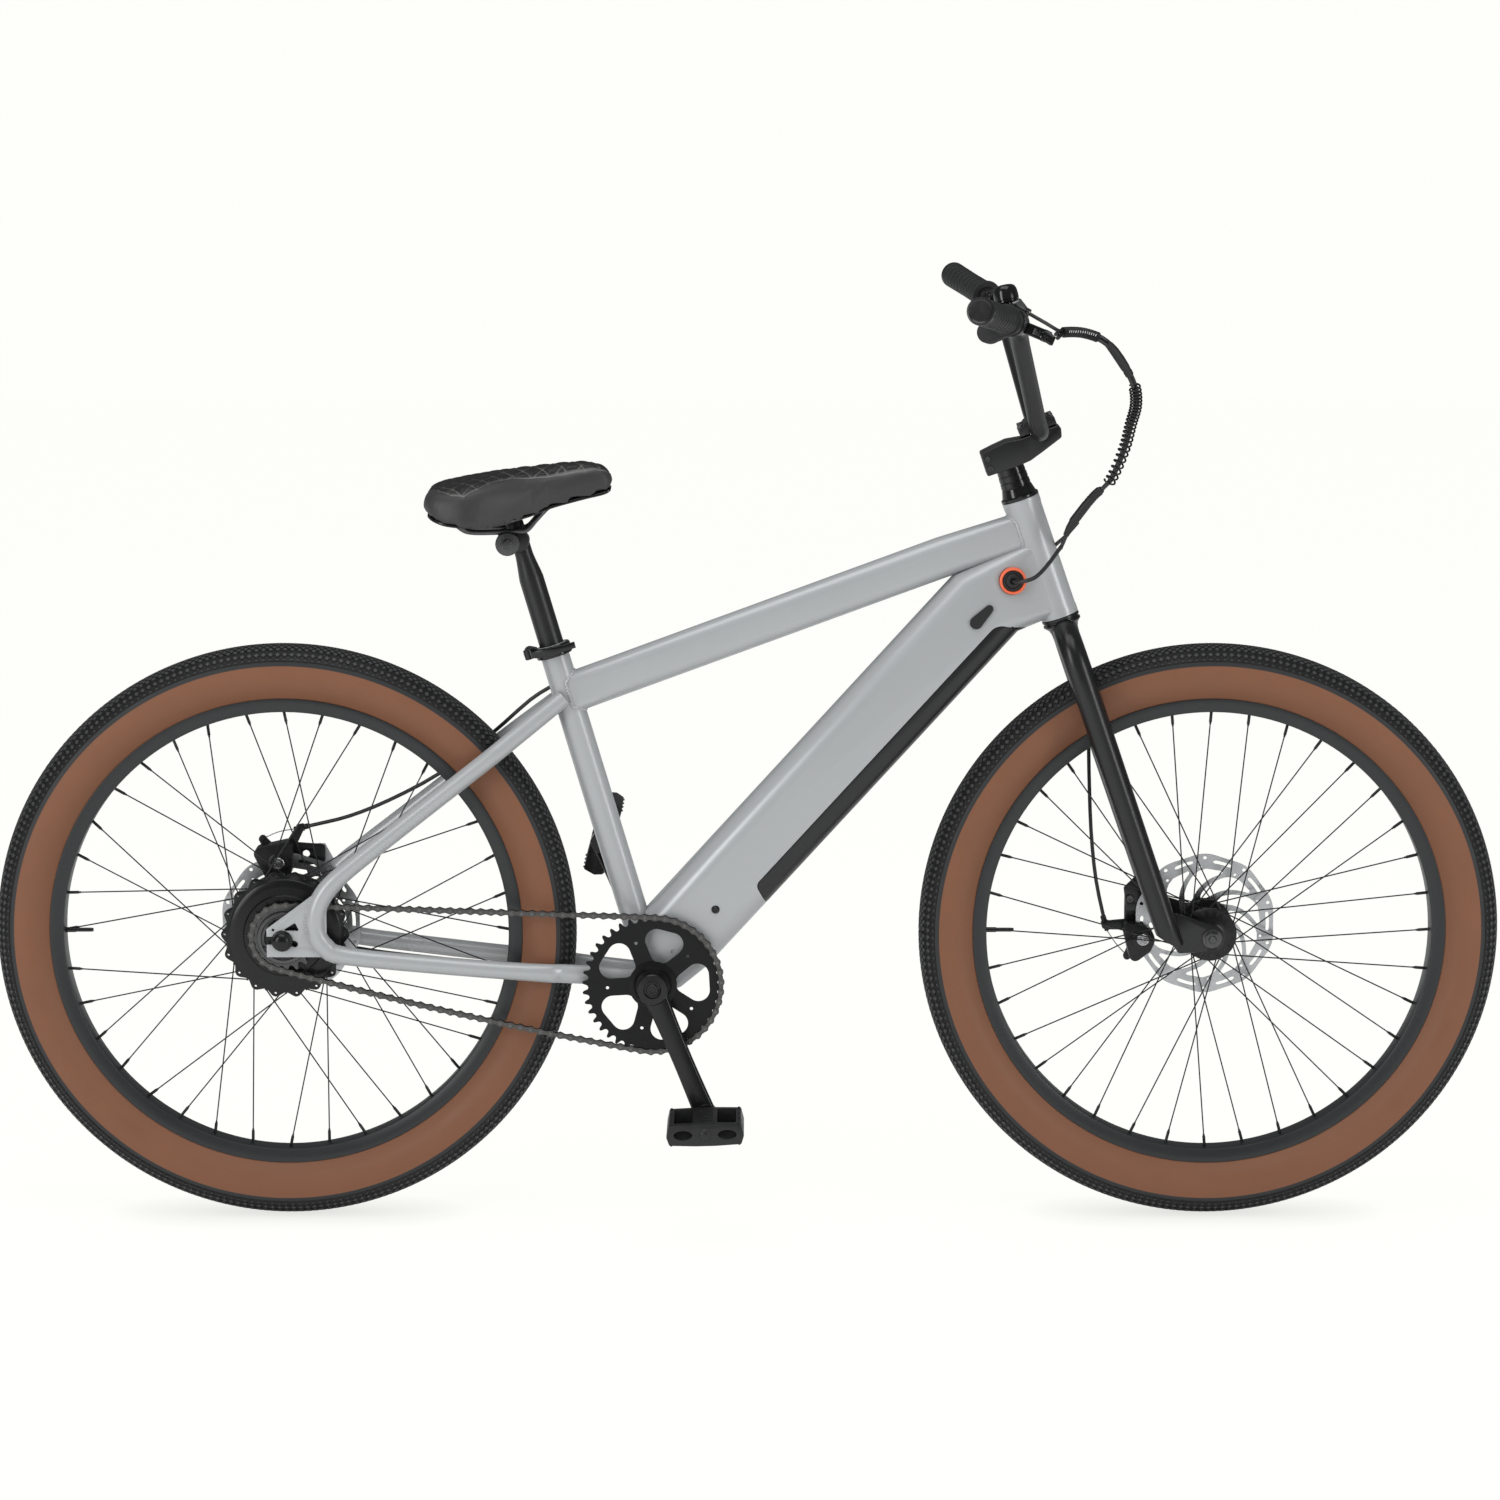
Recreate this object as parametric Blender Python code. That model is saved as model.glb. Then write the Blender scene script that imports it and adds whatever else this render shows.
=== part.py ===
"""An electric BMX bike: fat tan-wall tyres, disc brakes, hub motor and a battery in the down tube.

Metres, +Z up, +X forward, the drive side towards -Y. The origin is on the ground, midway between the axles.
"""

from math import acos, atan2, cos, degrees, pi, radians, sin

import bmesh
import bpy
from mathutils import Vector

for old in list(bpy.data.objects):
    bpy.data.objects.remove(old, do_unlink=True)

# Driving sizes.
GAP = 0.0003
WHEEL_RADIUS = 0.362
WHEEL_SIDES = 30
REAR_AXLE = Vector((-0.575, 0.0, WHEEL_RADIUS))
FRONT_AXLE = Vector((0.575, 0.0, WHEEL_RADIUS))
CRANK_AXLE = Vector((-0.1176, 0.0, 0.302))
HEAD_BOTTOM = Vector((0.386, 0.0, 0.758))
HEAD_TOP = Vector((0.336, 0.0, 0.903))
SEAT_TOP = Vector((-0.2395, 0.0, 0.712))
SEAT_TUBE_RADIUS = 0.0178
SEATPOST_RADIUS = 0.0152
STEERER_RADIUS = 0.0143
BAR_RADIUS = 0.0111
BAR_CENTRE = Vector((0.357, 0.0, 0.988))
CRANK_LENGTH = 0.170
CHAIN_PITCH = 0.0127
CHAIN_LINKS = 104
CHAINRING_TEETH = 42
SPROCKET_TEETH = 20
CHAIN_Y = -0.0485
FRONT_ROTOR_Y = 0.0412
REAR_ROTOR_Y = 0.0482

X = Vector((1.0, 0.0, 0.0))
Y = Vector((0.0, 1.0, 0.0))
Z = Vector((0.0, 0.0, 1.0))
STEER = (HEAD_TOP - HEAD_BOTTOM).normalized()
SEAT = (SEAT_TOP - CRANK_AXLE).normalized()
HEAD_LENGTH = (HEAD_TOP - HEAD_BOTTOM).length


def look(name, colour, roughness, metallic=0.0):
    """A material of its own for one sub-part."""
    made = bpy.data.materials.new(name)
    made.use_nodes = True
    shader = made.node_tree.nodes["Principled BSDF"]
    shader.inputs["Base Color"].default_value = (*colour, 1.0)
    shader.inputs["Roughness"].default_value = roughness
    shader.inputs["Metallic"].default_value = metallic
    return made


def solid(points, faces):
    """A mesh object from its points and faces, with the faces turned outward."""
    mesh = bpy.data.meshes.new("solid")
    mesh.from_pydata([tuple(point) for point in points], [], faces)
    shape = bmesh.new()
    shape.from_mesh(mesh)
    bmesh.ops.recalc_face_normals(shape, faces=shape.faces)
    shape.to_mesh(mesh)
    shape.free()
    made = bpy.data.objects.new("solid", mesh)
    bpy.context.collection.objects.link(made)
    return made


def loft(rings, closed=False):
    """A skin through rings of equal count, capped at both ends or closed back on itself."""
    count = len(rings[0])
    points = [point for ring in rings for point in ring]
    faces = []
    for i in range(len(rings) if closed else len(rings) - 1):
        a = i * count
        b = (i + 1) % len(rings) * count
        for j in range(count):
            k = (j + 1) % count
            faces.append((a + j, a + k, b + k, b + j))
    if not closed:
        faces.append(tuple(range(count)))
        faces.append(tuple(range(len(points) - count, len(points))))
    return solid(points, faces)


def turned(centre, axis, profile, sides=20, bored=False, flat_down=False):
    """A turned piece from (radius, along) points, capped at both ends, or closed on itself when bored."""
    axis = Vector(axis).normalized()
    start = -Z if abs(axis.z) < 0.9 else X
    first = (start - axis * start.dot(axis)).normalized()
    second = axis.cross(first)
    rings = []
    for radius, along in profile:
        ring = []
        for i in range(sides):
            angle = 2 * pi * (i + (0.5 if flat_down else 0.0)) / sides
            ring.append(Vector(centre) + axis * along + (first * cos(angle) + second * sin(angle)) * radius)
        rings.append(ring)
    return loft(rings, closed=bored)


def rod(start, end, radius, sides=10):
    """A plain round bar between two points."""
    start = Vector(start)
    axis = Vector(end) - start
    return turned(start, axis, [(radius, 0.0), (radius, axis.length)], sides)


def fitting(radius, sides):
    """The radius of a many-sided bore that leaves a gap round a pin of this radius."""
    return (radius + GAP) / cos(pi / sides)


def oval(half_u, half_v, sides):
    return [(half_u * cos(2 * pi * i / sides), half_v * sin(2 * pi * i / sides)) for i in range(sides)]


def rounded(half_u, half_v, corner, steps=2):
    """A rectangle with round corners, as (u, v) points."""
    points = []
    for quarter, (along_u, along_v) in enumerate(((1, 1), (-1, 1), (-1, -1), (1, -1))):
        for step in range(steps + 1):
            angle = (quarter + step / steps) * pi / 2
            u = along_u * (half_u - corner) + corner * cos(angle)
            v = along_v * (half_v - corner) + corner * sin(angle)
            points.append((u, v))
    return points


def frames_along(path, hint, fixed):
    """For each point of a path, the point and two directions square to the path."""
    path = [Vector(point) for point in path]
    side = Vector(hint)
    found = []
    for i, point in enumerate(path):
        along = (path[min(i + 1, len(path) - 1)] - path[max(i - 1, 0)]).normalized()
        start = Vector(hint) if fixed else side
        side = (start - along * start.dot(along)).normalized()
        found.append((point, side, along.cross(side)))
    return found


def sweep(path, sections, hint=Y, fixed=False):
    """A solid along a path, with one (u, v) section throughout or one for each point."""
    rings = []
    for i, (point, first, second) in enumerate(frames_along(path, hint, fixed)):
        section = sections if isinstance(sections[0], tuple) else sections[i]
        rings.append([point + first * u + second * v for u, v in section])
    return loft(rings)


def tube(path, radius, sides=8, hint=Y):
    """A round tube, with one radius throughout or one for each point."""
    if isinstance(radius, float):
        return sweep(path, oval(radius, radius, sides), hint)
    return sweep(path, [oval(each, each, sides) for each in radius], hint)


def pipe(path, outer, inner, sides=8, hint=Y):
    """A hollow tube that is open at both ends, with an outer radius for each point."""
    frames = frames_along(path, hint, False)
    rings = []
    for (point, first, second), radius in zip(frames, outer):
        rings.append([point + first * u + second * v for u, v in oval(radius, radius, sides)])
    for point, first, second in frames[::-1]:
        rings.append([point + first * u + second * v for u, v in oval(inner, inner, sides)])
    return loft(rings, closed=True)


def prism(outline, low, high, origin=(0.0, 0.0, 0.0), first=X, second=Z):
    """An outline of (u, v) points given thickness, by default in the X-Z plane from y=low to y=high."""
    normal = -first.cross(second)
    rings = []
    for height in (low, high):
        rings.append([Vector(origin) + first * u + second * v + normal * height for u, v in outline])
    return loft(rings)


def box(low, high):
    """A block between two corners."""
    outline = [(low[0], low[2]), (high[0], low[2]), (high[0], high[2]), (low[0], high[2])]
    return prism(outline, low[1], high[1])


def dots(u, v, radius, count=16):
    return [(u + radius * cos(2 * pi * i / count), v + radius * sin(2 * pi * i / count)) for i in range(count)]


def hull(points):
    """The convex outline round these points."""
    ordered = sorted(set((round(u, 7), round(v, 7)) for u, v in points))
    outline = []
    for run in (ordered, ordered[::-1]):
        line = []
        for u, v in run:
            while len(line) > 1:
                (au, av), (bu, bv) = line[-2:]
                if (bu - au) * (v - av) - (bv - av) * (u - au) > 1e-12:
                    break
                line.pop()
            line.append((u, v))
        outline += line[:-1]
    return outline


def curve_through(points, steps):
    """A smooth line through the given points, with this many steps between each two."""
    points = [Vector(point) for point in points]
    ends = [points[0] * 2 - points[1], *points, points[-1] * 2 - points[-2]]
    path = []
    for i in range(1, len(ends) - 2):
        before, start, end, after = ends[i - 1 : i + 3]
        for step in range(steps):
            t = step / steps
            slope = (end - before) * t
            bend = (before * 2 - start * 5 + end * 4 - after) * t**2
            twist = (after - before + (start - end) * 3) * t**3
            path.append((start * 2 + slope + bend + twist) / 2)
    path.append(points[-1])
    return path


def combined(target, others, operation):
    """The target with other solids added to it or cut from it. The others are used up."""
    for other in others:
        step = target.modifiers.new("step", "BOOLEAN")
        step.operation = operation
        step.solver = "EXACT"
        step.object = other
        graph = bpy.context.evaluated_depsgraph_get()
        result = bpy.data.meshes.new_from_object(target.evaluated_get(graph))
        target.modifiers.clear()
        target.data = result
        bpy.data.objects.remove(other, do_unlink=True)
    return target


def united(target, *others):
    return combined(target, others, "UNION")


def cut(target, *others):
    return combined(target, others, "DIFFERENCE")


def named(name, made, finish):
    """The finished sub-part, with its name and its own material."""
    made.name = name
    made.data.name = name
    made.data.materials.clear()
    made.data.materials.append(look(name, *finish))
    for polygon in made.data.polygons:
        polygon.material_index = 0
    return made


# Finishes: colour, roughness, metallic.
SILVER = ((0.42, 0.44, 0.47), 0.35, 0.4)
SATIN_BLACK = ((0.03, 0.03, 0.032), 0.45, 0.2)
GLOSS_BLACK = ((0.015, 0.015, 0.016), 0.2, 0.2)
RUBBER = ((0.035, 0.035, 0.037), 0.8)
TYRE = ((0.05, 0.048, 0.047), 0.85)
STEEL = ((0.45, 0.45, 0.45), 0.3, 1.0)
DARK_STEEL = ((0.10, 0.10, 0.10), 0.4, 0.9)
ORANGE = ((0.85, 0.13, 0.05), 0.5)
VINYL = ((0.04, 0.04, 0.042), 0.55)

# Wheels: solid tyre sections on box rims, each standing on a flat facet.
HALF_FACET = pi / WHEEL_SIDES
tyre_half = [
    (0.2896, 0.0168),
    (0.2996, 0.0172),
    (0.3120, 0.0330),
    (0.3440, 0.0305),
    (WHEEL_RADIUS / cos(HALF_FACET), 0.0105),
]
tyre_profile = tyre_half + [(radius, -along) for radius, along in tyre_half[::-1]]
rim_profile = [
    (0.277, -0.0165),
    (0.277, 0.0165),
    (0.298, 0.0200),
    (0.2893, 0.0172),
    (0.2893, -0.0172),
    (0.298, -0.0200),
]
tyres = {}
rims = {}
for place, axle in (("front", FRONT_AXLE), ("rear", REAR_AXLE)):
    tyre = turned(axle, Y, tyre_profile, WHEEL_SIDES, bored=True, flat_down=True)
    rim = turned(axle, Y, rim_profile, WHEEL_SIDES, bored=True, flat_down=True)
    tyres[place] = named(f"{place}_tyre", tyre, TYRE)
    rims[place] = named(f"{place}_rim", rim, SATIN_BLACK)


def spokes(axle, hub_radius, flange_y, lean):
    """36 crossed wires, as loose prisms in one mesh, to be united with a hub shell."""
    points = []
    faces = []
    for side in (-1, 1):
        for i in range(18):
            way = 1 if i % 2 else -1
            hole = radians(20 * i + (10 if side > 0 else 0))
            end = hole + radians(lean) * way
            off_middle = (end + HALF_FACET) % (2 * HALF_FACET) - HALF_FACET
            reach = 0.277 * cos(HALF_FACET) / cos(off_middle) - 0.0009
            foot = Vector((hub_radius * sin(hole), flange_y * side + 0.0012 * way, -hub_radius * cos(hole)))
            tip = Vector((reach * sin(end), 0.004 * side + 0.0012 * way, -reach * cos(end)))
            along = (tip - foot).normalized()
            first = (Y - along * Y.dot(along)).normalized()
            second = along.cross(first)
            base = len(points)
            for middle in (foot, tip):
                for corner in range(3):
                    angle = 2 * pi * corner / 3
                    points.append(axle + middle + (first * cos(angle) + second * sin(angle)) * 0.0010)
            faces.append((base, base + 1, base + 2))
            faces.append((base + 3, base + 4, base + 5))
            for corner in range(3):
                after = (corner + 1) % 3
                faces.append((base + corner, base + after, base + 3 + after, base + 3 + corner))
    return solid(points, faces)


front_hub = turned(
    FRONT_AXLE,
    Y,
    [
        (0.0060, -0.0440),
        (0.0135, -0.0430),
        (0.0135, -0.0315),
        (0.0330, -0.0315),
        (0.0330, -0.0265),
        (0.0150, -0.0265),
        (0.0150, 0.0265),
        (0.0330, 0.0265),
        (0.0330, 0.0315),
        (0.0230, 0.0315),
        (0.0230, 0.0400),
        (0.0135, 0.0400),
        (0.0120, 0.0440),
        (0.0060, 0.0440),
    ],
    10,
    bored=True,
)
front_hub = named("front_hub", united(front_hub, spokes(FRONT_AXLE, 0.0270, 0.0290, 60)), GLOSS_BLACK)

motor_core = turned(
    REAR_AXLE,
    Y,
    [
        (0.0230, -0.0560),
        (0.0230, -0.0400),
        (0.0520, -0.0385),
        (0.0715, -0.0330),
        (0.0715, 0.0310),
        (0.0450, 0.0360),
        (0.0240, 0.0360),
        (0.0240, 0.0470),
    ],
    18,
)
scallops = []
for i in range(24):
    angle = 2 * pi * i / 24
    radius = 0.0765 + 0.0035 * (-1) ** i
    scallops.append((REAR_AXLE.x + radius * sin(angle), REAR_AXLE.z - radius * cos(angle)))
motor_core = united(motor_core, prism(scallops, -0.0320, -0.0272), prism(scallops, 0.0252, 0.0300))
motor_core = united(motor_core, spokes(REAR_AXLE, 0.0660, 0.0285, 40))
motor_bore = rod(REAR_AXLE - Y * 0.06, REAR_AXLE + Y * 0.05, fitting(0.0075, 10), 10)
motor_shell = named("motor_shell", cut(motor_core, motor_bore), SATIN_BLACK)


def rotor(name, axle, middle):
    """A wavy brake disc: a track and a mounting ring, with six leaning arms between them."""
    rings = []
    for radius, wave, spacing in (
        (0.0165, 0.0, (0, 14)),
        (0.0260, 0.0, (0, 14)),
        (0.0745, 0.0, (30, 36, 54, 72)),
        (0.0880, 0.0010, (30, 36, 54, 72)),
    ):
        ring = []
        for arm in range(6):
            for i, turn in enumerate(spacing):
                angle = radians(60 * arm + turn)
                reach = radius + wave * (-1) ** i
                ring.append(axle + Y * middle + X * (reach * cos(angle)) + Z * (reach * sin(angle)))
        rings.append(ring)
    flat = [point for ring in rings for point in ring]
    count = len(flat)
    points = [point - Y * 0.0009 for point in flat] + [point + Y * 0.0009 for point in flat]
    faces = []
    for first, size, step in ((0, 12, 2), (24, 24, 4)):
        for i in range(size):
            inner, outer = first + i, first + size + i
            inner_next, outer_next = first + (i + 1) % size, first + size + (i + 1) % size
            faces.append((inner, inner_next, outer_next, outer))
            faces.append((inner + count, inner_next + count, outer_next + count, outer + count))
            open_inside = first == 0 or i % step
            open_outside = first > 0 or i % step
            if open_inside:
                faces.append((inner, inner_next, inner_next + count, inner + count))
            if open_outside:
                faces.append((outer, outer_next, outer_next + count, outer + count))
    for arm in range(6):
        foot = 12 + 2 * arm
        tip = 24 + 4 * arm
        for low in (0, count):
            faces.append((foot + low, foot + 1 + low, tip + 1 + low, tip + low))
        for side in (0, 1):
            faces.append((foot + side, tip + side, tip + side + count, foot + side + count))
    return named(name, solid(points, faces), STEEL)


front_rotor = rotor("front_rotor", FRONT_AXLE, FRONT_ROTOR_Y)
rear_rotor = rotor("rear_rotor", REAR_AXLE, REAR_ROTOR_Y)

front_axle_half = [
    (0.0045, 0.0665),
    (0.0045, 0.0625),
    (0.0095, 0.0625),
    (0.0095, 0.0563),
    (0.0045, 0.0563),
    (0.0045, 0.0497),
    (0.0085, 0.0497),
    (0.0045, 0.0443),
]
front_axle = front_axle_half + [(radius, -along) for radius, along in front_axle_half[::-1]]
front_axle = named("front_axle", turned(FRONT_AXLE, Y, front_axle, 8), STEEL)

# The axle, with its washers and domed nuts.
rear_axle_half = [
    (0.0060, 0.0845),
    (0.0118, 0.0790),
    (0.0118, 0.0728),
    (0.0128, 0.0708),
    (0.0047, 0.0708),
    (0.0047, 0.0642),
    (0.0075, 0.0642),
]
rear_axle = rear_axle_half + [(radius, -along) for radius, along in rear_axle_half[::-1]]
rear_axle = named("rear_axle", turned(REAR_AXLE, Y, rear_axle, 10), DARK_STEEL)

# Chain drive. The upper run is straight and the lower one sags until 104 pitches fit.
SPROCKET_PITCH_RADIUS = CHAIN_PITCH / (2 * sin(pi / SPROCKET_TEETH))
CHAINRING_PITCH_RADIUS = CHAIN_PITCH / (2 * sin(pi / CHAINRING_TEETH))
between = CRANK_AXLE - REAR_AXLE
DRIVE_ANGLE = atan2(between.z, between.x)
WRAP = acos((SPROCKET_PITCH_RADIUS - CHAINRING_PITCH_RADIUS) / between.length)
UPPER_RUN = (between.length**2 - (CHAINRING_PITCH_RADIUS - SPROCKET_PITCH_RADIUS) ** 2) ** 0.5


def on_circle(centre, radius, angle):
    return centre + X * (radius * cos(angle)) + Z * (radius * sin(angle))


def lower_run(droop):
    """Points on the slack run, which leaves and meets the sprockets this much off the taut line."""
    start_angle = DRIVE_ANGLE - WRAP + droop
    end_angle = DRIVE_ANGLE - WRAP - droop
    start = on_circle(CRANK_AXLE, CHAINRING_PITCH_RADIUS, start_angle)
    end = on_circle(REAR_AXLE, SPROCKET_PITCH_RADIUS, end_angle)
    reach = (end - start).length
    leave = (X * sin(start_angle) - Z * cos(start_angle)) * reach
    arrive = (X * sin(end_angle) - Z * cos(end_angle)) * reach
    points = []
    for i in range(401):
        t = i / 400
        point = start * (2 * t**3 - 3 * t**2 + 1) + end * (3 * t**2 - 2 * t**3)
        points.append(point + leave * (t**3 - 2 * t**2 + t) + arrive * (t**3 - t**2))
    return points


def run_length(points):
    return sum((after - before).length for before, after in zip(points, points[1:]))


def chain_pitches(droop):
    """Pitches on the chainring, the lower run, the sprocket and the upper run."""
    return [
        (2 * WRAP - droop) * CHAINRING_TEETH / (2 * pi),
        run_length(lower_run(droop)) / CHAIN_PITCH,
        (2 * pi - 2 * WRAP - droop) * SPROCKET_TEETH / (2 * pi),
        UPPER_RUN / CHAIN_PITCH,
    ]


least, most = 0.0, 0.3
for _ in range(60):
    middle = (least + most) / 2
    if sum(chain_pitches(middle)) < CHAIN_LINKS:
        least = middle
    else:
        most = middle
DROOP = (least + most) / 2
parts = chain_pitches(DROOP)
SLACK_RUN = lower_run(DROOP)
print(f"chain slack {degrees(DROOP):.2f} degrees, {sum(parts):.3f} pitches")


def pin_place(count):
    """Where the chain is, this many pitches on from the top of the chainring."""
    if count < parts[0]:
        angle = DRIVE_ANGLE + WRAP - count * 2 * pi / CHAINRING_TEETH
        return on_circle(CRANK_AXLE, CHAINRING_PITCH_RADIUS, angle)
    count -= parts[0]
    if count < parts[1]:
        left = count * CHAIN_PITCH
        for before, after in zip(SLACK_RUN, SLACK_RUN[1:]):
            step = (after - before).length
            if left <= step:
                return before + (after - before) * (left / step)
            left -= step
        return SLACK_RUN[-1]
    count -= parts[1]
    if count < parts[2]:
        angle = DRIVE_ANGLE - WRAP - DROOP - count * 2 * pi / SPROCKET_TEETH
        return on_circle(REAR_AXLE, SPROCKET_PITCH_RADIUS, angle)
    part = (count - parts[2]) / parts[3]
    start = on_circle(REAR_AXLE, SPROCKET_PITCH_RADIUS, DRIVE_ANGLE + WRAP)
    end = on_circle(CRANK_AXLE, CHAINRING_PITCH_RADIUS, DRIVE_ANGLE + WRAP)
    return start + (end - start) * part


def roller_chain():
    """One closed ladder: a rung at each pin, and a pair of side plates between each two.

    Each pin has two outer corners a side and two inner ones to each window, low and high.
    """
    pins = [pin_place(i) for i in range(CHAIN_LINKS)]
    points = []
    for i, pin in enumerate(pins):
        before = (pin - pins[i - 1]).normalized()
        after = (pins[(i + 1) % CHAIN_LINKS] - pin).normalized()
        middle = (before + after).normalized()
        for along, reach, half in (
            (middle, 0.0, 0.0040),
            (before, -0.0026, window_half(i - 1)),
            (after, 0.0026, window_half(i)),
        ):
            for side in (-half, half):
                for height in (-0.0042, 0.0042):
                    rise = along.cross(Y) * height
                    points.append(pin + along * reach + rise + Y * (CHAIN_Y + side))
    faces = []
    for i in range(CHAIN_LINKS):
        a = 12 * i
        b = 12 * ((i + 1) % CHAIN_LINKS)
        for level in (0, 1):
            faces.append((a + 4 + level, a + 6 + level, a + 10 + level, a + 8 + level))
            for side in (0, 2):
                faces.append((a + side + level, a + 4 + side + level, a + 8 + side + level))
                faces.append((a + side + level, a + 8 + side + level, b + 4 + side + level, b + side + level))
        faces.append((a + 4, a + 5, a + 7, a + 6))
        faces.append((a + 8, a + 9, a + 11, a + 10))
        for side in (0, 2):
            faces.append((a + side, a + side + 1, b + side + 1, b + side))
            faces.append((a + 8 + side, a + 9 + side, b + 5 + side, b + 4 + side))
    return solid(points, faces)


def window_half(link):
    """Half the width of the opening between a link's plates, inner and outer links by turns."""
    return 0.0017 if link % 2 == 0 else 0.0029


def toothed(centre, teeth, first_angle, root, tip, base):
    """The outline of a sprocket, its teeth midway between the chain's pins."""
    outline = []
    for i in range(teeth):
        angle = first_angle - (i + 0.5) * 2 * pi / teeth
        for radius, half in ((root, base), (tip, 0.0), (root, -base)):
            turn = angle + half / radius
            outline.append((centre.x + radius * cos(turn), centre.z + radius * sin(turn)))
    return outline


chain = named("chain", roller_chain(), DARK_STEEL)

chainring_outline = toothed(CRANK_AXLE, CHAINRING_TEETH, DRIVE_ANGLE + WRAP, 0.0804, 0.0886, 0.0029)
chainring = prism(chainring_outline, CHAIN_Y - 0.00125, CHAIN_Y + 0.00125)
windows = []
for i in range(5):
    angle = radians(75.2 - 72 * i)
    corners = []
    for radius, across in ((0.056, 0.012), (0.056, -0.012), (0.038, 0.0)):
        u = CRANK_AXLE.x + radius * cos(angle) - across * sin(angle)
        v = CRANK_AXLE.z + radius * sin(angle) + across * cos(angle)
        corners += dots(u, v, 0.012, 6)
    windows.append(prism(hull(corners), CHAIN_Y - 0.01, CHAIN_Y + 0.01))
chainring = cut(chainring, *windows)
spider_boss = turned(CRANK_AXLE, Y, [(0.0210, -0.0655), (0.0230, -0.0490)], 14)
crank_hole = rod(CRANK_AXLE - Y * 0.08, CRANK_AXLE - Y * 0.04, fitting(0.0075, 12), 12)
chainring = named("chainring", cut(united(chainring, spider_boss), crank_hole), SATIN_BLACK)

arrival = parts[0] + parts[1]
sprocket_start = DRIVE_ANGLE - WRAP - DROOP + arrival * 2 * pi / SPROCKET_TEETH
freewheel_outline = toothed(REAR_AXLE, SPROCKET_TEETH, sprocket_start, 0.0360, 0.0444, 0.0025)
freewheel = prism(freewheel_outline, CHAIN_Y - 0.00125, CHAIN_Y + 0.00125)
freewheel_body = turned(REAR_AXLE, Y, [(0.0320, -0.0560), (0.0330, -0.0443)], 12)
freewheel_bore = rod(REAR_AXLE - Y * 0.07, REAR_AXLE - Y * 0.03, fitting(0.0230, 12), 12)
freewheel = named("freewheel", cut(united(freewheel, freewheel_body), freewheel_bore), DARK_STEEL)

# Cranks: the right one carries the spindle, and each carries its pedal pin.
ARM_WAY = Vector((0.3875, 0.0, -0.9219)).normalized()
PEDAL_RIGHT = CRANK_AXLE + ARM_WAY * CRANK_LENGTH
PEDAL_LEFT = CRANK_AXLE - ARM_WAY * CRANK_LENGTH


def crank_arm(side, pedal):
    """One forged arm with a boss at each end and the pedal pin. Side is -1 on the drive side."""
    start = CRANK_AXLE + Y * (0.0735 * side)
    end = pedal + Y * (0.0845 * side)
    path = [start, start.lerp(end, 0.5), end]
    sections = [rounded(0.0070, half, 0.0040, 1) for half in (0.0150, 0.0135, 0.0120)]
    arm = sweep(path, sections)
    boss = rod(CRANK_AXLE + Y * (0.0662 * side), CRANK_AXLE + Y * (0.0820 * side), 0.0195, 12)
    eye = rod(pedal + Y * (0.0770 * side), pedal + Y * (0.0920 * side), 0.0145, 12)
    pin = rod(pedal + Y * (0.0900 * side), pedal + Y * (0.1760 * side), 0.0065, 6)
    return united(arm, boss, eye, pin)


spindle = rod(CRANK_AXLE - Y * 0.0720, CRANK_AXLE + Y * 0.0770, 0.0075, 12)
crank_right = named("crank_right", united(crank_arm(-1, PEDAL_RIGHT), spindle), GLOSS_BLACK)
spindle_seat = rod(CRANK_AXLE + Y * 0.0600, CRANK_AXLE + Y * 0.0775, fitting(0.0075, 12), 12)
crank_left = named("crank_left", cut(crank_arm(1, PEDAL_LEFT), spindle_seat), GLOSS_BLACK)


def pedal(centre, side, tilt):
    """A cage pedal with windows through its top and its ends."""
    ahead = X * cos(tilt) + Z * sin(tilt)
    up = Z * cos(tilt) - X * sin(tilt)
    near, far = sorted((0.1000 * side, 0.1900 * side))
    profile = [
        (-0.0475, -0.0020),
        (-0.0440, -0.0125),
        (-0.0120, -0.0140),
        (0.0120, -0.0140),
        (0.0440, -0.0125),
        (0.0475, -0.0020),
        (0.0440, 0.0125),
        (0.0120, 0.0135),
        (-0.0120, 0.0135),
        (-0.0440, 0.0125),
    ]
    body = prism(profile, near, far, centre, ahead, up)
    cutters = []
    for way in (-1, 1):
        window = [(way * 0.0150, -0.03), (way * 0.0380, -0.03), (way * 0.0380, 0.03), (way * 0.0150, 0.03)]
        cutters.append(prism(window, near + 0.010, far - 0.010, centre, ahead, up))
        end = [(way * 0.0270 + u * 1.9, v) for u, v in dots(0.0, 0.0, 0.0060, 8)]
        cutters.append(prism(end, near - 0.01, far + 0.01, centre, ahead, up))
    bore = rod(centre + Y * (0.09 * side), centre + Y * (0.1790 * side), fitting(0.0065, 6), 6)
    return cut(body, *cutters, bore)


pedal_right = named("pedal_right", pedal(PEDAL_RIGHT, -1, radians(1.5)), RUBBER)
pedal_left = named("pedal_left", pedal(PEDAL_LEFT, 1, radians(73.4)), RUBBER)

bottom_bracket_half = [(0.0085, 0.0385), (0.0212, 0.0385), (0.0212, 0.0348), (0.0172, 0.0348)]
bottom_bracket = bottom_bracket_half + [(radius, -along) for radius, along in bottom_bracket_half[::-1]]
bottom_bracket = named("bottom_bracket", turned(CRANK_AXLE, Y, bottom_bracket, 12, bored=True), STEEL)

# Main frame: head tube, top tube, seat tube, crank shell and the boxy down tube.
DOWN_START = Vector((-0.0785, 0.0, 0.365))
DOWN_WAY = Vector((0.6730, 0.0, 0.7396)).normalized()
DOWN_BELOW = Vector((DOWN_WAY.z, 0.0, -DOWN_WAY.x))


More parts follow.
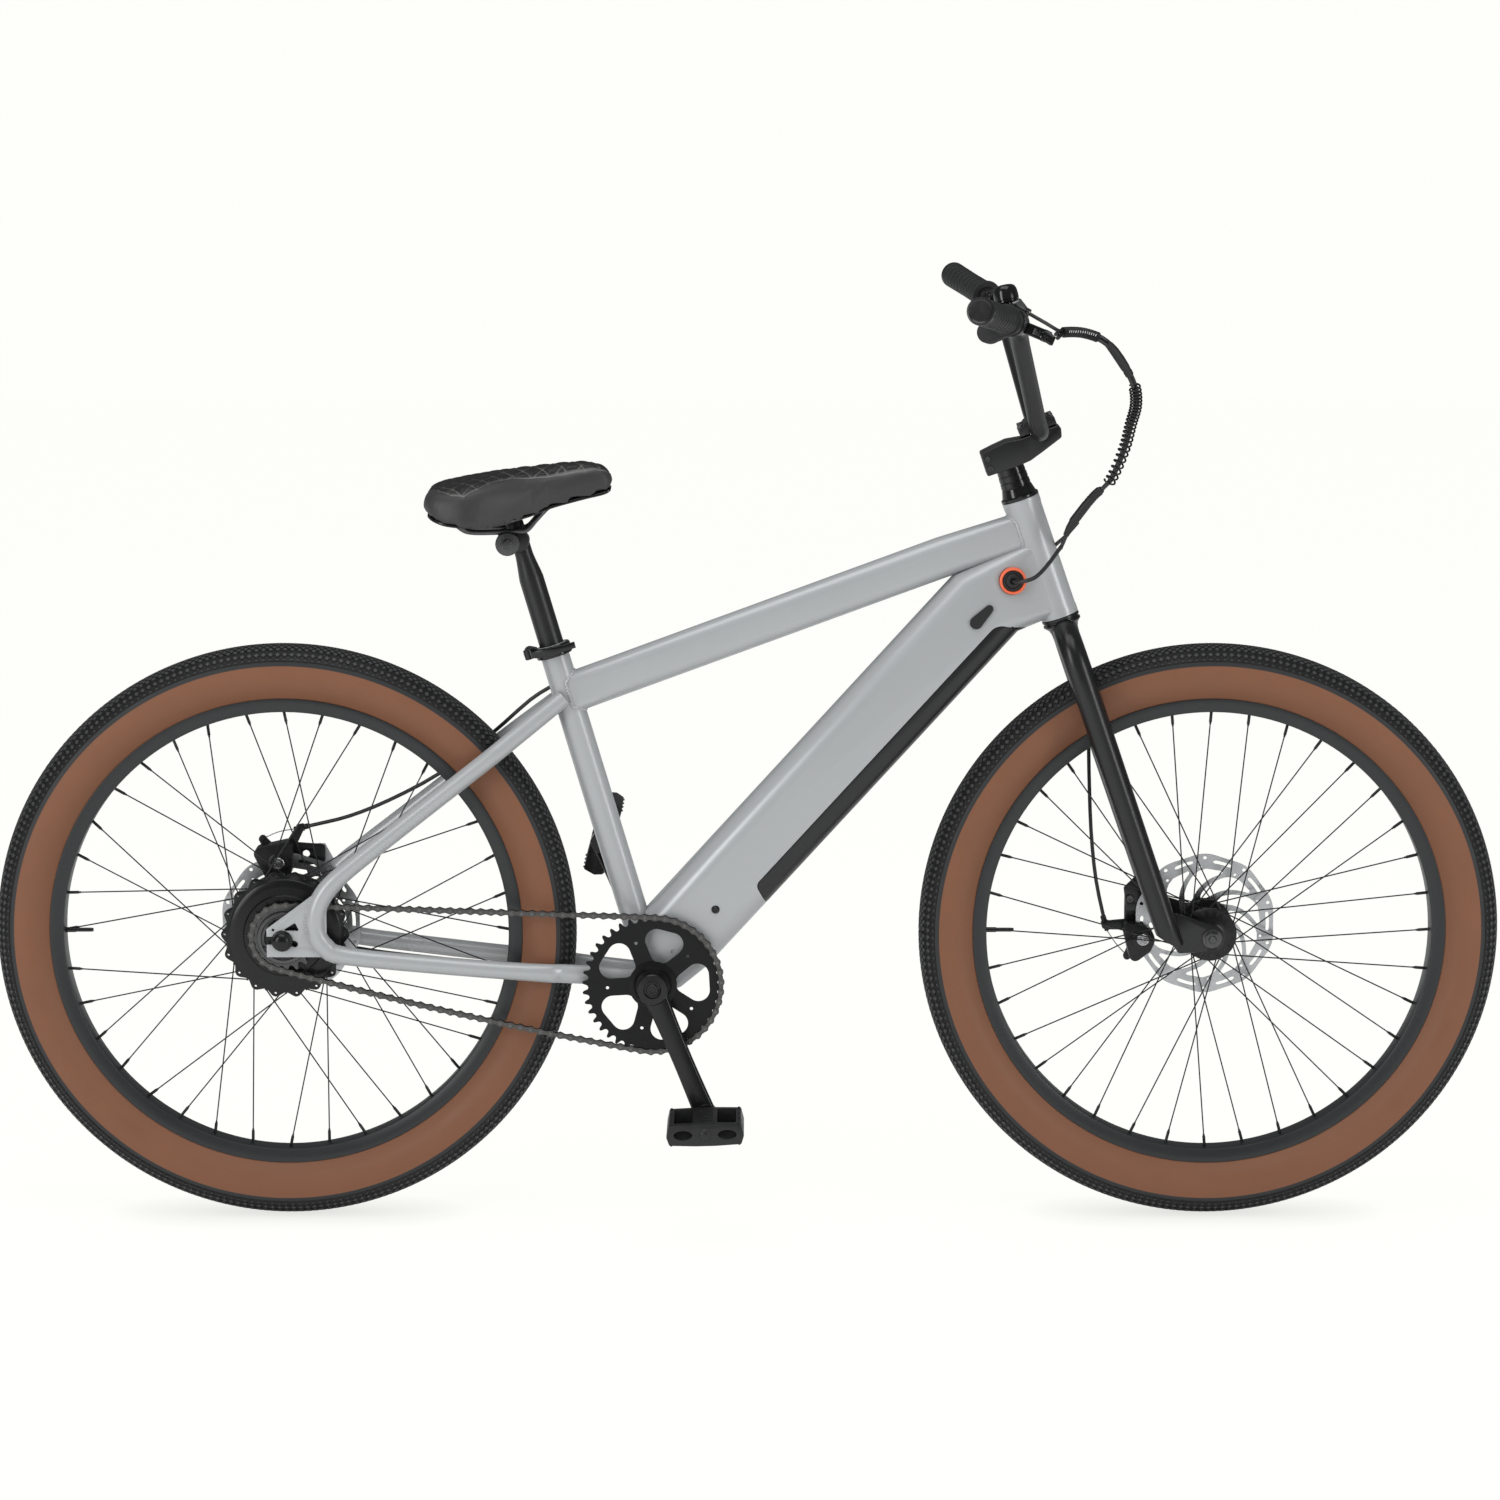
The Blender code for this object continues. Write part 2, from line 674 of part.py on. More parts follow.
def by_down_tube(s, n):
    """A point s along the down tube and n below its middle."""
    return DOWN_START + DOWN_WAY * s + DOWN_BELOW * n


def ring_between(low, high, half_width, corner):
    """A rounded rectangle that stands between two points of the middle plane."""
    middle = (low + high) / 2
    rise = (high - low) / 2
    section = rounded(half_width, rise.length, corner)
    return [middle + Y * u + rise.normalized() * v for u, v in section]


def down_tube():
    rings = [
        ring_between(by_down_tube(-0.075, 0.036), by_down_tube(-0.075, -0.012), 0.0250, 0.008),
        ring_between(by_down_tube(-0.056, 0.045), by_down_tube(-0.056, -0.030), 0.0310, 0.014),
        ring_between(by_down_tube(-0.015, 0.052), by_down_tube(-0.015, -0.052), 0.0370, 0.026),
        ring_between(by_down_tube(0.100, 0.052), by_down_tube(0.100, -0.052), 0.0375, 0.026),
        ring_between(by_down_tube(0.555, 0.052), by_down_tube(0.555, -0.052), 0.0375, 0.026),
        ring_between(Vector((0.3847, 0.0, 0.7618)), Vector((0.3534, 0.0, 0.8525)), 0.0200, 0.010),
    ]
    return loft(rings)


top_tube = loft(
    [
        ring_between(Vector((-0.2160, 0.0, 0.6361)), Vector((-0.2334, 0.0, 0.6829)), 0.0168, 0.012),
        ring_between(Vector((-0.1600, 0.0, 0.6566)), Vector((-0.1774, 0.0, 0.7034)), 0.0185, 0.015),
        ring_between(Vector((0.2500, 0.0, 0.8076)), Vector((0.2326, 0.0, 0.8544)), 0.0190, 0.016),
        ring_between(Vector((0.3560, 0.0, 0.8450)), Vector((0.3410, 0.0, 0.8880)), 0.0175, 0.012),
    ]
)
seat_tube = turned(SEAT_TOP, SEAT, [(SEAT_TUBE_RADIUS, -0.4180), (SEAT_TUBE_RADIUS, 0.0104)], 20)
head_tube = turned(HEAD_BOTTOM, STEER, [(0.0235, 0.0), (0.0235, HEAD_LENGTH)], 20)
crank_shell = rod(CRANK_AXLE - Y * 0.0345, CRANK_AXLE + Y * 0.0345, 0.0225, 20)
PORT = Vector((0.326, 0.0, 0.805))
port_boss = rod(PORT - Y * 0.0100, PORT - Y * 0.0274, 0.0167, 10)
main_frame = united(down_tube(), top_tube, seat_tube, head_tube, crank_shell, port_boss)

pocket = [by_down_tube(s, n) for s, n in ((0.085, -0.036), (0.556, -0.036), (0.556, 0.070), (0.085, 0.070))]
pocket = prism([(point.x, point.z) for point in pocket], -0.0330, 0.0330)
SEAM = 0.0245


def battery_window(inset):
    """The side outline of the battery's cover, drawn in by this much."""
    points = [
        (0.1045 + inset * 1.5, SEAM + inset),
        (0.0881 + inset * 1.5, 0.0700),
        (0.5764 - inset * 1.5, 0.0700),
        (0.5488 - inset, 0.0267 + inset),
        (0.5420 - inset, SEAM + inset),
    ]
    return [(by_down_tube(s, n).x, by_down_tube(s, n).z) for s, n in points]


main_frame = cut(
    main_frame,
    pocket,
    prism(battery_window(0.0), -0.06, 0.06),
    turned(HEAD_BOTTOM, STEER, [(fitting(0.0180, 12), -0.02), (fitting(0.0180, 12), 0.18)], 12),
    turned(SEAT_TOP, SEAT, [(fitting(SEATPOST_RADIUS, 12), -0.2850), (fitting(SEATPOST_RADIUS, 12), 0.03)], 12),
    rod(CRANK_AXLE - Y * 0.05, CRANK_AXLE + Y * 0.05, fitting(0.0172, 12), 12),
    rod(PORT - Y * 0.0274, PORT - Y * 0.06, 0.0176, 10),
)
main_frame = named("main_frame", main_frame, SILVER)

battery = combined(down_tube(), [prism(battery_window(0.0006), -0.06, 0.06)], "INTERSECT")
cells = [by_down_tube(s, n) for s, n in ((0.0960, -0.0350), (0.5520, -0.0350), (0.5520, 0.0400), (0.1250, 0.0400))]
cells = prism([(point.x, point.z) for point in cells], -0.0323, 0.0323)
battery_pack = named("battery_pack", united(battery, cells), SATIN_BLACK)
BATTERY_HINGE = by_down_tube(0.5690, 0.0600)

port_ring = [(0.0132, -0.0277), (0.0167, -0.0277), (0.0167, -0.0345), (0.0158, -0.0360), (0.0132, -0.0360)]
port_ring = named("port_ring", turned(PORT, Y, port_ring, 12, bored=True), ORANGE)
grommet = [(0.0035, -0.0277), (0.0128, -0.0277), (0.0128, -0.0345), (0.0075, -0.0370), (0.0035, -0.0370)]
port_grommet = named("port_grommet", turned(PORT, Y, grommet, 12, bored=True), RUBBER)

cover_outline = hull(dots(0.2810, 0.7540, 0.0080) + dots(0.2970, 0.7710, 0.0050))
charge_cover = named("charge_cover", prism(cover_outline, -0.0407, -0.0378), RUBBER)

# Rear triangle: on each side one bent tube and a slotted dropout.
STAY_PATH = [
    (-0.2280, 0.0190, 0.6570),
    (-0.2506, 0.0275, 0.6395),
    (-0.3000, 0.0435, 0.6008),
    (-0.3250, 0.0487, 0.5812),
    (-0.4291, 0.0555, 0.5000),
    (-0.4900, 0.0615, 0.4522),
    (-0.5120, 0.0640, 0.4330),
    (-0.5262, 0.0658, 0.4145),
    (-0.5335, 0.0670, 0.3935),
    (-0.5330, 0.0672, 0.3720),
    (-0.5220, 0.0672, 0.3535),
    (-0.4950, 0.0655, 0.3415),
    (-0.3600, 0.0560, 0.3262),
    (-0.2550, 0.0468, 0.3165),
    (-0.2320, 0.0400, 0.3144),
    (-0.1950, 0.0315, 0.3109),
    (-0.1250, 0.0250, 0.3040),
]
DROPOUT = [
    (-0.5940, 0.3765),
    (-0.5335, 0.4215),
    (-0.5200, 0.4000),
    (-0.5200, 0.3520),
    (-0.5175, 0.3415),
    (-0.5940, 0.3415),
]


def stay(side):
    """One side's seatstay and chainstay in a single tube, with its dropout."""
    path = [Vector((x, y * side, z)) for x, y, z in STAY_PATH]
    sections = []
    for point in path:
        squeezed = point.z < 0.33 and point.x > -0.26
        bent = point.x < -0.52
        across, up = (0.0082, 0.0120) if squeezed else (0.0122, 0.0122) if bent else (0.0110, 0.0110)
        sections.append(oval(across, up, 8))
    made = sweep(path, sections, fixed=True)
    near, far = sorted((0.0645 * side, 0.0705 * side))
    made = united(made, prism(DROPOUT, near, far))
    if side > 0:
        tab = [(-0.5120, 0.4420), (-0.5250, 0.4600), (-0.5480, 0.4600), (-0.5480, 0.4340), (-0.5280, 0.4150)]
        made = united(made, prism(tab, near, far))
        for height in (0.4410, 0.4540):
            made = cut(made, rod((-0.5400, 0.05, height), (-0.5400, 0.09, height), fitting(0.0028, 6), 6))
    slot = box((-0.60, near - 0.01, 0.3567), (-0.5560, far + 0.01, 0.3673))
    eye = prism([(-0.5720, 0.3756), (-0.5588, 0.3850), (-0.5534, 0.3743)], near - 0.01, far + 0.01)
    seat_cutter = turned(SEAT_TOP, SEAT, [(fitting(SEAT_TUBE_RADIUS, 20), -0.2), (fitting(SEAT_TUBE_RADIUS, 20), 0.1)], 20)
    shell_radius = fitting(0.0225, 24)
    shell_cutter = rod(CRANK_AXLE - Y * 0.06, CRANK_AXLE + Y * 0.06, shell_radius, 24)
    return cut(made, slot, eye, seat_cutter, shell_cutter)


stay_right = named("stay_right", stay(-1), SILVER)
stay_left = named("stay_left", stay(1), SILVER)

# Fork: steerer, crown and two straight legs that stop short of the axle, with plate dropouts.
LEG = [(0.010, 0.016), (0.026, 0.021), (0.043, 0.033), (0.053, 0.052), (0.057, 0.078), (0.057, 0.430)]


def fork_leg(side):
    path = [HEAD_BOTTOM - STEER * t + Y * (y * side) for y, t in LEG]
    leg = tube(path, [0.0150, 0.0155, 0.0158, 0.0158, 0.0156, 0.0146], 8, hint=X)
    foot = [(0.480, 0.3815), (0.600, 0.3135), (0.600, 0.25), (0.480, 0.25)]
    leg = cut(leg, prism(foot, -0.1, 0.1))
    outline = hull(dots(FRONT_AXLE.x, FRONT_AXLE.z, 0.0160, 14) + [(0.5290, 0.3930), (0.5200, 0.3620), (0.5340, 0.3440)])
    near, far = sorted((0.0500 * side, 0.0560 * side))
    made = united(leg, prism(outline, near, far))
    slot = hull(dots(FRONT_AXLE.x, FRONT_AXLE.z, 0.0052, 8) + [(0.5698, 0.33), (0.5802, 0.33)])
    return cut(made, prism(slot, near - 0.01, far + 0.01))


crown = turned(
    HEAD_BOTTOM,
    -STEER,
    [(0.0180, -0.010), (0.0180, 0.0003), (0.0235, 0.0003), (0.0235, 0.006), (0.0225, 0.009), (0.0215, 0.036)],
    12,
)
steerer = turned(HEAD_BOTTOM, STEER, [(STEERER_RADIUS, -0.01), (STEERER_RADIUS, HEAD_LENGTH + 0.0680)], 12)
fork = united(fork_leg(-1), fork_leg(1), crown, steerer)
caliper_tab = [(0.5060, 0.3770), (0.4900, 0.4200), (0.4740, 0.4060), (0.4780, 0.3760)]
fork = united(fork, prism(caliper_tab, 0.0480, 0.0530))
fork = cut(fork, rod((0.4815, 0.03, 0.3920), (0.4815, 0.07, 0.3920), fitting(0.0028, 6), 6))
fork = named("fork", fork, GLOSS_BLACK)

steerer_bore = fitting(STEERER_RADIUS, 12)
headset_stack = turned(
    HEAD_TOP,
    STEER,
    [
        (steerer_bore, -0.0100),
        (0.0180, -0.0100),
        (0.0180, GAP),
        (0.0236, GAP),
        (0.0225, 0.0050),
        (0.0185, 0.0150),
        (0.0168, 0.0240),
        (0.0168, 0.0405),
        (steerer_bore, 0.0405),
    ],
    12,
    bored=True,
)
headset_stack = named("headset_stack", headset_stack, GLOSS_BLACK)

# Stem and the cap that holds the bar from above.
stem_outline = [
    (0.2853, 0.9600),
    (0.2945, 0.9320),
    (0.3290, 0.9437),
    (0.3473, 0.9519),
    (0.3636, 0.9640),
    (0.3849, 0.9805),
    (0.3839, 0.9920),
    (0.3793, 0.9956),
    (0.3353, 0.9789),
    (0.3168, 0.9755),
    (0.3006, 0.9680),
]
BAR_BORE = fitting(BAR_RADIUS, 12)
bar_hole = rod(BAR_CENTRE - Y * 0.05, BAR_CENTRE + Y * 0.05, BAR_BORE, 12)
stem = cut(
    prism(stem_outline, -0.0210, 0.0210),
    turned(HEAD_TOP, STEER, [(steerer_bore, 0.02), (steerer_bore, 0.0686)], 12),
    bar_hole,
    prism([(0.27, 0.92), (0.3150, 0.92), (0.2960, 0.985), (0.27, 0.985)], -0.0010, 0.0010),
)
stem = named("stem", stem, SATIN_BLACK)
CAP_AHEAD = Vector((0.935, 0.0, 0.355)).normalized()
CAP_UP = Vector((-CAP_AHEAD.z, 0.0, CAP_AHEAD.x))
cap_outline = [
    (-0.0235, 0.0008),
    (0.0235, 0.0008),
    (0.0235, 0.0140),
    (0.0125, 0.0185),
    (-0.0125, 0.0185),
    (-0.0235, 0.0140),
]
stem_cap = prism(cap_outline, -0.0200, 0.0200, BAR_CENTRE, CAP_AHEAD, CAP_UP)
bar_hole = rod(BAR_CENTRE - Y * 0.05, BAR_CENTRE + Y * 0.05, BAR_BORE, 12)
stem_cap = named("stem_cap", cut(stem_cap, bar_hole), SATIN_BLACK)

# Handlebar, bent in one piece, and all that is clamped to it.
BAR_HALF = [
    (0.3570, 0.0000, 0.9880),
    (0.3570, 0.0340, 0.9880),
    (0.3565, 0.0455, 0.9915),
    (0.3530, 0.0555, 1.0010),
    (0.3500, 0.0640, 1.0115),
    (0.3265, 0.1365, 1.1020),
    (0.3243, 0.1455, 1.1128),
    (0.3232, 0.1545, 1.1210),
    (0.3222, 0.1650, 1.1262),
    (0.3195, 0.1780, 1.1300),
    (0.2683, 0.3555, 1.1563),
]
bar_path = [Vector((x, y, z)) for x, y, z in BAR_HALF[::-1]]
bar_path += [Vector((x, -y, z)) for x, y, z in BAR_HALF[1:]]
handlebar = named("handlebar", tube(bar_path, BAR_RADIUS, 8, hint=X), SATIN_BLACK)


class Hand:
    """One end of the bar: a start, the way along it, the lever's way and the hinge's way."""

    def __init__(self, side):
        self.side = side
        self.start = Vector((0.3195, 0.1780 * side, 1.1300))
        end = Vector((0.2670, 0.3600 * side, 1.1570))
        self.along = (end - self.start).normalized()
        ahead = Vector((0.85, 0.0, -0.35))
        self.ahead = (ahead - self.along * ahead.dot(self.along)).normalized()
        self.up = self.along.cross(self.ahead) * -side
        self.hinge = self.at(0.0130, 0.0400)

    def at(self, along, ahead=0.0, up=0.0):
        return self.start + self.along * along + self.ahead * ahead + self.up * up

    def sleeve(self, inner, outer, start, end, sides=12):
        """A ring round the bar."""
        profile = [(inner, start), (outer, start), (outer, end), (inner, end)]
        return turned(self.start, self.along, profile, sides, bored=True)

    def plate(self, outline, half):
        """An outline of (ahead, along) points, this much thick to each side."""
        rings = []
        for up in (-half, half):
            rings.append([self.at(along, ahead, up) for ahead, along in outline])
        return loft(rings)


HANDS = {"right": Hand(-1), "left": Hand(1)}


def grip(hand):
    profile = [(BAR_BORE, 0.1880), (BAR_BORE, 0.0555), (0.0190, 0.0555), (0.0190, 0.0585)]
    profile += [(0.0155, 0.0600), (0.0158, 0.1800), (0.0165, 0.1830), (0.0165, 0.1922)]
    return turned(hand.start, hand.along, profile, 12)


def lever_perch(hand):
    """A clamp with two cheeks and the hinge pin, and a short nose for the cable."""
    ring = hand.sleeve(BAR_BORE, 0.0165, 0.0045, 0.0215)
    cheeks = hand.plate([(0.0145, 0.0060), (0.0460, 0.0060), (0.0480, 0.0200), (0.0145, 0.0200)], 0.0070)
    slot = hand.plate([(0.0260, 0.0000), (0.0600, 0.0000), (0.0600, 0.0300), (0.0260, 0.0300)], 0.0036)
    pin = rod(hand.hinge - hand.up * 0.0068, hand.hinge + hand.up * 0.0068, 0.0028, 6)
    nose = rod(hand.at(0.0080, 0.0210), hand.at(-0.0120, 0.0290), 0.0045, 6)
    return united(ring, cut(cheeks, slot), pin, nose)


def brake_lever(hand):
    """A blade that swings in towards the grip, about the pin in its eye."""
    eye = hand.plate(hull(dots(0.0400, 0.0130, 0.0062, 10) + [(0.0365, 0.0250), (0.0450, 0.0250)]), 0.0030)
    points = [(0.0418, 0.0225), (0.0470, 0.0360), (0.0600, 0.0780), (0.0720, 0.1250), (0.0800, 0.1450)]
    path = [hand.at(along, ahead) for ahead, along in points]
    blade = sweep(path, [rounded(0.0065, half, 0.0020, 1) for half in (0.0045, 0.0045, 0.0040, 0.0038, 0.0030)], hand.up)
    bore = rod(hand.hinge - hand.up * 0.02, hand.hinge + hand.up * 0.02, fitting(0.0028, 6), 6)
    return cut(united(eye, blade), bore)


grips = {}
perches = {}
levers = {}
for name, hand in HANDS.items():
    grips[name] = named(f"grip_{name}", grip(hand), RUBBER)
    perches[name] = named(f"lever_perch_{name}", lever_perch(hand), SATIN_BLACK)
    levers[name] = named(f"brake_lever_{name}", brake_lever(hand), GLOSS_BLACK)

RIGHT = HANDS["right"]
throttle_body = named("throttle_body", RIGHT.sleeve(BAR_BORE, 0.0180, 0.0225, 0.0345), SATIN_BLACK)
PADDLE_WAY = Vector((-0.0235, 0.0, -0.0132))
PADDLE_WAY = (PADDLE_WAY - RIGHT.along * PADDLE_WAY.dot(RIGHT.along)).normalized()
PADDLE_SIDE = RIGHT.along.cross(PADDLE_WAY)
paddle = prism(
    hull(dots(0.0, 0.0, 0.0165, 16) + dots(0.0270, 0.0, 0.0130, 16)),
    -0.0545,
    -0.0350,
    RIGHT.start,
    PADDLE_WAY,
    PADDLE_SIDE,
)
paddle_bore = rod(RIGHT.at(0.02), RIGHT.at(0.07), BAR_BORE, 12)
throttle_paddle = named("throttle_paddle", cut(paddle, paddle_bore), RUBBER)

BELL_UP = Vector((-0.263, 0.0, 0.965))
BELL_UP = (BELL_UP - RIGHT.along * BELL_UP.dot(RIGHT.along)).normalized()
bell_profile = [
    (0.0060, 0.0184),
    (0.0060, 0.0225),
    (0.0138, 0.0225),
    (0.0146, 0.0270),
    (0.0146, 0.0365),
    (0.0125, 0.0420),
    (0.0060, 0.0455),
]
bell = named("bell", turned(RIGHT.at(0.0285), BELL_UP, bell_profile, 12), GLOSS_BLACK)
STRIKER_WAY = -(X - BELL_UP * BELL_UP.x).normalized()
STRIKER_HINGE = RIGHT.at(0.0285) + BELL_UP * 0.0245 + STRIKER_WAY * 0.0178
striker_path = [STRIKER_HINGE - STRIKER_WAY * 0.0030, STRIKER_HINGE + STRIKER_WAY * 0.0030, STRIKER_HINGE + STRIKER_WAY * 0.0190]
bell_striker = sweep(striker_path, rounded(0.0013, 0.0028, 0.0006, 1), BELL_UP)
bell_striker = named("bell_striker", bell_striker, STEEL)

# Saddle: a padded cover on a thin base, carried by one bent wire rail.
SADDLE = [
    ((-0.3980, 0.0480, 0.9000), (-0.3930, 0.0, 0.8900)),
    ((-0.3910, 0.0650, 0.9190), (-0.3840, 0.0, 0.8840)),
    ((-0.3660, 0.0750, 0.9260), (-0.3660, 0.0, 0.8780)),
    ((-0.3340, 0.0790, 0.9320), (-0.3400, 0.0, 0.8735)),
    ((-0.3050, 0.0660, 0.9365), (-0.3100, 0.0, 0.8725)),
    ((-0.2726, 0.0420, 0.9410), (-0.2725, 0.0, 0.8830)),
    ((-0.2500, 0.0330, 0.9445), (-0.2520, 0.0, 0.8905)),
    ((-0.2320, 0.0285, 0.9480), (-0.2360, 0.0, 0.8965)),
    ((-0.1990, 0.0240, 0.9510), (-0.2010, 0.0, 0.9060)),
    ((-0.1770, 0.0205, 0.9450), (-0.1750, 0.0, 0.9125)),
    ((-0.1656, 0.0130, 0.9330), (-0.1660, 0.0, 0.9190)),
]


def straight_through(points, steps):
    """Evenly spaced points on the straight lines between the given ones."""
    path = []
    for start, end in zip(points, points[1:]):
        for step in range(steps):
            path.append(Vector(start).lerp(Vector(end), step / steps))
    path.append(Vector(points[-1]))
    return path


crests = curve_through([crest for crest, edge in SADDLE], 3)
edges = curve_through([edge for crest, edge in SADDLE], 3)
low_crests = straight_through([crest for crest, edge in SADDLE], 3)
low_edges = straight_through([edge for crest, edge in SADDLE], 3)
# Across the cover: the share of the half width, and the share of the rise to the crest.
ACROSS = [(1.0, 0.0), (0.99, 0.45), (0.93, 0.80), (0.76, 0.95), (0.51, 0.985), (0.25, 0.997), (0.0, 1.0)]
ACROSS += [(-across, lift) for across, lift in ACROSS[-2::-1]]
TUFT = 0.0009


def under_saddle(crest, edge, across, drop):
    """A point of the hollowed underside, at this share of the half width."""
    rise = 0.2 * crest.y * min(1.0, 2 * (1 - abs(across)))
    return Vector((edge.x, crest.y * across, edge.z + rise - drop))


def quilted(rings, columns, under):
    """A skin through the saddle's rings, its top split along the low points, so that it rises in diamonds."""
    points = [point for ring in rings for point in ring]
    count = columns + under
    faces = []
    for i in range(len(rings) - 1):
        a = i * count
        b = a + count
        for j in range(count):
            k = (j + 1) % count
            if (i + j) % 2:
                faces += [(a + j, a + k, b + j), (a + k, b + k, b + j)]
            else:
                faces += [(a + j, a + k, b + k), (a + j, b + k, b + j)]
    faces.append(tuple(range(count)))
    faces.append(tuple(range(len(points) - count, len(points))))
    return solid(points, faces)


cover_rings = []
base_rings = []
for i, (crest, edge, low_crest, low_edge) in enumerate(zip(crests, edges, low_crests, low_edges)):
    ring = []
    for j, (across, lift) in enumerate(ACROSS):
        if lift == 0.0:
            ring.append(Vector((low_edge.x, low_crest.y * across, low_edge.z)))
            continue
        point = Vector((edge.x + (crest.x - edge.x) * lift, crest.y * across, edge.z + (crest.z - edge.z) * lift))
        on_top = 2 < j < len(ACROSS) - 3 and 1 < i < len(crests) - 2
        if on_top and (i + j) % 2 == 0:
            point.z += TUFT
        elif on_top:
            point.z -= TUFT
        ring.append(point)
    for across in (-0.5, 0.5):
        ring.append(under_saddle(low_crest, low_edge, across, 0.0))
    cover_rings.append(ring)
    if i % 3 == 0:
        ring = [under_saddle(low_crest, low_edge, across, 0.0004) for across in (-0.92, -0.5, 0.5, 0.92)]
        ring += [under_saddle(low_crest, low_edge, across, 0.0040) for across in (0.92, 0.5, -0.5, -0.92)]
        base_rings.append(ring)
saddle_cover = named("saddle_cover", quilted(cover_rings, len(ACROSS), 2), VINYL)
saddle_base = named("saddle_base", loft(base_rings[1:-1]), GLOSS_BLACK)

RAIL_HALF = [
    (-0.3620, 0.0330, 0.8835),
    (-0.3520, 0.0290, 0.8700),
    (-0.3350, 0.0240, 0.8620),
    (-0.2500, 0.0220, 0.8640),
    (-0.2360, 0.0200, 0.8720),
    (-0.2180, 0.0120, 0.8920),
    (-0.2110, 0.0040, 0.8975),
]
rail_path = [Vector((x, y, z)) for x, y, z in RAIL_HALF] + [Vector((x, -y, z)) for x, y, z in RAIL_HALF[::-1]]
saddle_rails = named("saddle_rails", tube(rail_path, 0.0035, 6, hint=Z), DARK_STEEL)

CLAMP = Vector((-0.2950, 0.0, 0.8500))
clamp_half = [(0.0040, 0.0345), (0.0070, 0.0345), (0.0070, 0.0310), (0.0140, 0.0310), (0.0140, 0.0136), (0.0040, 0.0136)]
rail_clamp = turned(CLAMP, Y, clamp_half + [(radius, -along) for radius, along in clamp_half[::-1]], 8)
rail_clamp = cut(rail_clamp, tube(rail_path, fitting(0.0035, 6) + 0.0002, 6, hint=Z))
rail_clamp = named("rail_clamp", rail_clamp, DARK_STEEL)

seatpost = turned(
    SEAT_TOP,
    SEAT,
    [(SEATPOST_RADIUS, -0.1900), (SEATPOST_RADIUS, 0.0980), (0.0110, 0.1250), (0.0110, 0.1580)],
    12,
)
lug = hull(dots(CLAMP.x, CLAMP.z, 0.0115, 10) + dots(-0.2815, 0.8510, 0.0125, 10))
clamp_hole = rod(CLAMP - Y * 0.03, CLAMP + Y * 0.03, fitting(0.0040, 6), 6)
seatpost = named("seatpost", cut(united(seatpost, prism(lug, -0.0130, 0.0130)), clamp_hole), SATIN_BLACK)

# Quick-release seat clamp.
CLAMP_RING = [
    (fitting(SEAT_TUBE_RADIUS, 16), -0.0040),
    (0.0225, -0.0040),
    (0.0225, 0.0100),
    (fitting(SEAT_TUBE_RADIUS, 16), 0.0100),
]
seat_clamp = turned(SEAT_TOP, SEAT, CLAMP_RING, 16, bored=True)
QR_HINGE = Vector((-0.2700, -0.0192, 0.7120))
ears = [(-0.2620, 0.7060), (-0.2755, 0.7060), (-0.2775, 0.7180), (-0.2640, 0.7180)]
seat_clamp = united(seat_clamp, prism(ears, -0.0085, 0.0085))
seat_clamp = cut(seat_clamp, box((-0.30, -0.0010, 0.69), (-0.2550, 0.0010, 0.74)))
qr_bolt = rod((-0.2700, 0.0125, 0.7120), (-0.2700, -0.0128, 0.7120), 0.0028, 6)
seat_clamp = named("seat_clamp", united(seat_clamp, qr_bolt), GLOSS_BLACK)
qr_path = [(-0.2700, -0.0192, 0.7120), (-0.2600, -0.0255, 0.7110), (-0.2450, -0.0290, 0.7095), (-0.2300, -0.0270, 0.7080), (-0.2150, -0.0215, 0.7065)]
qr_head = turned(QR_HINGE, SEAT, [(0.0058, -0.0060), (0.0058, 0.0060)], 12)
seat_qr_lever = united(qr_head, sweep(qr_path, rounded(0.0052, 0.0022, 0.0010, 1), SEAT))
seat_qr_lever = named("seat_qr_lever", seat_qr_lever, GLOSS_BLACK)

# Brake calipers, each with the arm that its cable pulls.
REAR_PISTON = Vector((-0.5910, 0.0, 0.4355))
FRONT_PISTON = Vector((0.4970, 0.0, 0.3430))


def caliper(axle, piston, rotor_y, inner, near, far, half):
    """A block round the disc's edge, slotted for it, with a post for the cable arm."""
    outward = (piston - axle).normalized()
    across = outward.cross(Y)
    middle = piston - outward * (piston - axle).length
    outline = [(near, -half), (far - 0.006, -half), (far, -half + 0.008), (far, half - 0.008), (far - 0.006, half), (near, half)]
    block = prism(outline, rotor_y + inner, rotor_y + 0.0180, middle, outward, across)
    barrel = rod(piston + Y * (rotor_y + 0.0150), piston + Y * (rotor_y + 0.0220), 0.0150, 12)
    post = turned(
        piston + Y * rotor_y,
        Y,
        [(0.0040, 0.0200), (0.0040, 0.0270), (0.0065, 0.0270), (0.0065, 0.0300)],
        8,
    )
    slot = rod(axle + Y * (rotor_y - 0.0020), axle + Y * (rotor_y + 0.0020), 0.0920, 40)
    return united(cut(block, slot), barrel, post)


def caliper_arm(piston, rotor_y, tip):
    """A flat arm round the caliper's post, from below its cap."""
    bore = fitting(0.0040, 8)
    outline = hull(dots(piston.x, piston.z, 0.0100, 12) + dots(*tip, 0.0050, 8))
    plate = prism(outline, rotor_y + 0.0224, rotor_y + 0.0266)
    return cut(plate, rod(piston + Y * 0.02, piston + Y * 0.10, bore, 8))


